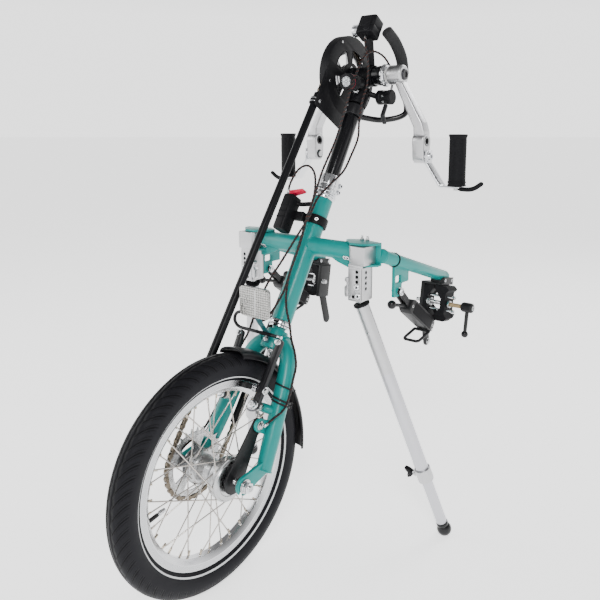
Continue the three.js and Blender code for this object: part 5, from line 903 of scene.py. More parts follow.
def fork():
    """Fork with its crown, steerer, legs, end plates, brake bosses and strap."""
    p = Piece("fork_welded", "steered", "fork", slot="paint")
    p.lathe([(226, 0), (226, 22), (228, 23.6), (236, 23.4), (250, 21), (259, 20.2), (262, 19.2), (262, 0)],
            "teal", HEAD @ basis((0, 0, 0), Z, X), 64)
    p.bar((0, 0, 258), (0, 0, STEERER_TOP), 12.6, "teal", HEAD, 40)
    for s in (-1, 1):
        radii = [14.8, 14.9, 15, 15, 15, 15, 15, 13.6]
        p.sweep(leg_points(s), radii, "teal", HEAD, 40, 8)
        weld(p, HEAD, ring_at((s * 20.5, 0, 241), (s * 0.86, 0, -0.5), 15.9), "teal", 1.2)
        end_plate(p, s)
        brake_boss(p, s)
    strap = HEAD @ basis((54.5, 0, 0), Y, Z)
    p.plate(link((0, STRAP_EYE[1]), 12, STRAP_EYE, 11.6), 5, "teal", strap, [circle(3.2, 24, *STRAP_EYE)],
            1.2)
    p.bar((0, 0, 222.8), (0, 0, 226.2), 9, "zinc", HEAD, 6, edge=0.6)
    p.done()


def end_plate(p, s):
    """Flat end of a leg with the slot for the axle."""
    outline = slotted(link((0, 37), 12, (-FORK_OFFSET, 0), 16, 24), -FORK_OFFSET, 5.2, 15.1)
    p.plate(outline, 6, "teal", HEAD @ basis((s * 70, 0, 0), Y, Z), (), 1.3)
    weld(p, HEAD, ring_at((s * 69.2, 0, 30), (0.06 * s, 0, 1), 13.6, 28), "teal", 1.2)


def slotted(outline, middle, half, foot):
    """Outline opened from below by a slot with a round end."""
    turns = [math.pi * k / 12 for k in range(13)]
    arch = [(middle - half * math.cos(a), half * math.sin(a)) for a in turns]
    slot = [(middle - half, -foot), *arch, (middle + half, -foot)]
    made = []
    for y, z in outline:
        if z < 0 and abs(y - middle) < half:
            made += slot
            slot = []
        else:
            made.append((y, z))
    return made


BRAKE = Sizes(boss_x=40, boss=125, pad=152, tip_x=47, tip=CROWN_LOW + 10, y=-40.8)


def brake_boss(p, s):
    """Curved tube from the leg with the pivot stud on its end."""
    root = Vector((s * 58.5, -4, BRAKE.boss))
    elbow = Vector((s * BRAKE.boss_x, -19, BRAKE.boss))
    route = [root, Vector((s * 49, -14, BRAKE.boss)), elbow, Vector((s * BRAKE.boss_x, -25, BRAKE.boss))]
    p.sweep(route, [7.8, 7.9, 7.9, 7.5], "teal", HEAD, 28, 8)
    p.bar(elbow, (s * BRAKE.boss_x, -35.8, BRAKE.boss), 6.4, "zinc", HEAD, 32)
    p.bar((s * BRAKE.boss_x, -30, BRAKE.boss), (s * BRAKE.boss_x, -33, BRAKE.boss), 7.6, "zinc", HEAD, 6,
          edge=0.5)
    p.bar((s * BRAKE.boss_x, -35, BRAKE.boss), (s * BRAKE.boss_x, -54.6, BRAKE.boss), 3.5, "zinc", HEAD, 20)
    socket_bolt(p, HEAD, (s * BRAKE.boss_x, -50.3, BRAKE.boss), -Y, 6.2, 4.4)


def torque_arm():
    """Flat arm from the hub's brake to the fork's strap, with its bolts."""
    p = Piece("torque_plate", "steered", "torque_arm", slot="black_steel")
    hub_place, eye = (-FORK_OFFSET, 0), STRAP_EYE
    outline = link(hub_place, 21.8, eye, 10.8, 24)
    holes = [circle(5.1, 32, *hub_place), circle(3.1, 24, *eye)]
    p.plate(outline, 4, "black_coat", HEAD @ basis((48.5, 0, 0), Y, Z), holes, 1.2)
    p.bar((42.8, *eye), (61, *eye), 2.7, "zinc", HEAD, 20)
    hex_bolt(p, HEAD, (46.5, *eye), -X, 6.2, 4)
    hex_bolt(p, HEAD, (57.3, *eye), X, 6.2, 4)
    p.lathe([(46.6, 6), (46.6, 13), (46, 13), (46, 6)], "zinc", WHEEL, 40)
    p.done()


def brake_arm(side, s):
    """Rim brake arm with its pad, post, washers, pivot bolt and cable anchor."""
    p = Piece("rim_brake_" + side, "brake_arm_" + side, "brake_arm_" + side, slot="black_alloy")
    y = BRAKE.y
    outline = link((s * BRAKE.boss_x, BRAKE.boss), 8, (s * BRAKE.tip_x, BRAKE.tip), 6.4, 16)
    p.plate(outline, 9, "black_alloy", HEAD @ basis((0, y, 0), X, Z),
            [circle(3.9, 24, s * BRAKE.boss_x, BRAKE.boss)], 2.2)
    rib = link((s * 41.2, 146), 3.2, (s * 46.4, 226), 2.4, 10)
    p.plate(rib, 1.2, "black_alloy", HEAD @ basis((0, y - 4.5, 0), X, Z), (), 0.5)
    p.lathe([(0, 4), (0, 8), (-1.4, 7.8), (-3, 6.2), (-3, 4)], "chrome",
            HEAD @ basis((s * BRAKE.boss_x, y - 4.5, BRAKE.boss), Y, Z), 32)
    p.bar((s * 13.8 + s * 6, y + 1, BRAKE.pad), (s * 52.5, y, BRAKE.pad), 3.3, "zinc", HEAD, 20)
    for x, r in ((24.2, 7.2), (27.2, 6.4), (31.2, 7.6)):
        p.pipe((s * x, y, BRAKE.pad), (s * (x + 2.4), y, BRAKE.pad), r, 3, "chrome", HEAD, 32, 0.7)
    p.pipe((s * 49.2, y, BRAKE.pad), (s * 51.4, y, BRAKE.pad), 6.8, 3, "chrome", HEAD, 32, 0.6)
    p.nut((s * 51.4, y, BRAKE.pad), (s, 0, 0), 5.2, 3, "zinc", HEAD, 0.5)
    pad(p, s)
    anchor = Vector((s * BRAKE.tip_x, y - 4, BRAKE.tip))
    p.bar(anchor, anchor - Y * 4.2, 5.2, "chrome", HEAD, 28)
    p.nut(anchor - Y * 4, -Y, 4.4, 4, "zinc", HEAD, 0.5)
    p.bar(anchor + Y * 9, anchor + Y * 10.4, 4, "zinc", HEAD, 20)
    p.done()


def pad(p, s):
    """Brake block curved with the rim, in its holder."""
    faces = ((13.85, 18.6, "grip"), (18.4, 23.6, "black_coat"))
    for low, high, key in faces:
        rows = []
        for k in range(13):
            y = -26.9 + 53.8 * k / 12
            drop = BRAKE.pad - math.sqrt(BRAKE.pad ** 2 - y ** 2)
            ease = 1 if 0 < k < 12 else 0.75
            middle = Vector((0, -FORK_OFFSET + y, BRAKE.pad - drop * 0.6))
            section = rounded(high - low, 10.2 * ease, 1.2, 2)
            centre = s * (low + high) / 2
            rows.append([HEAD @ (middle + Vector((centre + u, 0, w))) for u, w in section])
        p.grid(rows, key)
    for k in (-1, 1):
        low = Vector((s * 13.8, -FORK_OFFSET + k * 11, 146.6))
        p.box(low, low + Vector((s * 1.2, 1.2, 10.4)), "black_coat", HEAD, 0.1, 1)


NOODLE = ((46, -41, 19.9), (0, -41, 20), (-36, -41, 20), (-58, -42, 21), (-69, -46, 30), (-66, -51, 42),
          (-52, -52, 48))


def noodle():
    """Bent guide pipe of the brake cable, with its end caps."""
    p = Piece("noodle_pipe", "steered", "brake_noodle", slot="black_plastic")
    places = [Vector((x, y, CROWN_LOW + rise)) for x, y, rise in NOODLE]
    p.sweep(places, 3.1, "black_alloy", HEAD, 20, 12)
    p.bar(places[0] + X * 0.1, places[0] - X * 9, 3.3, "chrome", HEAD, 20)
    p.bar(places[1] + X * 24, places[1] - X * 14, 3.25, "grip", HEAD, 20)
    p.done()


GUARD = Sizes(half=29, thickness=2, skirt=13, radius=210, front=76, rear=-9, steps=72, flare=0.12,
              flare_end=1 / 3)


def mudguard():
    """Arched guard with rolled edges, a flared tail and its bracket under the crown."""
    p = Piece("mudguard_shell", "steered", "mudguard", slot="black_plastic")
    rows = []
    count = 28
    for k in range(GUARD.steps + 1):
        share = k / GUARD.steps
        a = math.radians(GUARD.rear + (GUARD.front - GUARD.rear) * share) + TILT
        flare = 1 + GUARD.flare * max(0, 1 - share / GUARD.flare_end)
        row = []
        for half, lift, way in ((GUARD.half, GUARD.thickness, 1), (GUARD.half - GUARD.thickness, 0.2, -1)):
            for i in range(count + 1):
                turn = math.pi * (i if way > 0 else count - i) / count
                roll = 0.5 * math.exp(-((math.sin(turn) / 0.16) ** 2)) if way > 0 else 0
                r = GUARD.radius - GUARD.skirt + lift + GUARD.skirt * math.sin(turn) ** 0.9 - roll * 0.2
                row.append(WHEEL @ Vector((half * math.cos(turn) * flare, r * math.cos(a),
                                           r * math.sin(a))))
        rows.append(row)
    p.grid(rows, "guard")
    p.box((-9, -2, 206.6), (9, 2, 225.6), "zinc", HEAD, 0.8)
    hex_bolt(p, HEAD, (0, -2, 216), -Y, 4.2, 3, "zinc")
    p.bar((0, 0, 211.4), (0, 0, 213), 7, "zinc", HEAD, 24)
    p.done(40)


REFLECTOR = Sizes(wide=68, tall=54, corner=9, rise=27, ahead=-86)


def reflector():
    """Prismatic lens in a shallow housing on a bent painted strip."""
    p = Piece("front_reflector", "steered", "reflector", slot="reflector")
    middle = Vector((0, REFLECTOR.ahead, CROWN_TOP + REFLECTOR.rise))
    up = Vector((0, -math.sin(TILT), math.cos(TILT)))
    place = HEAD @ basis(middle, X, up)
    p.plate(rounded(REFLECTOR.wide, REFLECTOR.tall, REFLECTOR.corner, 10), 6.4, "prism",
            place @ Matrix.Translation((0, 0, 1.25)), (), 1.4)
    p.plate(rounded(REFLECTOR.wide - 1, REFLECTOR.tall - 1, REFLECTOR.corner - 0.4, 10), 4.6, "plastic",
            place @ Matrix.Translation((0, 0, -2.1)), (), 1.0)
    p.plate(rounded(3, 46, 1.4, 4), 0.9, "prism_bar", place @ Matrix.Translation((4, 0, 4.05)), (), 0.3)
    bend, foot = Vector((0, -58, CROWN_TOP)), Vector((0, -23.6, CROWN_TOP - 15))
    end = middle - up * 11
    for a, b in ((foot, bend), (bend, end)):
        axis = b - a
        length = axis.length
        strip = basis(a, axis, X)
        p.box((-1, -6.8, -1.4), (length + 0.8, 6.8, 1.4), "teal_dark", HEAD @ strip, 0.7, 2)
    p.box((-6.9, -25.6, CROWN_TOP - 28.8), (6.9, -22.9, CROWN_TOP - 12.2), "teal_dark", HEAD, 0.6, 2)
    hex_bolt(p, HEAD, (0, -25.4, CROWN_TOP - 22), -Y, 4, 3)
    behind = INTO_HEAD @ Y
    p.nut(middle + behind * 4.2, behind, 4, 2.6, "zinc", HEAD, 0.4)
    p.done(40)


HEAD_LOW, HEAD_TOP = 280.994, 528.994


def headset():
    """Chromed cups below and above the head tube."""
    upward = HEAD @ basis((0, 0, 0), Z, X)
    low = Piece("headset_cup_low", "frame", "headset_lower_cup", slot="chrome")
    base = HEAD_LOW - 9
    low.lathe([(base - 5, 13), (base - 5, 18.6), (base - 4.2, 19.8), (base - 1.2, 19.8), (base - 0.6, 18.8),
               (base, 18.8), (base + 0.4, 21.4), (base + 1.6, 22), (base + 5, 22), (base + 6.6, 20.8),
               (base + 8.6, 20.4), (base + 8.6, 13)], "chrome", upward, 72, 0.3)
    low.lathe([(base - 0.8, 18), (base - 0.8, 19.2), (base + 0.2, 19.2), (base + 0.2, 18)], "sheath",
              upward, 64)
    low.done()
    high = Piece("headset_cup_high", "frame", "headset_upper_cup", slot="chrome")
    base = HEAD_TOP
    high.lathe([(base + 0.4, 13), (base + 0.4, 19), (base + 1.4, 20), (base + 5, 20), (base + 5.8, 20.6),
                (base + 6.4, 23.2), (base + 7.2, 23.5), (base + 8.2, 23.4), (base + 8.9, 22.2),
                (base + 8.9, 13)],
              "chrome", upward, 72, 0.25)
    high.done()


def clamp_ring():
    """Lock ring and the slit clamp that holds the column, with its bolts."""
    p = Piece("column_clamp", "steered", "clamp_ring", slot="chrome")
    upward = HEAD @ basis((0, 0, 0), Z, X)
    seat, top = 549.994, 579.994
    p.lathe([(538.4, 13.1), (538.4, 21), (539.2, 22), (541, 22), (542, 21.2), (543, 21.2), (544, 22),
             (549, 22), (549.9, 21), (549.9, 13.1)], "chrome", upward, 72, 0.2)
    for k in range(8):
        a = TAU * k / 8 + 0.2
        out = Vector((math.cos(a), math.sin(a), 0))
        p.box(out * 20.6 + Vector((-1.4, -1.4, 544.4)), out * 20.6 + Vector((1.4, 1.4, 548.6)), "zinc",
              HEAD, 0.4, 1)
    p.lathe([(seat + 0.2, 15.4), (seat + 0.2, 18.2), (seat + 1.4, 19), (seat + 7, 19), (seat + 7.8, 18.3),
             (seat + 9, 18.3), (seat + 9.8, 19), (top - 7, 19), (top - 6, 18.4), (top - 2, 18.4),
             (top, 17.4), (top, 15.4)], "chrome", upward, 72, 0.25)
    for side in (-1, 1):
        p.box((side * 1, 16.5, 552.6), (side * 7.4, 31.6, 579.4), "chrome", HEAD, 1.8, 3)
    for z in (558, 572):
        p.bar((-10.5, 25.4, z), (7.5, 25.4, z), 2.8, "zinc", HEAD, 18)
        socket_bolt(p, HEAD, (7.4, 25.4, z), X, 4.6, 4.9)
        p.nut((-7.4, 25.4, z), -X, 4.4, 4, "zinc", HEAD, 0.4)
    p.done()


def column():
    """Crank column with the shell across its top and the bearing cups in it."""
    p = Piece("crank_column_tube", "steered", "crank_column", slot="black_alloy")
    p.pipe((0, 0, 550.2), (0, 0, 806), 14.95, 13.2, "black_gloss", HEAD, 64, 0.4)
    at = CRANK_HEAD
    p.lathe([(-34, 9), (-34, 18.6), (-33, 19.8), (-24, 19.8), (-23, 19), (35, 19), (36, 19.9), (45.6, 19.9),
             (45.6, 9)], "black_gloss", at, 72, 0.5)
    p.lathe([(45.8, 9), (45.8, 20.4), (46.6, 22.4), (50.6, 22.4), (51.4, 20.8), (53.9, 20.2), (53.9, 16),
             (53, 15.6), (53, 9)], "chrome", at, 64, 0.3)
    for k in range(16):
        a = TAU * k / 16
        out = radial(a)
        p.bar(Vector((46.9, 0, 0)) + out * 21.6, Vector((50.4, 0, 0)) + out * 21.6, 1.0, "zinc", at, 8,
              edge=0.2)
    p.lathe([(52.6, 8.6), (52.6, 15), (53.6, 15), (53.6, 8.6)], "white", at, 48, 0.2)
    weld(p, HEAD, saddle_ring(15, 19.6), "black_gloss", 1.3)
    p.done()


def saddle_ring(tube, shell):
    """Where a tube along the head axis meets the crank shell from below."""
    ring = []
    for k in range(44):
        a = TAU * k / 44
        x, y = tube * math.cos(a), tube * math.sin(a)
        ring.append(Vector((x, y, CRANK_ALONG - math.sqrt(shell ** 2 - y ** 2))))
    return ring


CASE = Sizes(radius=84, plate=-38)


def run_at(front, along):
    """Place on a run of the chain, in the head frame."""
    return Vector((CHAIN_X, -FORK_OFFSET,
                   0)) + FRONT * (PITCH_RADIUS if front else -PITCH_RADIUS) + RUN * along


TUBE_TOP = 727.825


def chain_guard():
    """Windowed guard plate with its rim, tail and the two clamps that hold the chain tubes."""
    p = Piece("chain_case", "steered", "chain_guard", slot="black_plastic")
    at = CRANK_HEAD
    holes = [window(k + 0.25, 5, 29, 56, 0.68, 6) for k in range(4)]
    place = at @ basis((CASE.plate, 0, 0), Y, Z)
    p.plate(circle(CASE.radius - 0.1, 96), 3, "plastic", place, [*holes, circle(9.2, 40)], 0.6)
    for hole in holes:
        ring = [Vector((CASE.plate + 1.3, y, z)) for y, z in hole]
        p.sweep(ring, 0.9, "plastic", at, 8, 1, closed=True)
    tail = [(-76, -113), (61, -113), (72, -36), (50, -62), (0, -80), (-50, -62), (-80, -20)]
    p.plate(fillet(tail, 7), 2.5, "plastic", place, (), 0.5)
    p.lathe([(CASE.plate + 1.4, 80.2), (CASE.plate + 1.4, 83.9), (-56.6, 83.9), (-57, 82.6), (-56.4, 80.2)],
            "plastic", at, 120, 0.4)
    for k in range(5):
        a = TAU * (k + 0.75) / 5
        socket_bolt(p, at, (-36.5, 19 * math.cos(a), 19 * math.sin(a)), X, 3.4, 2.0, "zinc")
    for k in (1, 2, 3, 4):
        a = TAU * (k + 0.03) / 5
        socket_bolt(p, at, (-36.5, 76 * math.cos(a), 76 * math.sin(a)), X, 2.6, 1.6, "zinc")
    for front in (True, False):
        low = run_at(front, TUBE_TOP - 24)
        high = run_at(front, TUBE_TOP - 12)
        p.pipe(low, high, 10.8, 8.0, "plastic", HEAD, 48, 0.7)
        for share in (0.12, 0.7):
            a = low.lerp(high, share)
            p.pipe(a, a + RUN * 2.2, 10.95, 8.2, "chrome", HEAD, 48, 0.3)
        mid = low.lerp(high, 0.5)
        p.box(mid + Vector((8, -5, -5)), mid + Vector((12.6, 5, 5)), "plastic", HEAD, 1.0)
        hex_bolt(p, HEAD, mid + Vector((12.4, 0, 0)), X, 3.2, 2.0)
    p.done()


def chain_tube(front):
    """Plain tube over one run of the chain."""
    name = "front" if front else "rear"
    p = Piece("chain_tube_sleeve_" + name, "steered", "chain_tube_" + name, slot="black_plastic")
    p.pipe(run_at(front, 84), run_at(front, TUBE_TOP), 7.55, 6.15, "tube", HEAD, 40, 0.5)
    p.pipe(run_at(front, 84.1), run_at(front, 90), 7.6, 6.3, "grip", HEAD, 40, 0.4)
    p.done()


def crank_axle():
    """Spindle with a dark bolt in each end."""
    p = Piece("crank_spindle", "crankset", "crank_axle", slot="chrome")
    p.bar((-92.2, 0, 0), (92.2, 0, 0), 7.9, "zinc", CRANK_HEAD, 40)
    for s in (-1, 1):
        socket_bolt(p, CRANK_HEAD, (s * 92.1, 0, 0), (s, 0, 0), 10.8, 3.1, "black_alloy")
    p.done()


def chainring():
    """Toothed ring on its five-armed spider."""
    p = Piece("chainring_spider", "crankset", "chainring", slot="satin_aluminium")
    place = CRANK_HEAD @ basis((CHAIN_X, 0, 0), Y, Z)
    slots = [window(k, 5, 27, 47, 0.56) for k in range(5)]
    p.plate(toothed_outline(VALLEY), 2.7, "satin", place, [*slots, circle(8.4, 40)], 0.5)
    p.lathe([(-39.9, 8.4), (-39.9, 15.8), (-41, 17), (-46, 17), (-47.6, 22), (-50.4, 22), (-52, 17),
             (-59.6, 16), (-59.6, 8.4)], "satin", CRANK_HEAD, 64, 0.7)
    for k in range(5):
        a = TAU * (k + 0.5) / 5
        socket_bolt(p, CRANK_HEAD, (-50.2, 37 * math.cos(a), 37 * math.sin(a)), -X, 4.2, 2.0, "chrome")
        socket_bolt(p, CRANK_HEAD, (-47.8, 37 * math.cos(a), 37 * math.sin(a)), X, 4.2, 1.6, "black_alloy")
    p.done()


CRANK_END = Sizes(x=133, thick=26, hole=-130, pin=-160)


def crank(side, s):
    """Forged crank: boss, cranked arm and thick end with its two bushed holes."""
    p = Piece("crank_arm_" + side, "crankset", "crank_" + side, slot="satin_aluminium")
    at = CRANK @ mirror(s)
    p.lathe([(60.2, 8.4), (60.2, 17.4), (61.6, 19), (88, 19), (90.6, 18), (91.9, 16), (91.9, 11.2),
             (91, 8.4)],
            "satin", at, 72, 0.8)
    arm = [(120.8, -119.5), (120.8, -104), (78.5, -20), (78.5, -12.5), (91.5, -12.5), (139.6, -94),
           (145.4, -112), (145.4, -119.5)]
    p.plate(fillet(arm, 9, 5, closed=False), 26.6, "satin", at @ basis((0, 0, 0), X, Z), (), 3.6)
    end = link((0, CRANK_END.hole), 16, (0, CRANK_END.pin), 13.8, 24)
    holes = [circle(8.2, 40, 0, z) for z in (CRANK_END.hole, CRANK_END.pin)]
    p.plate(end, CRANK_END.thick, "satin", at @ basis((CRANK_END.x, 0, 0), Y, Z), holes, 3.2)
    for z, bore in ((CRANK_END.hole, 5.5), (CRANK_END.pin, 6.3)):
        p.lathe([(120.4, bore), (120.4, 8.4), (145.6, 8.4), (145.6, 7.2), (144.6, 6.6), (144.6, bore)],
                "black_alloy", at @ Matrix.Translation((0, 0, z)), 40, 0.3)
        p.lathe([(145.2, 6.4), (145.2, 7.4), (145.8, 7.4), (145.8, 6.4)], "zinc",
                at @ Matrix.Translation((0, 0, z)), 40)
    p.done()


POST_X = 212


def pedal_bracket(side, s):
    """Swivelling bent strap with its pin, the grip's post and the hook."""
    p = Piece("pedal_strap_" + side, "pedal_" + side, "pedal_bracket_" + side, slot="chrome")
    at = CRANK @ mirror(s)
    p.bar((117.2, 0, CRANK_END.pin), (152, 0, CRANK_END.pin), 5.95, "zinc", at, 32)
    socket_bolt(p, at, (153.4, 0, CRANK_END.pin), X, 7.4, 3.2)
    p.lathe([(146.4, 0), (146.4, 11), (147.2, 11.9), (152.6, 11.9), (153.6, 11), (153.6, 0)], "chrome",
            at @ Matrix.Translation((0, 0, CRANK_END.pin)), 48, 0.3)
    p.nut((117.1, 0, CRANK_END.pin), X, 6.8, 2.4, "zinc", at, 0.5)
    outline = [(148.9, -148.4), (152.2, -148.4), (152.2, -172), (182.4, -214.6), (222, -214.6),
               (222, -217.9), (180.2, -217.9), (148.9, -174)]
    p.plate(fillet(outline, 3, 4), 24.6, "chrome", at @ basis((0, 0, 0), X, Z), (), 1.2)
    p.bar((POST_X, 0, -216), (POST_X, 0, -123), 5.9, "zinc", at, 28)
    p.nut((POST_X, 0, -218), -Z, 6.9, 4.8, "zinc", at, 0.5)
    p.bar((POST_X, 0, -217.6), (POST_X, 0, -218.6), 9.5, "zinc", at, 28)
    hook = [(219, 0, -219.9), (237, 0, -219.9), (249.5, 0, -216.4), (261.8, 0, -208.2)]
    p.sweep(hook, [4.3, 4.4, 4.4, 4.3], "grip", at, 24, 10)
    p.ball(hook[-1], 4.35, "grip", at, 24)
    p.done()


def grip(side, s):
    """Rubber grip with fine ribs, a domed end and two rings at its foot."""
    p = Piece("hand_grip_" + side, "grip_" + side, "grip_" + side, slot="rubber")
    at = CRANK @ mirror(s) @ basis((POST_X, 0, -214.2), Z, X)
    profile = [(0, 6.4), (0, 17.2), (0.8, 17.9), (2.2, 17.9), (3, 16.6), (6, 16.6), (6.6, 17.9),
               (8.4, 17.9), (9, 16.2)]
    for k in range(26):
        x = 10 + 3 * k
        profile += [(x, 16.1), (x + 0.5, 16.5), (x + 2.1, 16.5), (x + 2.6, 16.1)]
    profile += [(90, 16.2), (92, 16.4), (95, 17.9), (96.6, 17.9), (98, 16.6), (98, 6.4)]
    p.lathe(profile, "grip", at, 72)
    p.bar((95, 0, 0), (97.9, 0, 0), 6.6, "grip", at, 40)
    p.done(50)


# Controls round the crank shell
def from_crank(x, y, z):
    """Place given across, back and up from the crank centre, in the head frame."""
    return HEAD.inverted() @ (CRANK @ Vector((x, y, z)))


REST = ((34, 13, -88), (70, 43, -75), (67, 44, -36), (63, 45, 4), (58, 43, 38), (51, 29, 67), (45, 7, 87))
REST_FOAM_FROM = 3
REST_ALONG = CRANK_ALONG - 85


def hand_rest():
    """Bent bar clamped to the column, with a soft sleeve over its upper part."""
    p = Piece("hand_rest_bar", "steered", "hand_rest", slot="foam")
    places = [from_crank(*q) for q in REST]
    p.sweep([Vector((0, 16, REST_ALONG)), *places[:REST_FOAM_FROM + 1]], 5.9, "black_gloss", HEAD, 24, 14)
    p.pipe((0, 0, REST_ALONG - 11), (0, 0, REST_ALONG + 11), 19.9, 15.3, "black_alloy", HEAD, 48, 0.8)
    for z in (-6, 6):
        socket_bolt(p, HEAD, (-6, -18.2, REST_ALONG + z), (0, -1, 0), 3.2, 2.2, "zinc")
    p.done()
    sleeve = Piece("hand_rest_foam", "steered", "hand_rest", slot="foam")
    radii = [11.4, 11.9, 11.9, 11.6]
    sleeve.sweep(places[REST_FOAM_FROM:], radii, "foam", HEAD, 40, 20)
    cap = basis(places[-1], places[-1] - places[-2], X)
    sleeve.ball((0, 0, 0), 11.5, "foam", HEAD @ cap, 32, 0.35)
    obj = sleeve.done(60)


LAMP = Sizes(radius=16, x=10, y=-61, z=-15, front=-85)


def on_lamp(y):
    return from_crank(LAMP.x, y, LAMP.z)


def headlight():
    """Lamp case with its bezel, cooling ribs and a red ring."""
    p = Piece("headlight_case", "headlight", "headlight", slot="black_plastic")
    place = HEAD @ basis(on_lamp(LAMP.front), INTO_HEAD @ Y, INTO_HEAD @ Z)
    profile = [(4.6, 0), (4.6, 12.7), (1.2, 12.7), (0.9, 10.6), (0, 11.2), (0.2, 15.2), (1.6, 16), (11, 16),
               (12, 15.2)]
    for k in range(5):
        x = 13 + 3.4 * k
        profile += [(x, 15.2), (x + 0.5, 15.9), (x + 2.2, 15.9), (x + 2.7, 15.2)]
    profile += [(31, 15.2), (33, 14.6), (46, 13), (47.6, 11.6), (48, 10), (48, 0)]
    p.lathe(profile, "plastic", place, 72)
    p.lathe([(10.2, 15.4), (10.2, 16), (11.2, 16), (11.2, 15.4)], "red", place, 72)
    p.done(30)


def lens():
    """Clear front with its reflector cup and a ring of small lamps behind it."""
    p = Piece("headlight_glass", "headlight", "headlight_lens", slot="lens")
    place = HEAD @ basis(on_lamp(LAMP.front), INTO_HEAD @ Y, INTO_HEAD @ Z)
    p.lathe([(0.2, 0), (0.4, 6), (0.8, 10), (1.4, 10.4), (1.5, 12.3), (2.2, 12.4), (2.2, 0)], "lens", place,
            48)
    p.lathe([(2.3, 0), (2.3, 12.2), (3.9, 12.3), (3.9, 0)], "black_gloss", place, 48)
    for k in range(7):
        a = TAU * k / 6
        r = 0 if k == 6 else 6.2
        centre = Vector((2.4, r * math.cos(a), r * math.sin(a)))
        p.ball(centre, 2.3, "led", place, 20, 0.35)
        p.lathe([(-0.35, 2.4), (-0.35, 2.8), (0.2, 2.8), (0.2, 2.4)], "chrome",
                place @ Matrix.Translation(centre), 20)
    p.done(30)


def lamp_clamp():
    """Band round the column with the arm that carries the lamp."""
    p = Piece("headlight_bracket", "steered", "headlight_clamp", slot="black_plastic")
    foot = CRANK_ALONG - 70
    p.pipe((0, 0, foot + 0.2), (0, 0, foot + 25.8), 20.9, 15.4, "plastic", HEAD, 56, 1.0)
    for z in (6, 19):
        p.pipe((0, 0, foot + z - 1.4), (0, 0, foot + z + 1.4), 21, 20.2, "grip", HEAD, 56, 0.3)
    root = Vector((0, -16.8, foot + 13))
    pivot = from_crank(LAMP.x, LAMP.y + 9.6, LAMP.z - LAMP.radius - 1.6)
    p.sweep([root, root.lerp(pivot, 0.5), pivot], [5.9, 4.8, 4.2], "plastic", HEAD, 24, 6)
    p.bar(pivot - X * 5.6, pivot + X * 5.6, 3.6, "zinc", HEAD, 24)
    socket_bolt(p, HEAD, (16, -8, foot + 13), (0.9, -0.45, 0), 3.2, 2.6, "zinc")
    p.done()


SELECTOR = Sizes(x=16, y=-58, along=CRANK_ALONG + 74, wide=39.6, deep=33.6, half=19.9, seam=0.4)


def selector():
    """Gear selector box with its display window, seam and clamp foot."""
    p = Piece("gear_selector_box", "steered", "gear_selector", slot="black_plastic")
    place = HEAD @ basis((SELECTOR.x, SELECTOR.y, SELECTOR.along), X, Y)
    outline = rounded(SELECTOR.wide, SELECTOR.deep, 6, 8)
    for low, high in ((-SELECTOR.half, -2), (SELECTOR.seam - 2, SELECTOR.half)):
        p.plate(outline, high - low, "plastic", place @ Matrix.Translation((0, 0, (low + high) / 2)), (),
                1.8)
    p.plate(rounded(SELECTOR.wide - 1, SELECTOR.deep - 1, 6, 8), 1, "grip",
            place @ Matrix.Translation((0, 0, -1.8)), (), 0.2)
    p.plate(rounded(26, 22, 4, 6), 0.8, "black_gloss", place @ Matrix.Translation((0, 0, 19.75)), (), 0.3)
    p.plate(rounded(20, 3, 1.4, 4), 0.6, "white", place @ Matrix.Translation((0, 4, 19.9)), (), 0.2)
    front = place @ basis((0, -16.9, 0), X, Z)
    p.plate(rounded(26, 20, 4, 6), 0.8, "black_gloss", front @ Matrix.Translation((0, 4, 0)), (), 0.3)
    paddle = place @ basis((7, -17.2, -8), X, Z)
    p.plate(rounded(14, 19, 6.6, 8), 1.6, "black_gloss", paddle, (), 0.7)
    for x in (-13, 13):
        socket_bolt(p, place, (x, 11, 19.8), (0, 0, 1), 2.2, 0.8, "zinc")
    start = Vector((SELECTOR.x, SELECTOR.y + 10, SELECTOR.along - 17))
    seat = Vector((SELECTOR.x, -14.4, CRANK_ALONG + 14.4))
    p.box((0, -7.9, -2.9), ((seat - start).length - 1, 7.9, 2.9), "plastic",
          HEAD @ basis(start, seat - start, X), 1.2)
    p.pipe((SELECTOR.x - 7.8, 0, CRANK_ALONG), (SELECTOR.x + 7.8, 0, CRANK_ALONG), 21.4, 20.0, "plastic",
           HEAD, 56, 0.5)
    p.done()


def dial():
    """Knurled selector dial."""
    p = Piece("gear_dial_knob", "gear_dial", "gear_dial", slot="chrome")
    centre = Vector((SELECTOR.x - 20.3, SELECTOR.y, SELECTOR.along - 4))
    count = 24
    points = []
    for k in range(count):
        for share, r in ((-0.25, 12.9), (0.2, 12.9), (0.3, 12.1), (0.7, 12.1)):
            a = TAU * (k + share) / count
            points.append((r * math.cos(a), r * math.sin(a)))
    place = HEAD @ basis(centre - X * 7.4, Y, Z)
    p.plate(points, 14.2, "chrome", place, (), 0.9)
    p.lathe([(-14.9, 0), (-14.9, 9), (-14, 10), (-14, 0)], "black_alloy", HEAD @ basis(centre, X, Y), 48,
            0.3)
    p.done(40)


LEVER = Sizes(x=47, y=3, z=-43, radius=15)


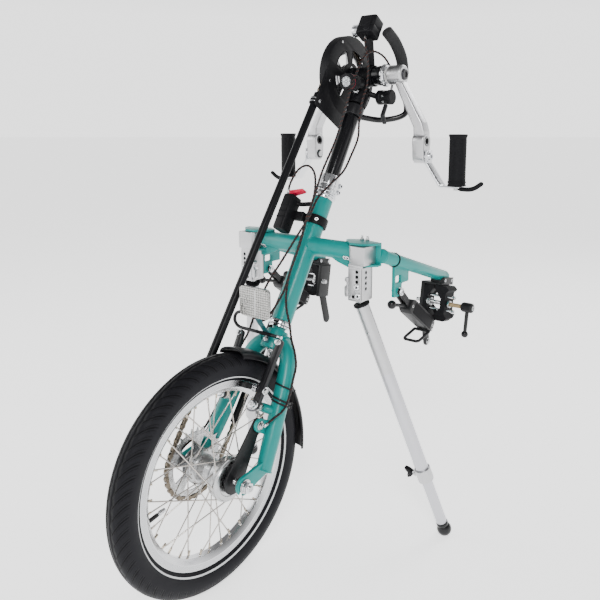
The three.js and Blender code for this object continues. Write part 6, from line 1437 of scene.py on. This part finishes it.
def brake_lever():
    """Housing under the crank shell and the blade hinged in it."""
    p = Piece("brake_lever_housing", "steered", "brake_lever_body", slot="black_plastic")
    centre = from_crank(LEVER.x, LEVER.y, LEVER.z)
    place = HEAD @ basis(centre, X, Y)
    p.lathe([(-17, 0), (-17, 13), (-15.6, 14.8), (-8, 14.9), (-7, 14.2), (7, 14.2), (8, 14.9), (15.6, 14.8),
             (17, 13), (17, 0)], "plastic", place, 56, 0.5)
    neck = centre - X * 13
    p.sweep([neck, neck.lerp(Vector((0, 0, CRANK_ALONG - 34)), 0.6), Vector((14.5, 0, CRANK_ALONG - 33))],
            [5.9, 5.7, 5.9], "plastic", HEAD, 24, 8)
    p.bar((-16.9, 0, 0), (16.95, 0, 0), 4.2, "zinc", place, 24)
    for k in range(3):
        a = math.radians(150 + 50 * k)
        socket_bolt(p, place, (0, 13.9 * math.cos(a), 13.9 * math.sin(a)), (0, math.cos(a), math.sin(a)),
                    2.4, 1,
                    "zinc")
    p.done()
    blade = Piece("brake_lever_blade", "brake_lever", "brake_lever", slot="black_alloy")
    top = centre.z - LEVER.radius - 0.3
    outline = [(0.1, -0.2), (5.9, -0.2), (5.9, -22.5), (20.8, -33.8), (18.2, -37.1), (0.2, -27.6)]
    blade.plate(fillet(outline, 4, 6), 8.8, "black_alloy",
                HEAD @ basis((LEVER.x + 4.5, centre.y, top), Y, Z), (), 1.9)
    blade.done()


PARK_ALONG = HEAD_TOP - 47
PARK = Sizes(x=-50, y=-30, wide=25.6, deep=31.6, tall=73.6, low=-24, high=26)


def parking_lever():
    """Parking lever unit with its band round the head tube, and the red latch on top."""
    p = Piece("parking_lever_case", "frame", "parking_lever_body", slot="black_plastic")
    place = HEAD @ basis((PARK.x, PARK.y, PARK_ALONG), X, Y)
    p.plate(rounded(PARK.wide, PARK.deep, 7, 8), PARK.tall, "plastic", place, (), 3.2)
    for side in (-1, 1):
        cheek = place @ basis((side * 12.7, 0, 0), Y, Z)
        p.plate(link((0, PARK.low), 12, (0, PARK.high), 9, 16), 0.8, "grip", cheek, (), 0.3)
        for z, radius, key in ((PARK.low, 4.4, "black_alloy"), (PARK.high, 2.6, "zinc")):
            socket_bolt(p, place, (side * 12.3, 0, z), (side, 0, 0), radius, 0.8, key)
    for z in (-12, 0, 12):
        p.plate(rounded(20, 4, 1.8, 4), 1.2, "grip", place @ basis((0, -15.6, z), X, Z), (), 0.5)
    p.pipe((0, 0, PARK_ALONG - 9), (0, 0, PARK_ALONG + 9), 23.3, 19.4, "plastic", HEAD, 56, 1.0)
    p.box((-50, -29, PARK_ALONG - 8.4), (-12, -15.4, PARK_ALONG + 8.4), "plastic", HEAD, 2.2)
    p.sweep([(-48, -29, HEAD_TOP - 25), (-30, -20, HEAD_TOP - 21), (-10.5, -17, HEAD_TOP - 17)], 4.3,
            "plastic", HEAD, 20, 8)
    socket_bolt(p, HEAD, (14, -17.6, PARK_ALONG), (0.6, -0.8, 0), 3.4, 1.2, "zinc")
    p.done()
    latch = Piece("parking_latch_lever", "parking_latch", "parking_latch", slot="red_plastic")
    pivot = Vector((-58, -30, PARK_ALONG + 42.3))
    outline = link((0, 0), 4.9, (29.2, 7.8), 2.4, 14)
    latch.plate(outline, 13.6, "red", HEAD @ basis(pivot, X, Z), (), 1.4)
    latch.bar(pivot - Y * 6.95, pivot + Y * 6.95, 2.0, "zinc", HEAD, 20)
    for k in range(3):
        ridge = pivot + Vector((17 + 4 * k, 0, 7.9 + 0.8 * k))
        latch.bar(ridge - Y * 5.6, ridge + Y * 5.6, 0.9, "red", HEAD, 12)
    latch.done()


# Frame
BAR_ALONG = 433.494
DOCK = Matrix.Translation(FOOT + ALONG * BAR_ALONG)
ARM_X = 162
ARM_FRONT = Vector((ARM_X, 6, -2))
ARM_END = Vector((ARM_X, 251, -84))
SLOPE = math.atan2(82, 245)
LUG = Vector((ARM_X, 66.025, -78.49))


def frame_tubes():
    """Head tube, crossbar, gussets, end brackets, arms and lugs, welded together."""
    p = Piece("frame_welded", "frame", "frame", slot="paint")
    p.pipe((0, 0, HEAD_LOW), (0, 0, HEAD_TOP), 18.9, 16.6, "teal", HEAD, 72, 0.8)
    p.pipe((0, 0, HEAD_LOW + 0.1), (0, 0, HEAD_LOW + 5), 19, 16.7, "teal", HEAD, 72, 0.8)
    p.bar((-113, 0, 0), (113, 0, 0), 16.9, "teal", DOCK, 64)
    c, sn = math.cos(TILT), math.sin(TILT)
    for s in (-1, 1):
        at = DOCK @ mirror(s)
        ring = []
        for k in range(52):
            a = TAU * k / 52
            y, z = 17 * math.cos(a), 17 * math.sin(a)
            ring.append(Vector((math.sqrt(19.1 ** 2 - (y * c - z * sn) ** 2) + 0.3, y, z)))
        weld(p, at, ring, "teal", 1.3)
        gusset = [(112, -6), (64, -6), (64, -14), (78, -21), (108, -30), (112, -30)]
        p.plate(fillet(gusset, 3), 4, "teal", at @ basis((0, -8.5, 0), X, Z), (), 0.8)
        end_bracket(p, at)
        rear_arm(p, at)
    p.done()


def end_bracket(p, at):
    """Two leaves and a back wall that hold the stand's block, with the catch's studs."""
    leaf = fillet([(112, -22), (116, -26), (140, -26), (162, -4), (162, 8), (112, 22), (90, 8), (90, 0)], 3)
    for z in (-19, 19):
        p.plate(leaf, 4, "teal", at @ basis((0, 0, z), X, Y), (), 0.9)
    p.box((90.2, 4.2, -20.8), (161.8, 7.8, 20.8), "teal", at, 0.9)
    weld(p, at, ring_at((110.5, 0, 0), X, 17.2), "teal", 1.3)
    for x in (117, 129):
        thread(p, at, (x, 12, 20.8), (x, 12, 29), 2.4, "zinc")
        p.nut((x, 12, 21), Z, 3.9, 3.4, "zinc", at, 0.4)
    for x in (98, 104):
        socket_bolt(p, at, (x, -13.6, -9), (0, -0.86, -0.5), 4.2, 2.6)


def rear_arm(p, at):
    """Arm with its end ball, front weld, slipped-on band and the lug below it."""
    axis = (ARM_END - ARM_FRONT).normalized()
    p.bar(ARM_FRONT, ARM_END, 11.9, "teal", at, 48)
    p.ball(ARM_END, 11.95, "teal", at, 48)
    p.pipe(ARM_END - axis * 9, ARM_END - axis * 7.6, 12, 11, "teal_dark", at, 48, 0.2)
    weld(p, at, ring_at(ARM_FRONT + axis * 3.4, axis, 12.2), "teal", 1.1)
    y, z = LUG.y, LUG.z

    def under(back):
        return ARM_FRONT.z - (back - ARM_FRONT.y) * math.tan(SLOPE) - 8

    outline = fillet([(y - 18, under(y - 18)), (y - 18, z - 9), (y + 9, z - 9), (y + 9, z + 14),
                      (y + 34, z + 14), (y + 34, under(y + 34))], 2.6)
    gap = fillet([(y - 14, z + 17), (y + 6, z + 17), (y + 6, z + 31), (y - 14, z + 31)], 3)
    p.plate(outline, 6, "teal", at @ basis((ARM_X, 0, 0), Y, Z), [gap, circle(4.4, 32, y, z)], 0.8)
    for side in (-1, 1):
        bead = [Vector((ARM_X + side * 3.4, y - 17 + 50 * k / 24, under(y - 17 + 50 * k / 24) - 3.4))
                for k in range(25)]
        p.sweep(bead, [1.5 + 0.25 * (k % 2) for k in range(25)], "teal", at, 8, 2)
    band = ARM_FRONT + axis * 46
    p.pipe(band - axis * 1.4, band + axis * 1.4, 13.6, 11.7, "grip", at, 40, 0.6)
    for k in range(3):
        socket_bolt(p, at, band + axis * 1 + Vector((4.4 * k - 4.4, 0, 13)), (0, 0.3, 1), 1.5, 1.4, "zinc")


# Stands
BLOCK = Sizes(inner=113.8, outer=152, front=-33, back=3.5, corner=13, chamfer=0.8, height=33.2)
CHANNEL = Sizes(x=132, y=-15, across=28, depth=35.4, height=60.6, wall=3, middle=-51.6, hole=3.1,
                front=-31.5, back=1.5, corner=2.4)


def stand_block(side, s):
    """Machined block with its perforated channel, bolts and ear."""
    p = Piece("stand_block_machined_" + side, "frame", "stand_block_" + side, slot="satin_aluminium")
    at = DOCK @ mirror(s)
    turn_x, turn_y = BLOCK.inner + BLOCK.corner, BLOCK.front + BLOCK.corner
    outline = [(BLOCK.inner, turn_y)]
    for k in range(9):
        a = math.pi + k * math.pi / 16
        outline.append((turn_x + BLOCK.corner * math.cos(a), turn_y + BLOCK.corner * math.sin(a)))
    outline += [(BLOCK.outer - BLOCK.chamfer, BLOCK.front), (BLOCK.outer, BLOCK.front + BLOCK.chamfer)]
    outline += [(BLOCK.outer, BLOCK.back), (BLOCK.inner, BLOCK.back)]
    p.plate(outline, BLOCK.height, "satin", at, (), 0.9)
    p.box((118.4, -32.8, -22), (145.6, -26.4, -16.4), "satin", at, 0.4)

    def wall(place, width, holes=()):
        outline = rounded(width, CHANNEL.height, CHANNEL.corner, 5)
        p.plate(outline, CHANNEL.wall, "satin", at @ place, holes, 0.6)

    def row(across, drops):
        return [circle(CHANNEL.hole, 20, across, CHANNEL.height / 2 - drop) for drop in drops]

    reach = (CHANNEL.across - CHANNEL.wall) / 2
    wall(basis((CHANNEL.x, CHANNEL.front, CHANNEL.middle), X, Z), CHANNEL.across,
         row(4.5, (7, 16, 25)) + row(-3, (52.6,)))
    wall(basis((CHANNEL.x + reach, CHANNEL.y, CHANNEL.middle), Y, Z), CHANNEL.depth,
         row(-2, (9, 18.8, 28.6, 38.4)))
    wall(basis((CHANNEL.x - reach, CHANNEL.y, CHANNEL.middle), Y, Z), CHANNEL.depth)
    wall(basis((CHANNEL.x, CHANNEL.back, CHANNEL.middle), X, Z), CHANNEL.across)
    top = CHANNEL.middle + CHANNEL.height / 2
    p.box((120, -31, -24.6), (144, 1, -21.5), "satin", at, 0.5)
    # Thin black sheets behind the holed channel walls: painted shade, so the holes read dark.
    p.box((121.6, -27, -80.5), (142.4, -26.6, -25), "black_coat", at, 0.05, 1)
    p.box((140, -28, -80.5), (140.4, -2, -25), "black_coat", at, 0.05, 1)
    for x, drop in ((137.5, 34), (140, 50)):
        z = top - drop
        p.bar((x, -32.9, z), (x, -33.9, z), 6.4, "zinc", at, 28, edge=0.3)
        socket_bolt(p, at, (x, -33.4, z), -Y, 5.2, 2.5)
    ear = fillet([(118.4, -73), (112, -78), (109.4, -73), (109.4, -58), (114, -54), (114, -50),
                  (109.4, -48), (110.6, -41), (118.4, -40.2)], 3)
    p.plate(ear, 11.8, "satin", at @ basis((0, -26.6, 0), X, Z), (), 1.4)
    p.done()


LEG_TOP = Vector((CHANNEL.x, CHANNEL.y, -82.3))
LEG_FOOT = Vector((256, 100, 12)) - Vector((0, 0, (FOOT + ALONG * BAR_ALONG).z))
LEG_AXIS = (LEG_FOOT - LEG_TOP).normalized()


def stand_leg(side, s):
    """Outer tube with its gasket, collar, spring button and wing knob."""
    p = Piece("stand_outer_tube_" + side, "frame", "stand_leg_" + side, slot="satin_aluminium")
    at = DOCK @ mirror(s)

    def on(distance):
        return LEG_TOP + LEG_AXIS * distance

    total = (LEG_FOOT - LEG_TOP).length
    start = total * 0.72
    p.bar(on(-3), on(9), 7, "zinc", at, 32)
    p.pipe(on(6), on(11), 14.9, 7, "grip", at, 56, 1.1)
    p.pipe(on(8.6), on(start + 26), 12.45, 10.6, "tube_alloy", at, 64, 0.4)
    seam = total * 0.3
    p.pipe(on(11), on(seam), 12.5, 12.2, "satin", at, 64, 0.1)
    p.pipe(on(start), on(start + 26), 15.4, 10.6, "satin", at, 64, 1.6)
    p.pipe(on(start + 0.6), on(start + 2.4), 15.5, 12, "zinc", at, 64, 0.4)
    outward = Vector((-1, 0, 0)) + LEG_AXIS * LEG_AXIS.x
    outward.normalize()
    middle = on(start + 13)

    def out(reach):
        return middle + outward * (15.5 + reach)

    p.bar(out(-2), out(4.8), 6.6, "zinc", at, 32)
    p.nut(out(1), outward, 6.4, 3.8, "chrome", at, 0.6)
    thread(p, at, out(-1), out(16), 3.3, "zinc")
    wing = at @ basis(out(17.5), LEG_AXIS, outward)
    bow = fillet([(-11.9, 7.4), (-9, -1.5), (-3.6, -7.4), (3.6, -7.4), (9, -1.5), (11.9, 7.4), (5, 6.4),
                  (0, 3.4), (-5, 6.4)], 1.6, 4)
    p.plate(bow, 8.8, "plastic", wing, (), 1.8)
    p.bar(out(9.8), out(17), 5.2, "plastic", at, 24)
    button = LEG_TOP.lerp(LEG_FOOT, 0.13)
    p.bar(button - Y * 11, button - Y * 13.9, 2.9, "zinc", at, 24, edge=0.9)
    p.done()


def stand_foot(side, s):
    """Inner tube with a dark collar and the glossy ball."""
    p = Piece("stand_inner_tube_" + side, "stand_foot_" + side, "stand_foot_" + side,
              slot="satin_aluminium")
    at = DOCK @ mirror(s)
    p.bar(LEG_TOP.lerp(LEG_FOOT, 0.45), LEG_FOOT - LEG_AXIS * 4, 10.3, "tube_alloy", at, 56)
    p.bar(LEG_FOOT - LEG_AXIS * 15.5, LEG_FOOT - LEG_AXIS * 8, 11.4, "black_gloss", at, 48, edge=1.2)
    flat = -12 / 14
    steps = 26
    low = math.asin(flat)
    profile = [(flat * 14, 0)]
    for k in range(steps + 1):
        a = low + (math.pi / 2 - low) * k / steps
        profile.append((14 * math.sin(a), max(0.0, 13.95 * math.cos(a))))
    profile[-1] = (13.95, 0)
    p.lathe(profile, "black_gloss", at @ basis(LEG_FOOT, Z, X), 56)
    p.done()


# Toggles and wheelchair clamps
TOGGLE_ANGLE = math.radians(35.5)
TOGGLE_AXIS = Vector((0, math.cos(TOGGLE_ANGLE), -math.sin(TOGGLE_ANGLE)))
TOGGLE_UP = Vector((0, math.sin(TOGGLE_ANGLE), math.cos(TOGGLE_ANGLE)))
TOGGLE_START = LUG + Vector((0, 31, -31.5))
TOGGLE_LENGTH = (251 - LUG.y - 31 - 62) / math.cos(TOGGLE_ANGLE)


TOGGLE = Sizes(half=14.8, mouth=10.4, cut=10, inset=0.2, thick=25.6, ear_x=5.8)


def toggle(side, s):
    """Locking toggle: moulded body between its ears, the pivot bolt and the ball lever."""
    p = Piece("toggle_lock_" + side, "toggle_" + side, "toggle_" + side, slot="black_steel")
    at = DOCK @ mirror(s)
    length = TOGGLE_LENGTH
    body = at @ basis(TOGGLE_START, TOGGLE_AXIS, TOGGLE_UP)
    low = [(TOGGLE.inset, -TOGGLE.mouth), (TOGGLE.cut, -TOGGLE.half), (length - TOGGLE.cut, -TOGGLE.half),
           (length - TOGGLE.inset, -TOGGLE.mouth)]
    outline = low + [(x, -y) for x, y in reversed(low)]
    p.plate(fillet(outline, 3, 4), TOGGLE.thick, "black_coat", body, (), 1.6)
    cover = rounded(length - 26, 22, 3, 5)
    for way in (-1, 1):
        p.plate(cover, 0.7, "pad", body @ Matrix.Translation((length / 2, 0, way * 12.7)), (), 0.2)
    p.box((12, 14.2, -10), (length - 12, 14.95, 10), "pad", body, 0.3, 1)
    for x in (7, length - 7):
        for way in (-1, 1):
            socket_bolt(p, body, (x, 0, way * 12.5), (0, 0, way), 3.2, 0.5, "zinc")
    for y in (9, -8):
        p.bar((length - 4, y, -12.9), (length - 4, y, 12.9), 2.4, "zinc", body, 20)
    tail = TOGGLE_START + TOGGLE_AXIS * 10
    ear = link((LUG.y, LUG.z), 5.9, (tail.y, tail.z), 5.9, 14)

    def on_pin(x):
        return Vector((ARM_X + x, LUG.y, LUG.z))

    for way in (-1, 1):
        p.plate(ear, 4.8, "black_coat", at @ basis((ARM_X + way * TOGGLE.ear_x, 0, 0), Y, Z), (), 1.0)
        p.bar(on_pin(way * 8.2), on_pin(way * 9), 7.6, "chrome", at, 28)
        p.nut(on_pin(way * 8.9), (way, 0, 0), 6.2, 2.3, "chrome", at, 0.5)
        p.pipe(on_pin(way * 3.3), on_pin(way * 3.5), 7.2, 4.2, "chrome", at, 28)
    p.bar(on_pin(-11.2), on_pin(11.2), 3.9, "zinc", at, 24)
    knob = LUG + Vector((0, -21, -21.5))
    p.ball(knob, 8.4, "black_gloss", at, 36)
    lead = (tail - knob).normalized()
    p.bar(knob + lead * 6, tail, 3.4, "black_coat", at, 24)
    p.bar(knob + lead * 7, knob + lead * 11, 5, "black_gloss", at, 28, 3.8)
    p.done()


def bail(side, s):
    """Wire bail bent into a long loop."""
    p = Piece("toggle_wire_" + side, "toggle_bail_" + side, "toggle_bail_" + side, slot="black_steel")
    at = DOCK @ mirror(s)
    pivot = TOGGLE_START + TOGGLE_AXIS * (TOGGLE_LENGTH - 20) - TOGGLE_UP * 18.3
    half = 16.3

    def place(way, out):
        return pivot + Vector((way * half, -out, -9 * out / 44))

    loop = [place(-1, 0), place(-1, 12), place(-1, 36), place(-0.8, 43.2), place(-0.5, 44), place(0.5, 44),
            place(0.8, 43.2), place(1, 36), place(1, 12), place(1, 0), place(0.8, -0.6), place(-0.8, -0.6)]
    p.sweep(loop, 2.9, "black_coat", at, 20, 6, closed=True)
    p.done()


CLAMP_TILT = SLOPE / 2
CLAMP = DOCK @ Matrix.Translation((0, 251, -84)) @ Matrix.Rotation(-CLAMP_TILT, 4, "X")
JAW_DROP = 53
JAW_Y = -27


HANGER = Sizes(out=-31.3, inner=15.5, front=-36, back=2, low=-36, top=36.3, wall=8, roof=4, bore=12.4,
               saddle=52, rod_rise=14)


def clamp_body(side, s):
    """Clamp body: saddle on the arm's end, spine, strut, knurled nut and the two guide rods."""
    p = Piece("clamp_hanger_" + side, "frame", "clamp_body_" + side, slot="black_steel")
    at = CLAMP @ mirror(s) @ Matrix.Translation((ARM_X, 0, -JAW_DROP))
    roof = HANGER.top + HANGER.roof
    p.box((HANGER.out, HANGER.front, HANGER.low), (HANGER.out + HANGER.wall, HANGER.back, roof),
          "black_coat", at, 1.2)
    p.box((HANGER.out, HANGER.front, HANGER.top), (HANGER.inner, HANGER.back, roof), "black_coat", at, 1.0)
    lean = SLOPE - CLAMP_TILT
    rows = []
    for k in range(9):
        y = -25.6 + 41 * k / 8
        centre = JAW_DROP - y * math.tan(lean)
        row = [(15.4, 51.4), (14.9, 52)]
        for i in range(17):
            a = math.pi * i / 16
            z = centre - HANGER.bore * math.sin(a)
            row.append((HANGER.bore * math.cos(a), min(HANGER.saddle, z)))
        row += [(-14.9, 52), (-15.4, 51.4), (-15.4, 36.5), (15.4, 36.5)]
        rows.append([at @ Vector((x, y, z)) for x, z in row])
    p.grid(rows, "black_coat")
    for y in (-20, 10):
        socket_bolt(p, at, (-15.2, y, 46), (-1, 0, 0), 3.4, 2.4)
        socket_bolt(p, at, (15.2, y, 46), (1, 0, 0), 3.4, 0.3)
    strut = link((-20, JAW_DROP - 79), 9.8, (8, JAW_DROP - 143), 9.8, 16)
    p.plate(strut, 5.4, "black_coat", at @ basis((-28.1, 0, 0), Y, Z), (), 1.4)
    hex_bolt(p, at, (-25.3, 8, -90), X, 5, 3.9)
    socket_bolt(p, at, (-25.3, -20, -26), X, 3.2, 1.8, "zinc")
    p.pipe((-27, JAW_Y, 0), (-7.8, JAW_Y, 0), 6.4, 4.85, "zinc", at, 40, 0.4)
    knurl = []
    for k in range(48):
        r = 8.45 if k % 2 else 8.0
        knurl.append((r * math.cos(TAU * k / 48), r * math.sin(TAU * k / 48)))
    p.plate(knurl, 8.8, "zinc", at @ basis((-12.2, JAW_Y, 0), Y, Z), [circle(4.9, 24)], 0.6)
    for way in (-1, 1):
        z = way * HANGER.rod_rise
        p.bar((-28, JAW_Y, z), (40, JAW_Y, z), 2.45, "chrome", at, 24)
        socket_bolt(p, at, (39.8, JAW_Y, z), X, 3.9, 4.1)
        p.bar((-22, JAW_Y, z), (-20, JAW_Y, z), 2.49, "zinc", at, 20)
    p.done()


def jaw(side, s, outer):
    """Notched jaw with ribbed gripping lips, cut away at its heel."""
    part = "outer" if outer else "inner"
    body = ("clamp_slider_" + side) if outer else "frame"
    p = Piece("clamp_jaw_block_" + part + "_" + side, body, "clamp_jaw_" + part + "_" + side, slot="rubber")
    at = CLAMP @ mirror(s) @ Matrix.Translation((ARM_X, 0, -JAW_DROP)) @ mirror(1 if outer else -1)
    back, waist = (33, 27) if outer else (23, 23)
    front = -38 if outer else -36
    inner = [(2.5, -35.9), (2.5, -28), (17, -9), (17, 9), (2.5, 28), (2.5, 35.9)]
    outside = [(back - 6, 35.9), (back, 30)]
    if outer:
        outside += [(33, 28), (waist, 22), (waist, -22), (33, -28)]
    outside += [(back, -30), (back - 6, -35.9)]
    outline = fillet([*inner, *outside], 2, 3)
    slices = jaw_slices(front)
    rows = []
    for y, notch, lift in slices:
        row = []
        for x, z in outline:
            near = max(0.0, 1 - max(0.0, x - 2.5) / 3)
            row.append(at @ Vector((x + notch * near * (1 if abs(z) > 20 else 0), y, max(z, lift))))
        rows.append(row)
    p.grid(rows, "pad")
    for way in (-1, 1):
        for k in range(3):
            y = front + 6 + 7 * k + (9 if k > 1 else 0)
            if y > -2:
                continue
            p.box((2.52, y, way * 29.4), (4.2, y + 1.4, way * 35.2), "grip", at, 0.3, 1)
    if outer:
        p.box((26.4, -31, -8), (27.4, -3, 8), "grip", at, 0.4, 1)
    p.done(40)


def jaw_slices(front):
    """Sections along the jaw: its ends, the groove for the clamped tube and the slanted heel."""
    groove, half = -9, 8
    places = [(front, 0), (front + 1, 0), (groove - half, 0), (groove - half / 2, half / 2), (groove, half),
              (groove + half / 2, half / 2), (groove + half, 0), (1.4, 0), (2, 0)]
    slices = []
    for y, notch in places:
        lift = -35.9 + max(0.0, y - (2 - 14))
        slices.append((y, notch, lift))
    return slices


def clamp_screw(side, s):
    """Clamping screw with its nut, black head and ball-ended lever."""
    p = Piece("clamp_spindle_" + side, "clamp_screw_" + side, "clamp_screw_" + side, slot="steel")
    at = CLAMP @ mirror(s) @ Matrix.Translation((ARM_X, JAW_Y, -JAW_DROP))
    thread(p, at, (-41.9, 0, 0), (34, 0, 0), 4.3, "zinc", 1.6)
    thread(p, at, (33.6, 0, 0), (60.5, 0, 0), 4.4, "brass_thread", 1.6)
    p.nut((27.4, 0, 0), X, 7.8, 5.8, "zinc", at, 0.7)
    p.pipe((33.2, 0, 0), (34.6, 0, 0), 7.2, 4.4, "zinc", at, 32, 0.3)
    p.lathe([(60.1, 0), (60.1, 7.6), (61, 8.6), (64, 9.9), (80, 9.9), (82.6, 9), (83.9, 7), (83.9, 0)],
            "black_coat", at, 48, 0.8)
    socket_bolt(p, at, (83.8, 0, 0), X, 5, 0.15, "zinc")
    p.bar((72, 0, 0), (72, 0, -52), 3.9, "black_coat", at, 28, 3.6)
    p.ball((72, 0, -53.5), 6.95, "black_gloss", at, 36)
    p.done()


# Cables
CABLES = {
    "brake_cable": (
        (CRANK_ALONG, ((47, 37, -14), (47, 22, 18), (42, -15, 33), (36, -52, 21), (33, -67, -12),
                       (32, -69, -77))),
        (HEAD_TOP, ((26, -55, 111), (23, -58, 35), (23, -56, -15), (22, -55, -56), (22, -49, -111),
                    (20, -47, -164))),
        (CROWN_TOP, ((14, -40, 59), (0, -45, 8), (-20, -54, 6), (-46, -53, 15))),
    ),
    "gear_cable": (
        (CRANK_ALONG, ((16, -62, 53), (20, -60, 36), (27, -46, 10), (31, -36, -14), (32, -26, -44),
                       (30, -22, -74))),
        (HEAD_TOP, ((27, -6, 171), (26, 8, 143), (27, 4, 101), (29, -6, 61), (29, -30, 21), (29, -52, -19),
                    (28, -57, -59), (17, -58, -99), (0, -54, -145))),
        (CROWN_TOP, ((-22, -47, 72), (-38, -34, 28), (-54, -16, -18), (-69, -6, -50))),
        (0, ((-75, 0, 150), (-81, -2, 90), (-86, -9, 50), (-91.4, -30, 20), (-91.4, -39.8, 2))),
    ),
    "parking_cable": (
        (HEAD_TOP, ((-56, -42, -9), (-56, -44, 15), (-44, -48, 41), (-22, -50, 48), (-2, -48, 33),
                    (9, -44, 1), (13, -44, -31), (14, -44, -69), (14, -41, -114), (13, -38, -164))),
        (CROWN_TOP, ((14, -32, 70), (23, -27, 40), (32, -14, 14), (42, -8, -10), (58, -8, -30),
                     (69, -6, -52), (71, -4, -74))),
        (0, ((75, -4, 150), (76, -11, 130), (72, -24, 113), (65, -32, 96))),
    ),
}


def cable_route(name):
    places = []
    for landmark, stops in CABLES[name]:
        for x, y, along in stops:
            places.append(Vector((x, y, landmark + along)))
    return places


def cable(name):
    """Sheathed cable with a spiral wrap and a ferrule at each end."""
    p = Piece(name + "_sheath", "steered", name, slot="cable")
    route = cable_route(name)
    p.sweep(route, 2.0, "sheath", HEAD, 16, 10)
    path, _ = smooth_path(route, 1, 60, False)
    frames = carry(path)
    coil = []
    run = 0.0
    for k, (place, (u, w)) in enumerate(zip(path, frames)):
        if k:
            run += (place - path[k - 1]).length
        a = TAU * run / 9.5
        coil.append(place + u * (1.75 * math.cos(a)) + w * (1.75 * math.sin(a)))
    p.sweep(coil, 0.75, "wrap", HEAD, 6, 1)
    for a, b in ((route[0], route[1]), (route[-1], route[-2])):
        heading = (b - a).normalized()
        p.bar(a, a + heading * 9, 2.5, "zinc", HEAD, 20)
    if name == "parking_cable":
        for along, x in ((170, 55.5), (147, 58.2), (141, 58.8)):
            tie(p, HEAD, (x, -0.5, along), (0.12, 0, 1), 17.2)
    p.done(60)


# Stage, light and camera
HORIZON = 2.2
OVERHEAD = 0.14
FLOOR_GLOW = 1.43


def stage():
    """Pale floor that reaches past the camera's horizon."""
    floor = bpy.data.meshes.new("floor")
    bm = bmesh.new()
    bmesh.ops.create_circle(bm, cap_ends=True, radius=90, segments=96)
    bm.to_mesh(floor)
    bm.free()
    g = Graph("pale_floor", Emission_Color=(1, 1, 1, 1), Emission_Strength=FLOOR_GLOW)
    g.set(g.shader, Base_Color=g.mix(g.noise(1.5), (0.9, 0.9, 0.9, 1), (0.93, 0.93, 0.93, 1)))
    g.set(g.shader, Roughness=g.span(g.noise(4), 0.6, 0.7))
    floor.materials.append(g.mat)
    obj = bpy.data.objects.new("floor", floor)
    bpy.context.scene.collection.objects.link(obj)


def light(name, place, target, size, power):
    data = bpy.data.lights.new(name, "AREA")
    data.shape = "DISK"
    data.size = size
    data.energy = power
    obj = bpy.data.objects.new(name, data)
    obj.location = place
    obj.rotation_mode = "QUATERNION"
    obj.rotation_quaternion = (Vector(target) - Vector(place)).to_track_quat("-Z", "Y")
    bpy.context.scene.collection.objects.link(obj)


VIEW = Sizes(frame=600, focal=635.22, centre=(323.69, 238.08), eye=(0.75078, -0.67444, 0.77425),
             towards=(-0.599249, 0.782472, -0.169226))


def camera():
    """Camera whose focal length and middle are given in points of the square frame."""
    data = bpy.data.cameras.new("camera")
    data.sensor_width = 36
    data.lens = 36 * VIEW.focal / VIEW.frame
    data.shift_x = (VIEW.frame / 2 - VIEW.centre[0]) / VIEW.frame
    data.shift_y = (VIEW.centre[1] - VIEW.frame / 2) / VIEW.frame
    data.clip_start, data.clip_end = 0.01, 60
    obj = bpy.data.objects.new("camera", data)
    obj.location = VIEW.eye
    obj.rotation_mode = "QUATERNION"
    obj.rotation_quaternion = Vector(VIEW.towards).to_track_quat("-Z", "Y")
    bpy.context.scene.collection.objects.link(obj)
    bpy.context.scene.camera = obj


def world():
    """White round the horizon and softer overhead."""
    made = bpy.data.worlds.new("studio")
    made.use_nodes = True
    tree = made.node_tree
    back = tree.nodes["Background"]
    coord = tree.nodes.new("ShaderNodeTexCoord")
    parts = tree.nodes.new("ShaderNodeSeparateXYZ")
    ramp = tree.nodes.new("ShaderNodeValToRGB")
    low, high = ramp.color_ramp.elements
    low.position, low.color = 0.16, (1, 1, 1, 1)
    high.position, high.color = 0.5, (OVERHEAD, OVERHEAD, OVERHEAD, 1)
    tree.links.new(coord.outputs["Generated"], parts.inputs[0])
    tree.links.new(parts.outputs["Z"], ramp.inputs[0])
    tree.links.new(ramp.outputs[0], back.inputs["Color"])
    back.inputs["Strength"].default_value = HORIZON
    bpy.context.scene.world = made


stage()
world()
light("key", (1.6, -2.0, 2.4), (0, 0.1, 0.5), 1.2, 70)
light("fill", (-2.2, -1.2, 1.6), (0, 0.1, 0.5), 1.8, 28)
light("rim", (0.2, 2.4, 2.2), (0, 0.2, 0.5), 1.4, 30)
camera()


# Every piece
tyre()
rim()
hub()
axle()
sprocket()
chain()
fork()
torque_arm()
noodle()
mudguard()
reflector()
headset()
clamp_ring()
column()
chain_guard()
chain_tube(True)
chain_tube(False)
crank_axle()
chainring()
hand_rest()
headlight()
lens()
lamp_clamp()
selector()
dial()
brake_lever()
parking_lever()
frame_tubes()
for side, s in (("left", 1), ("right", -1)):
    brake_arm(side, s)
    crank(side, s)
    pedal_bracket(side, s)
    grip(side, s)
    stand_block(side, s)
    stand_leg(side, s)
    stand_foot(side, s)
    toggle(side, s)
    bail(side, s)
    clamp_body(side, s)
    jaw(side, s, False)
    jaw(side, s, True)
    clamp_screw(side, s)
for name in CABLES:
    cable(name)
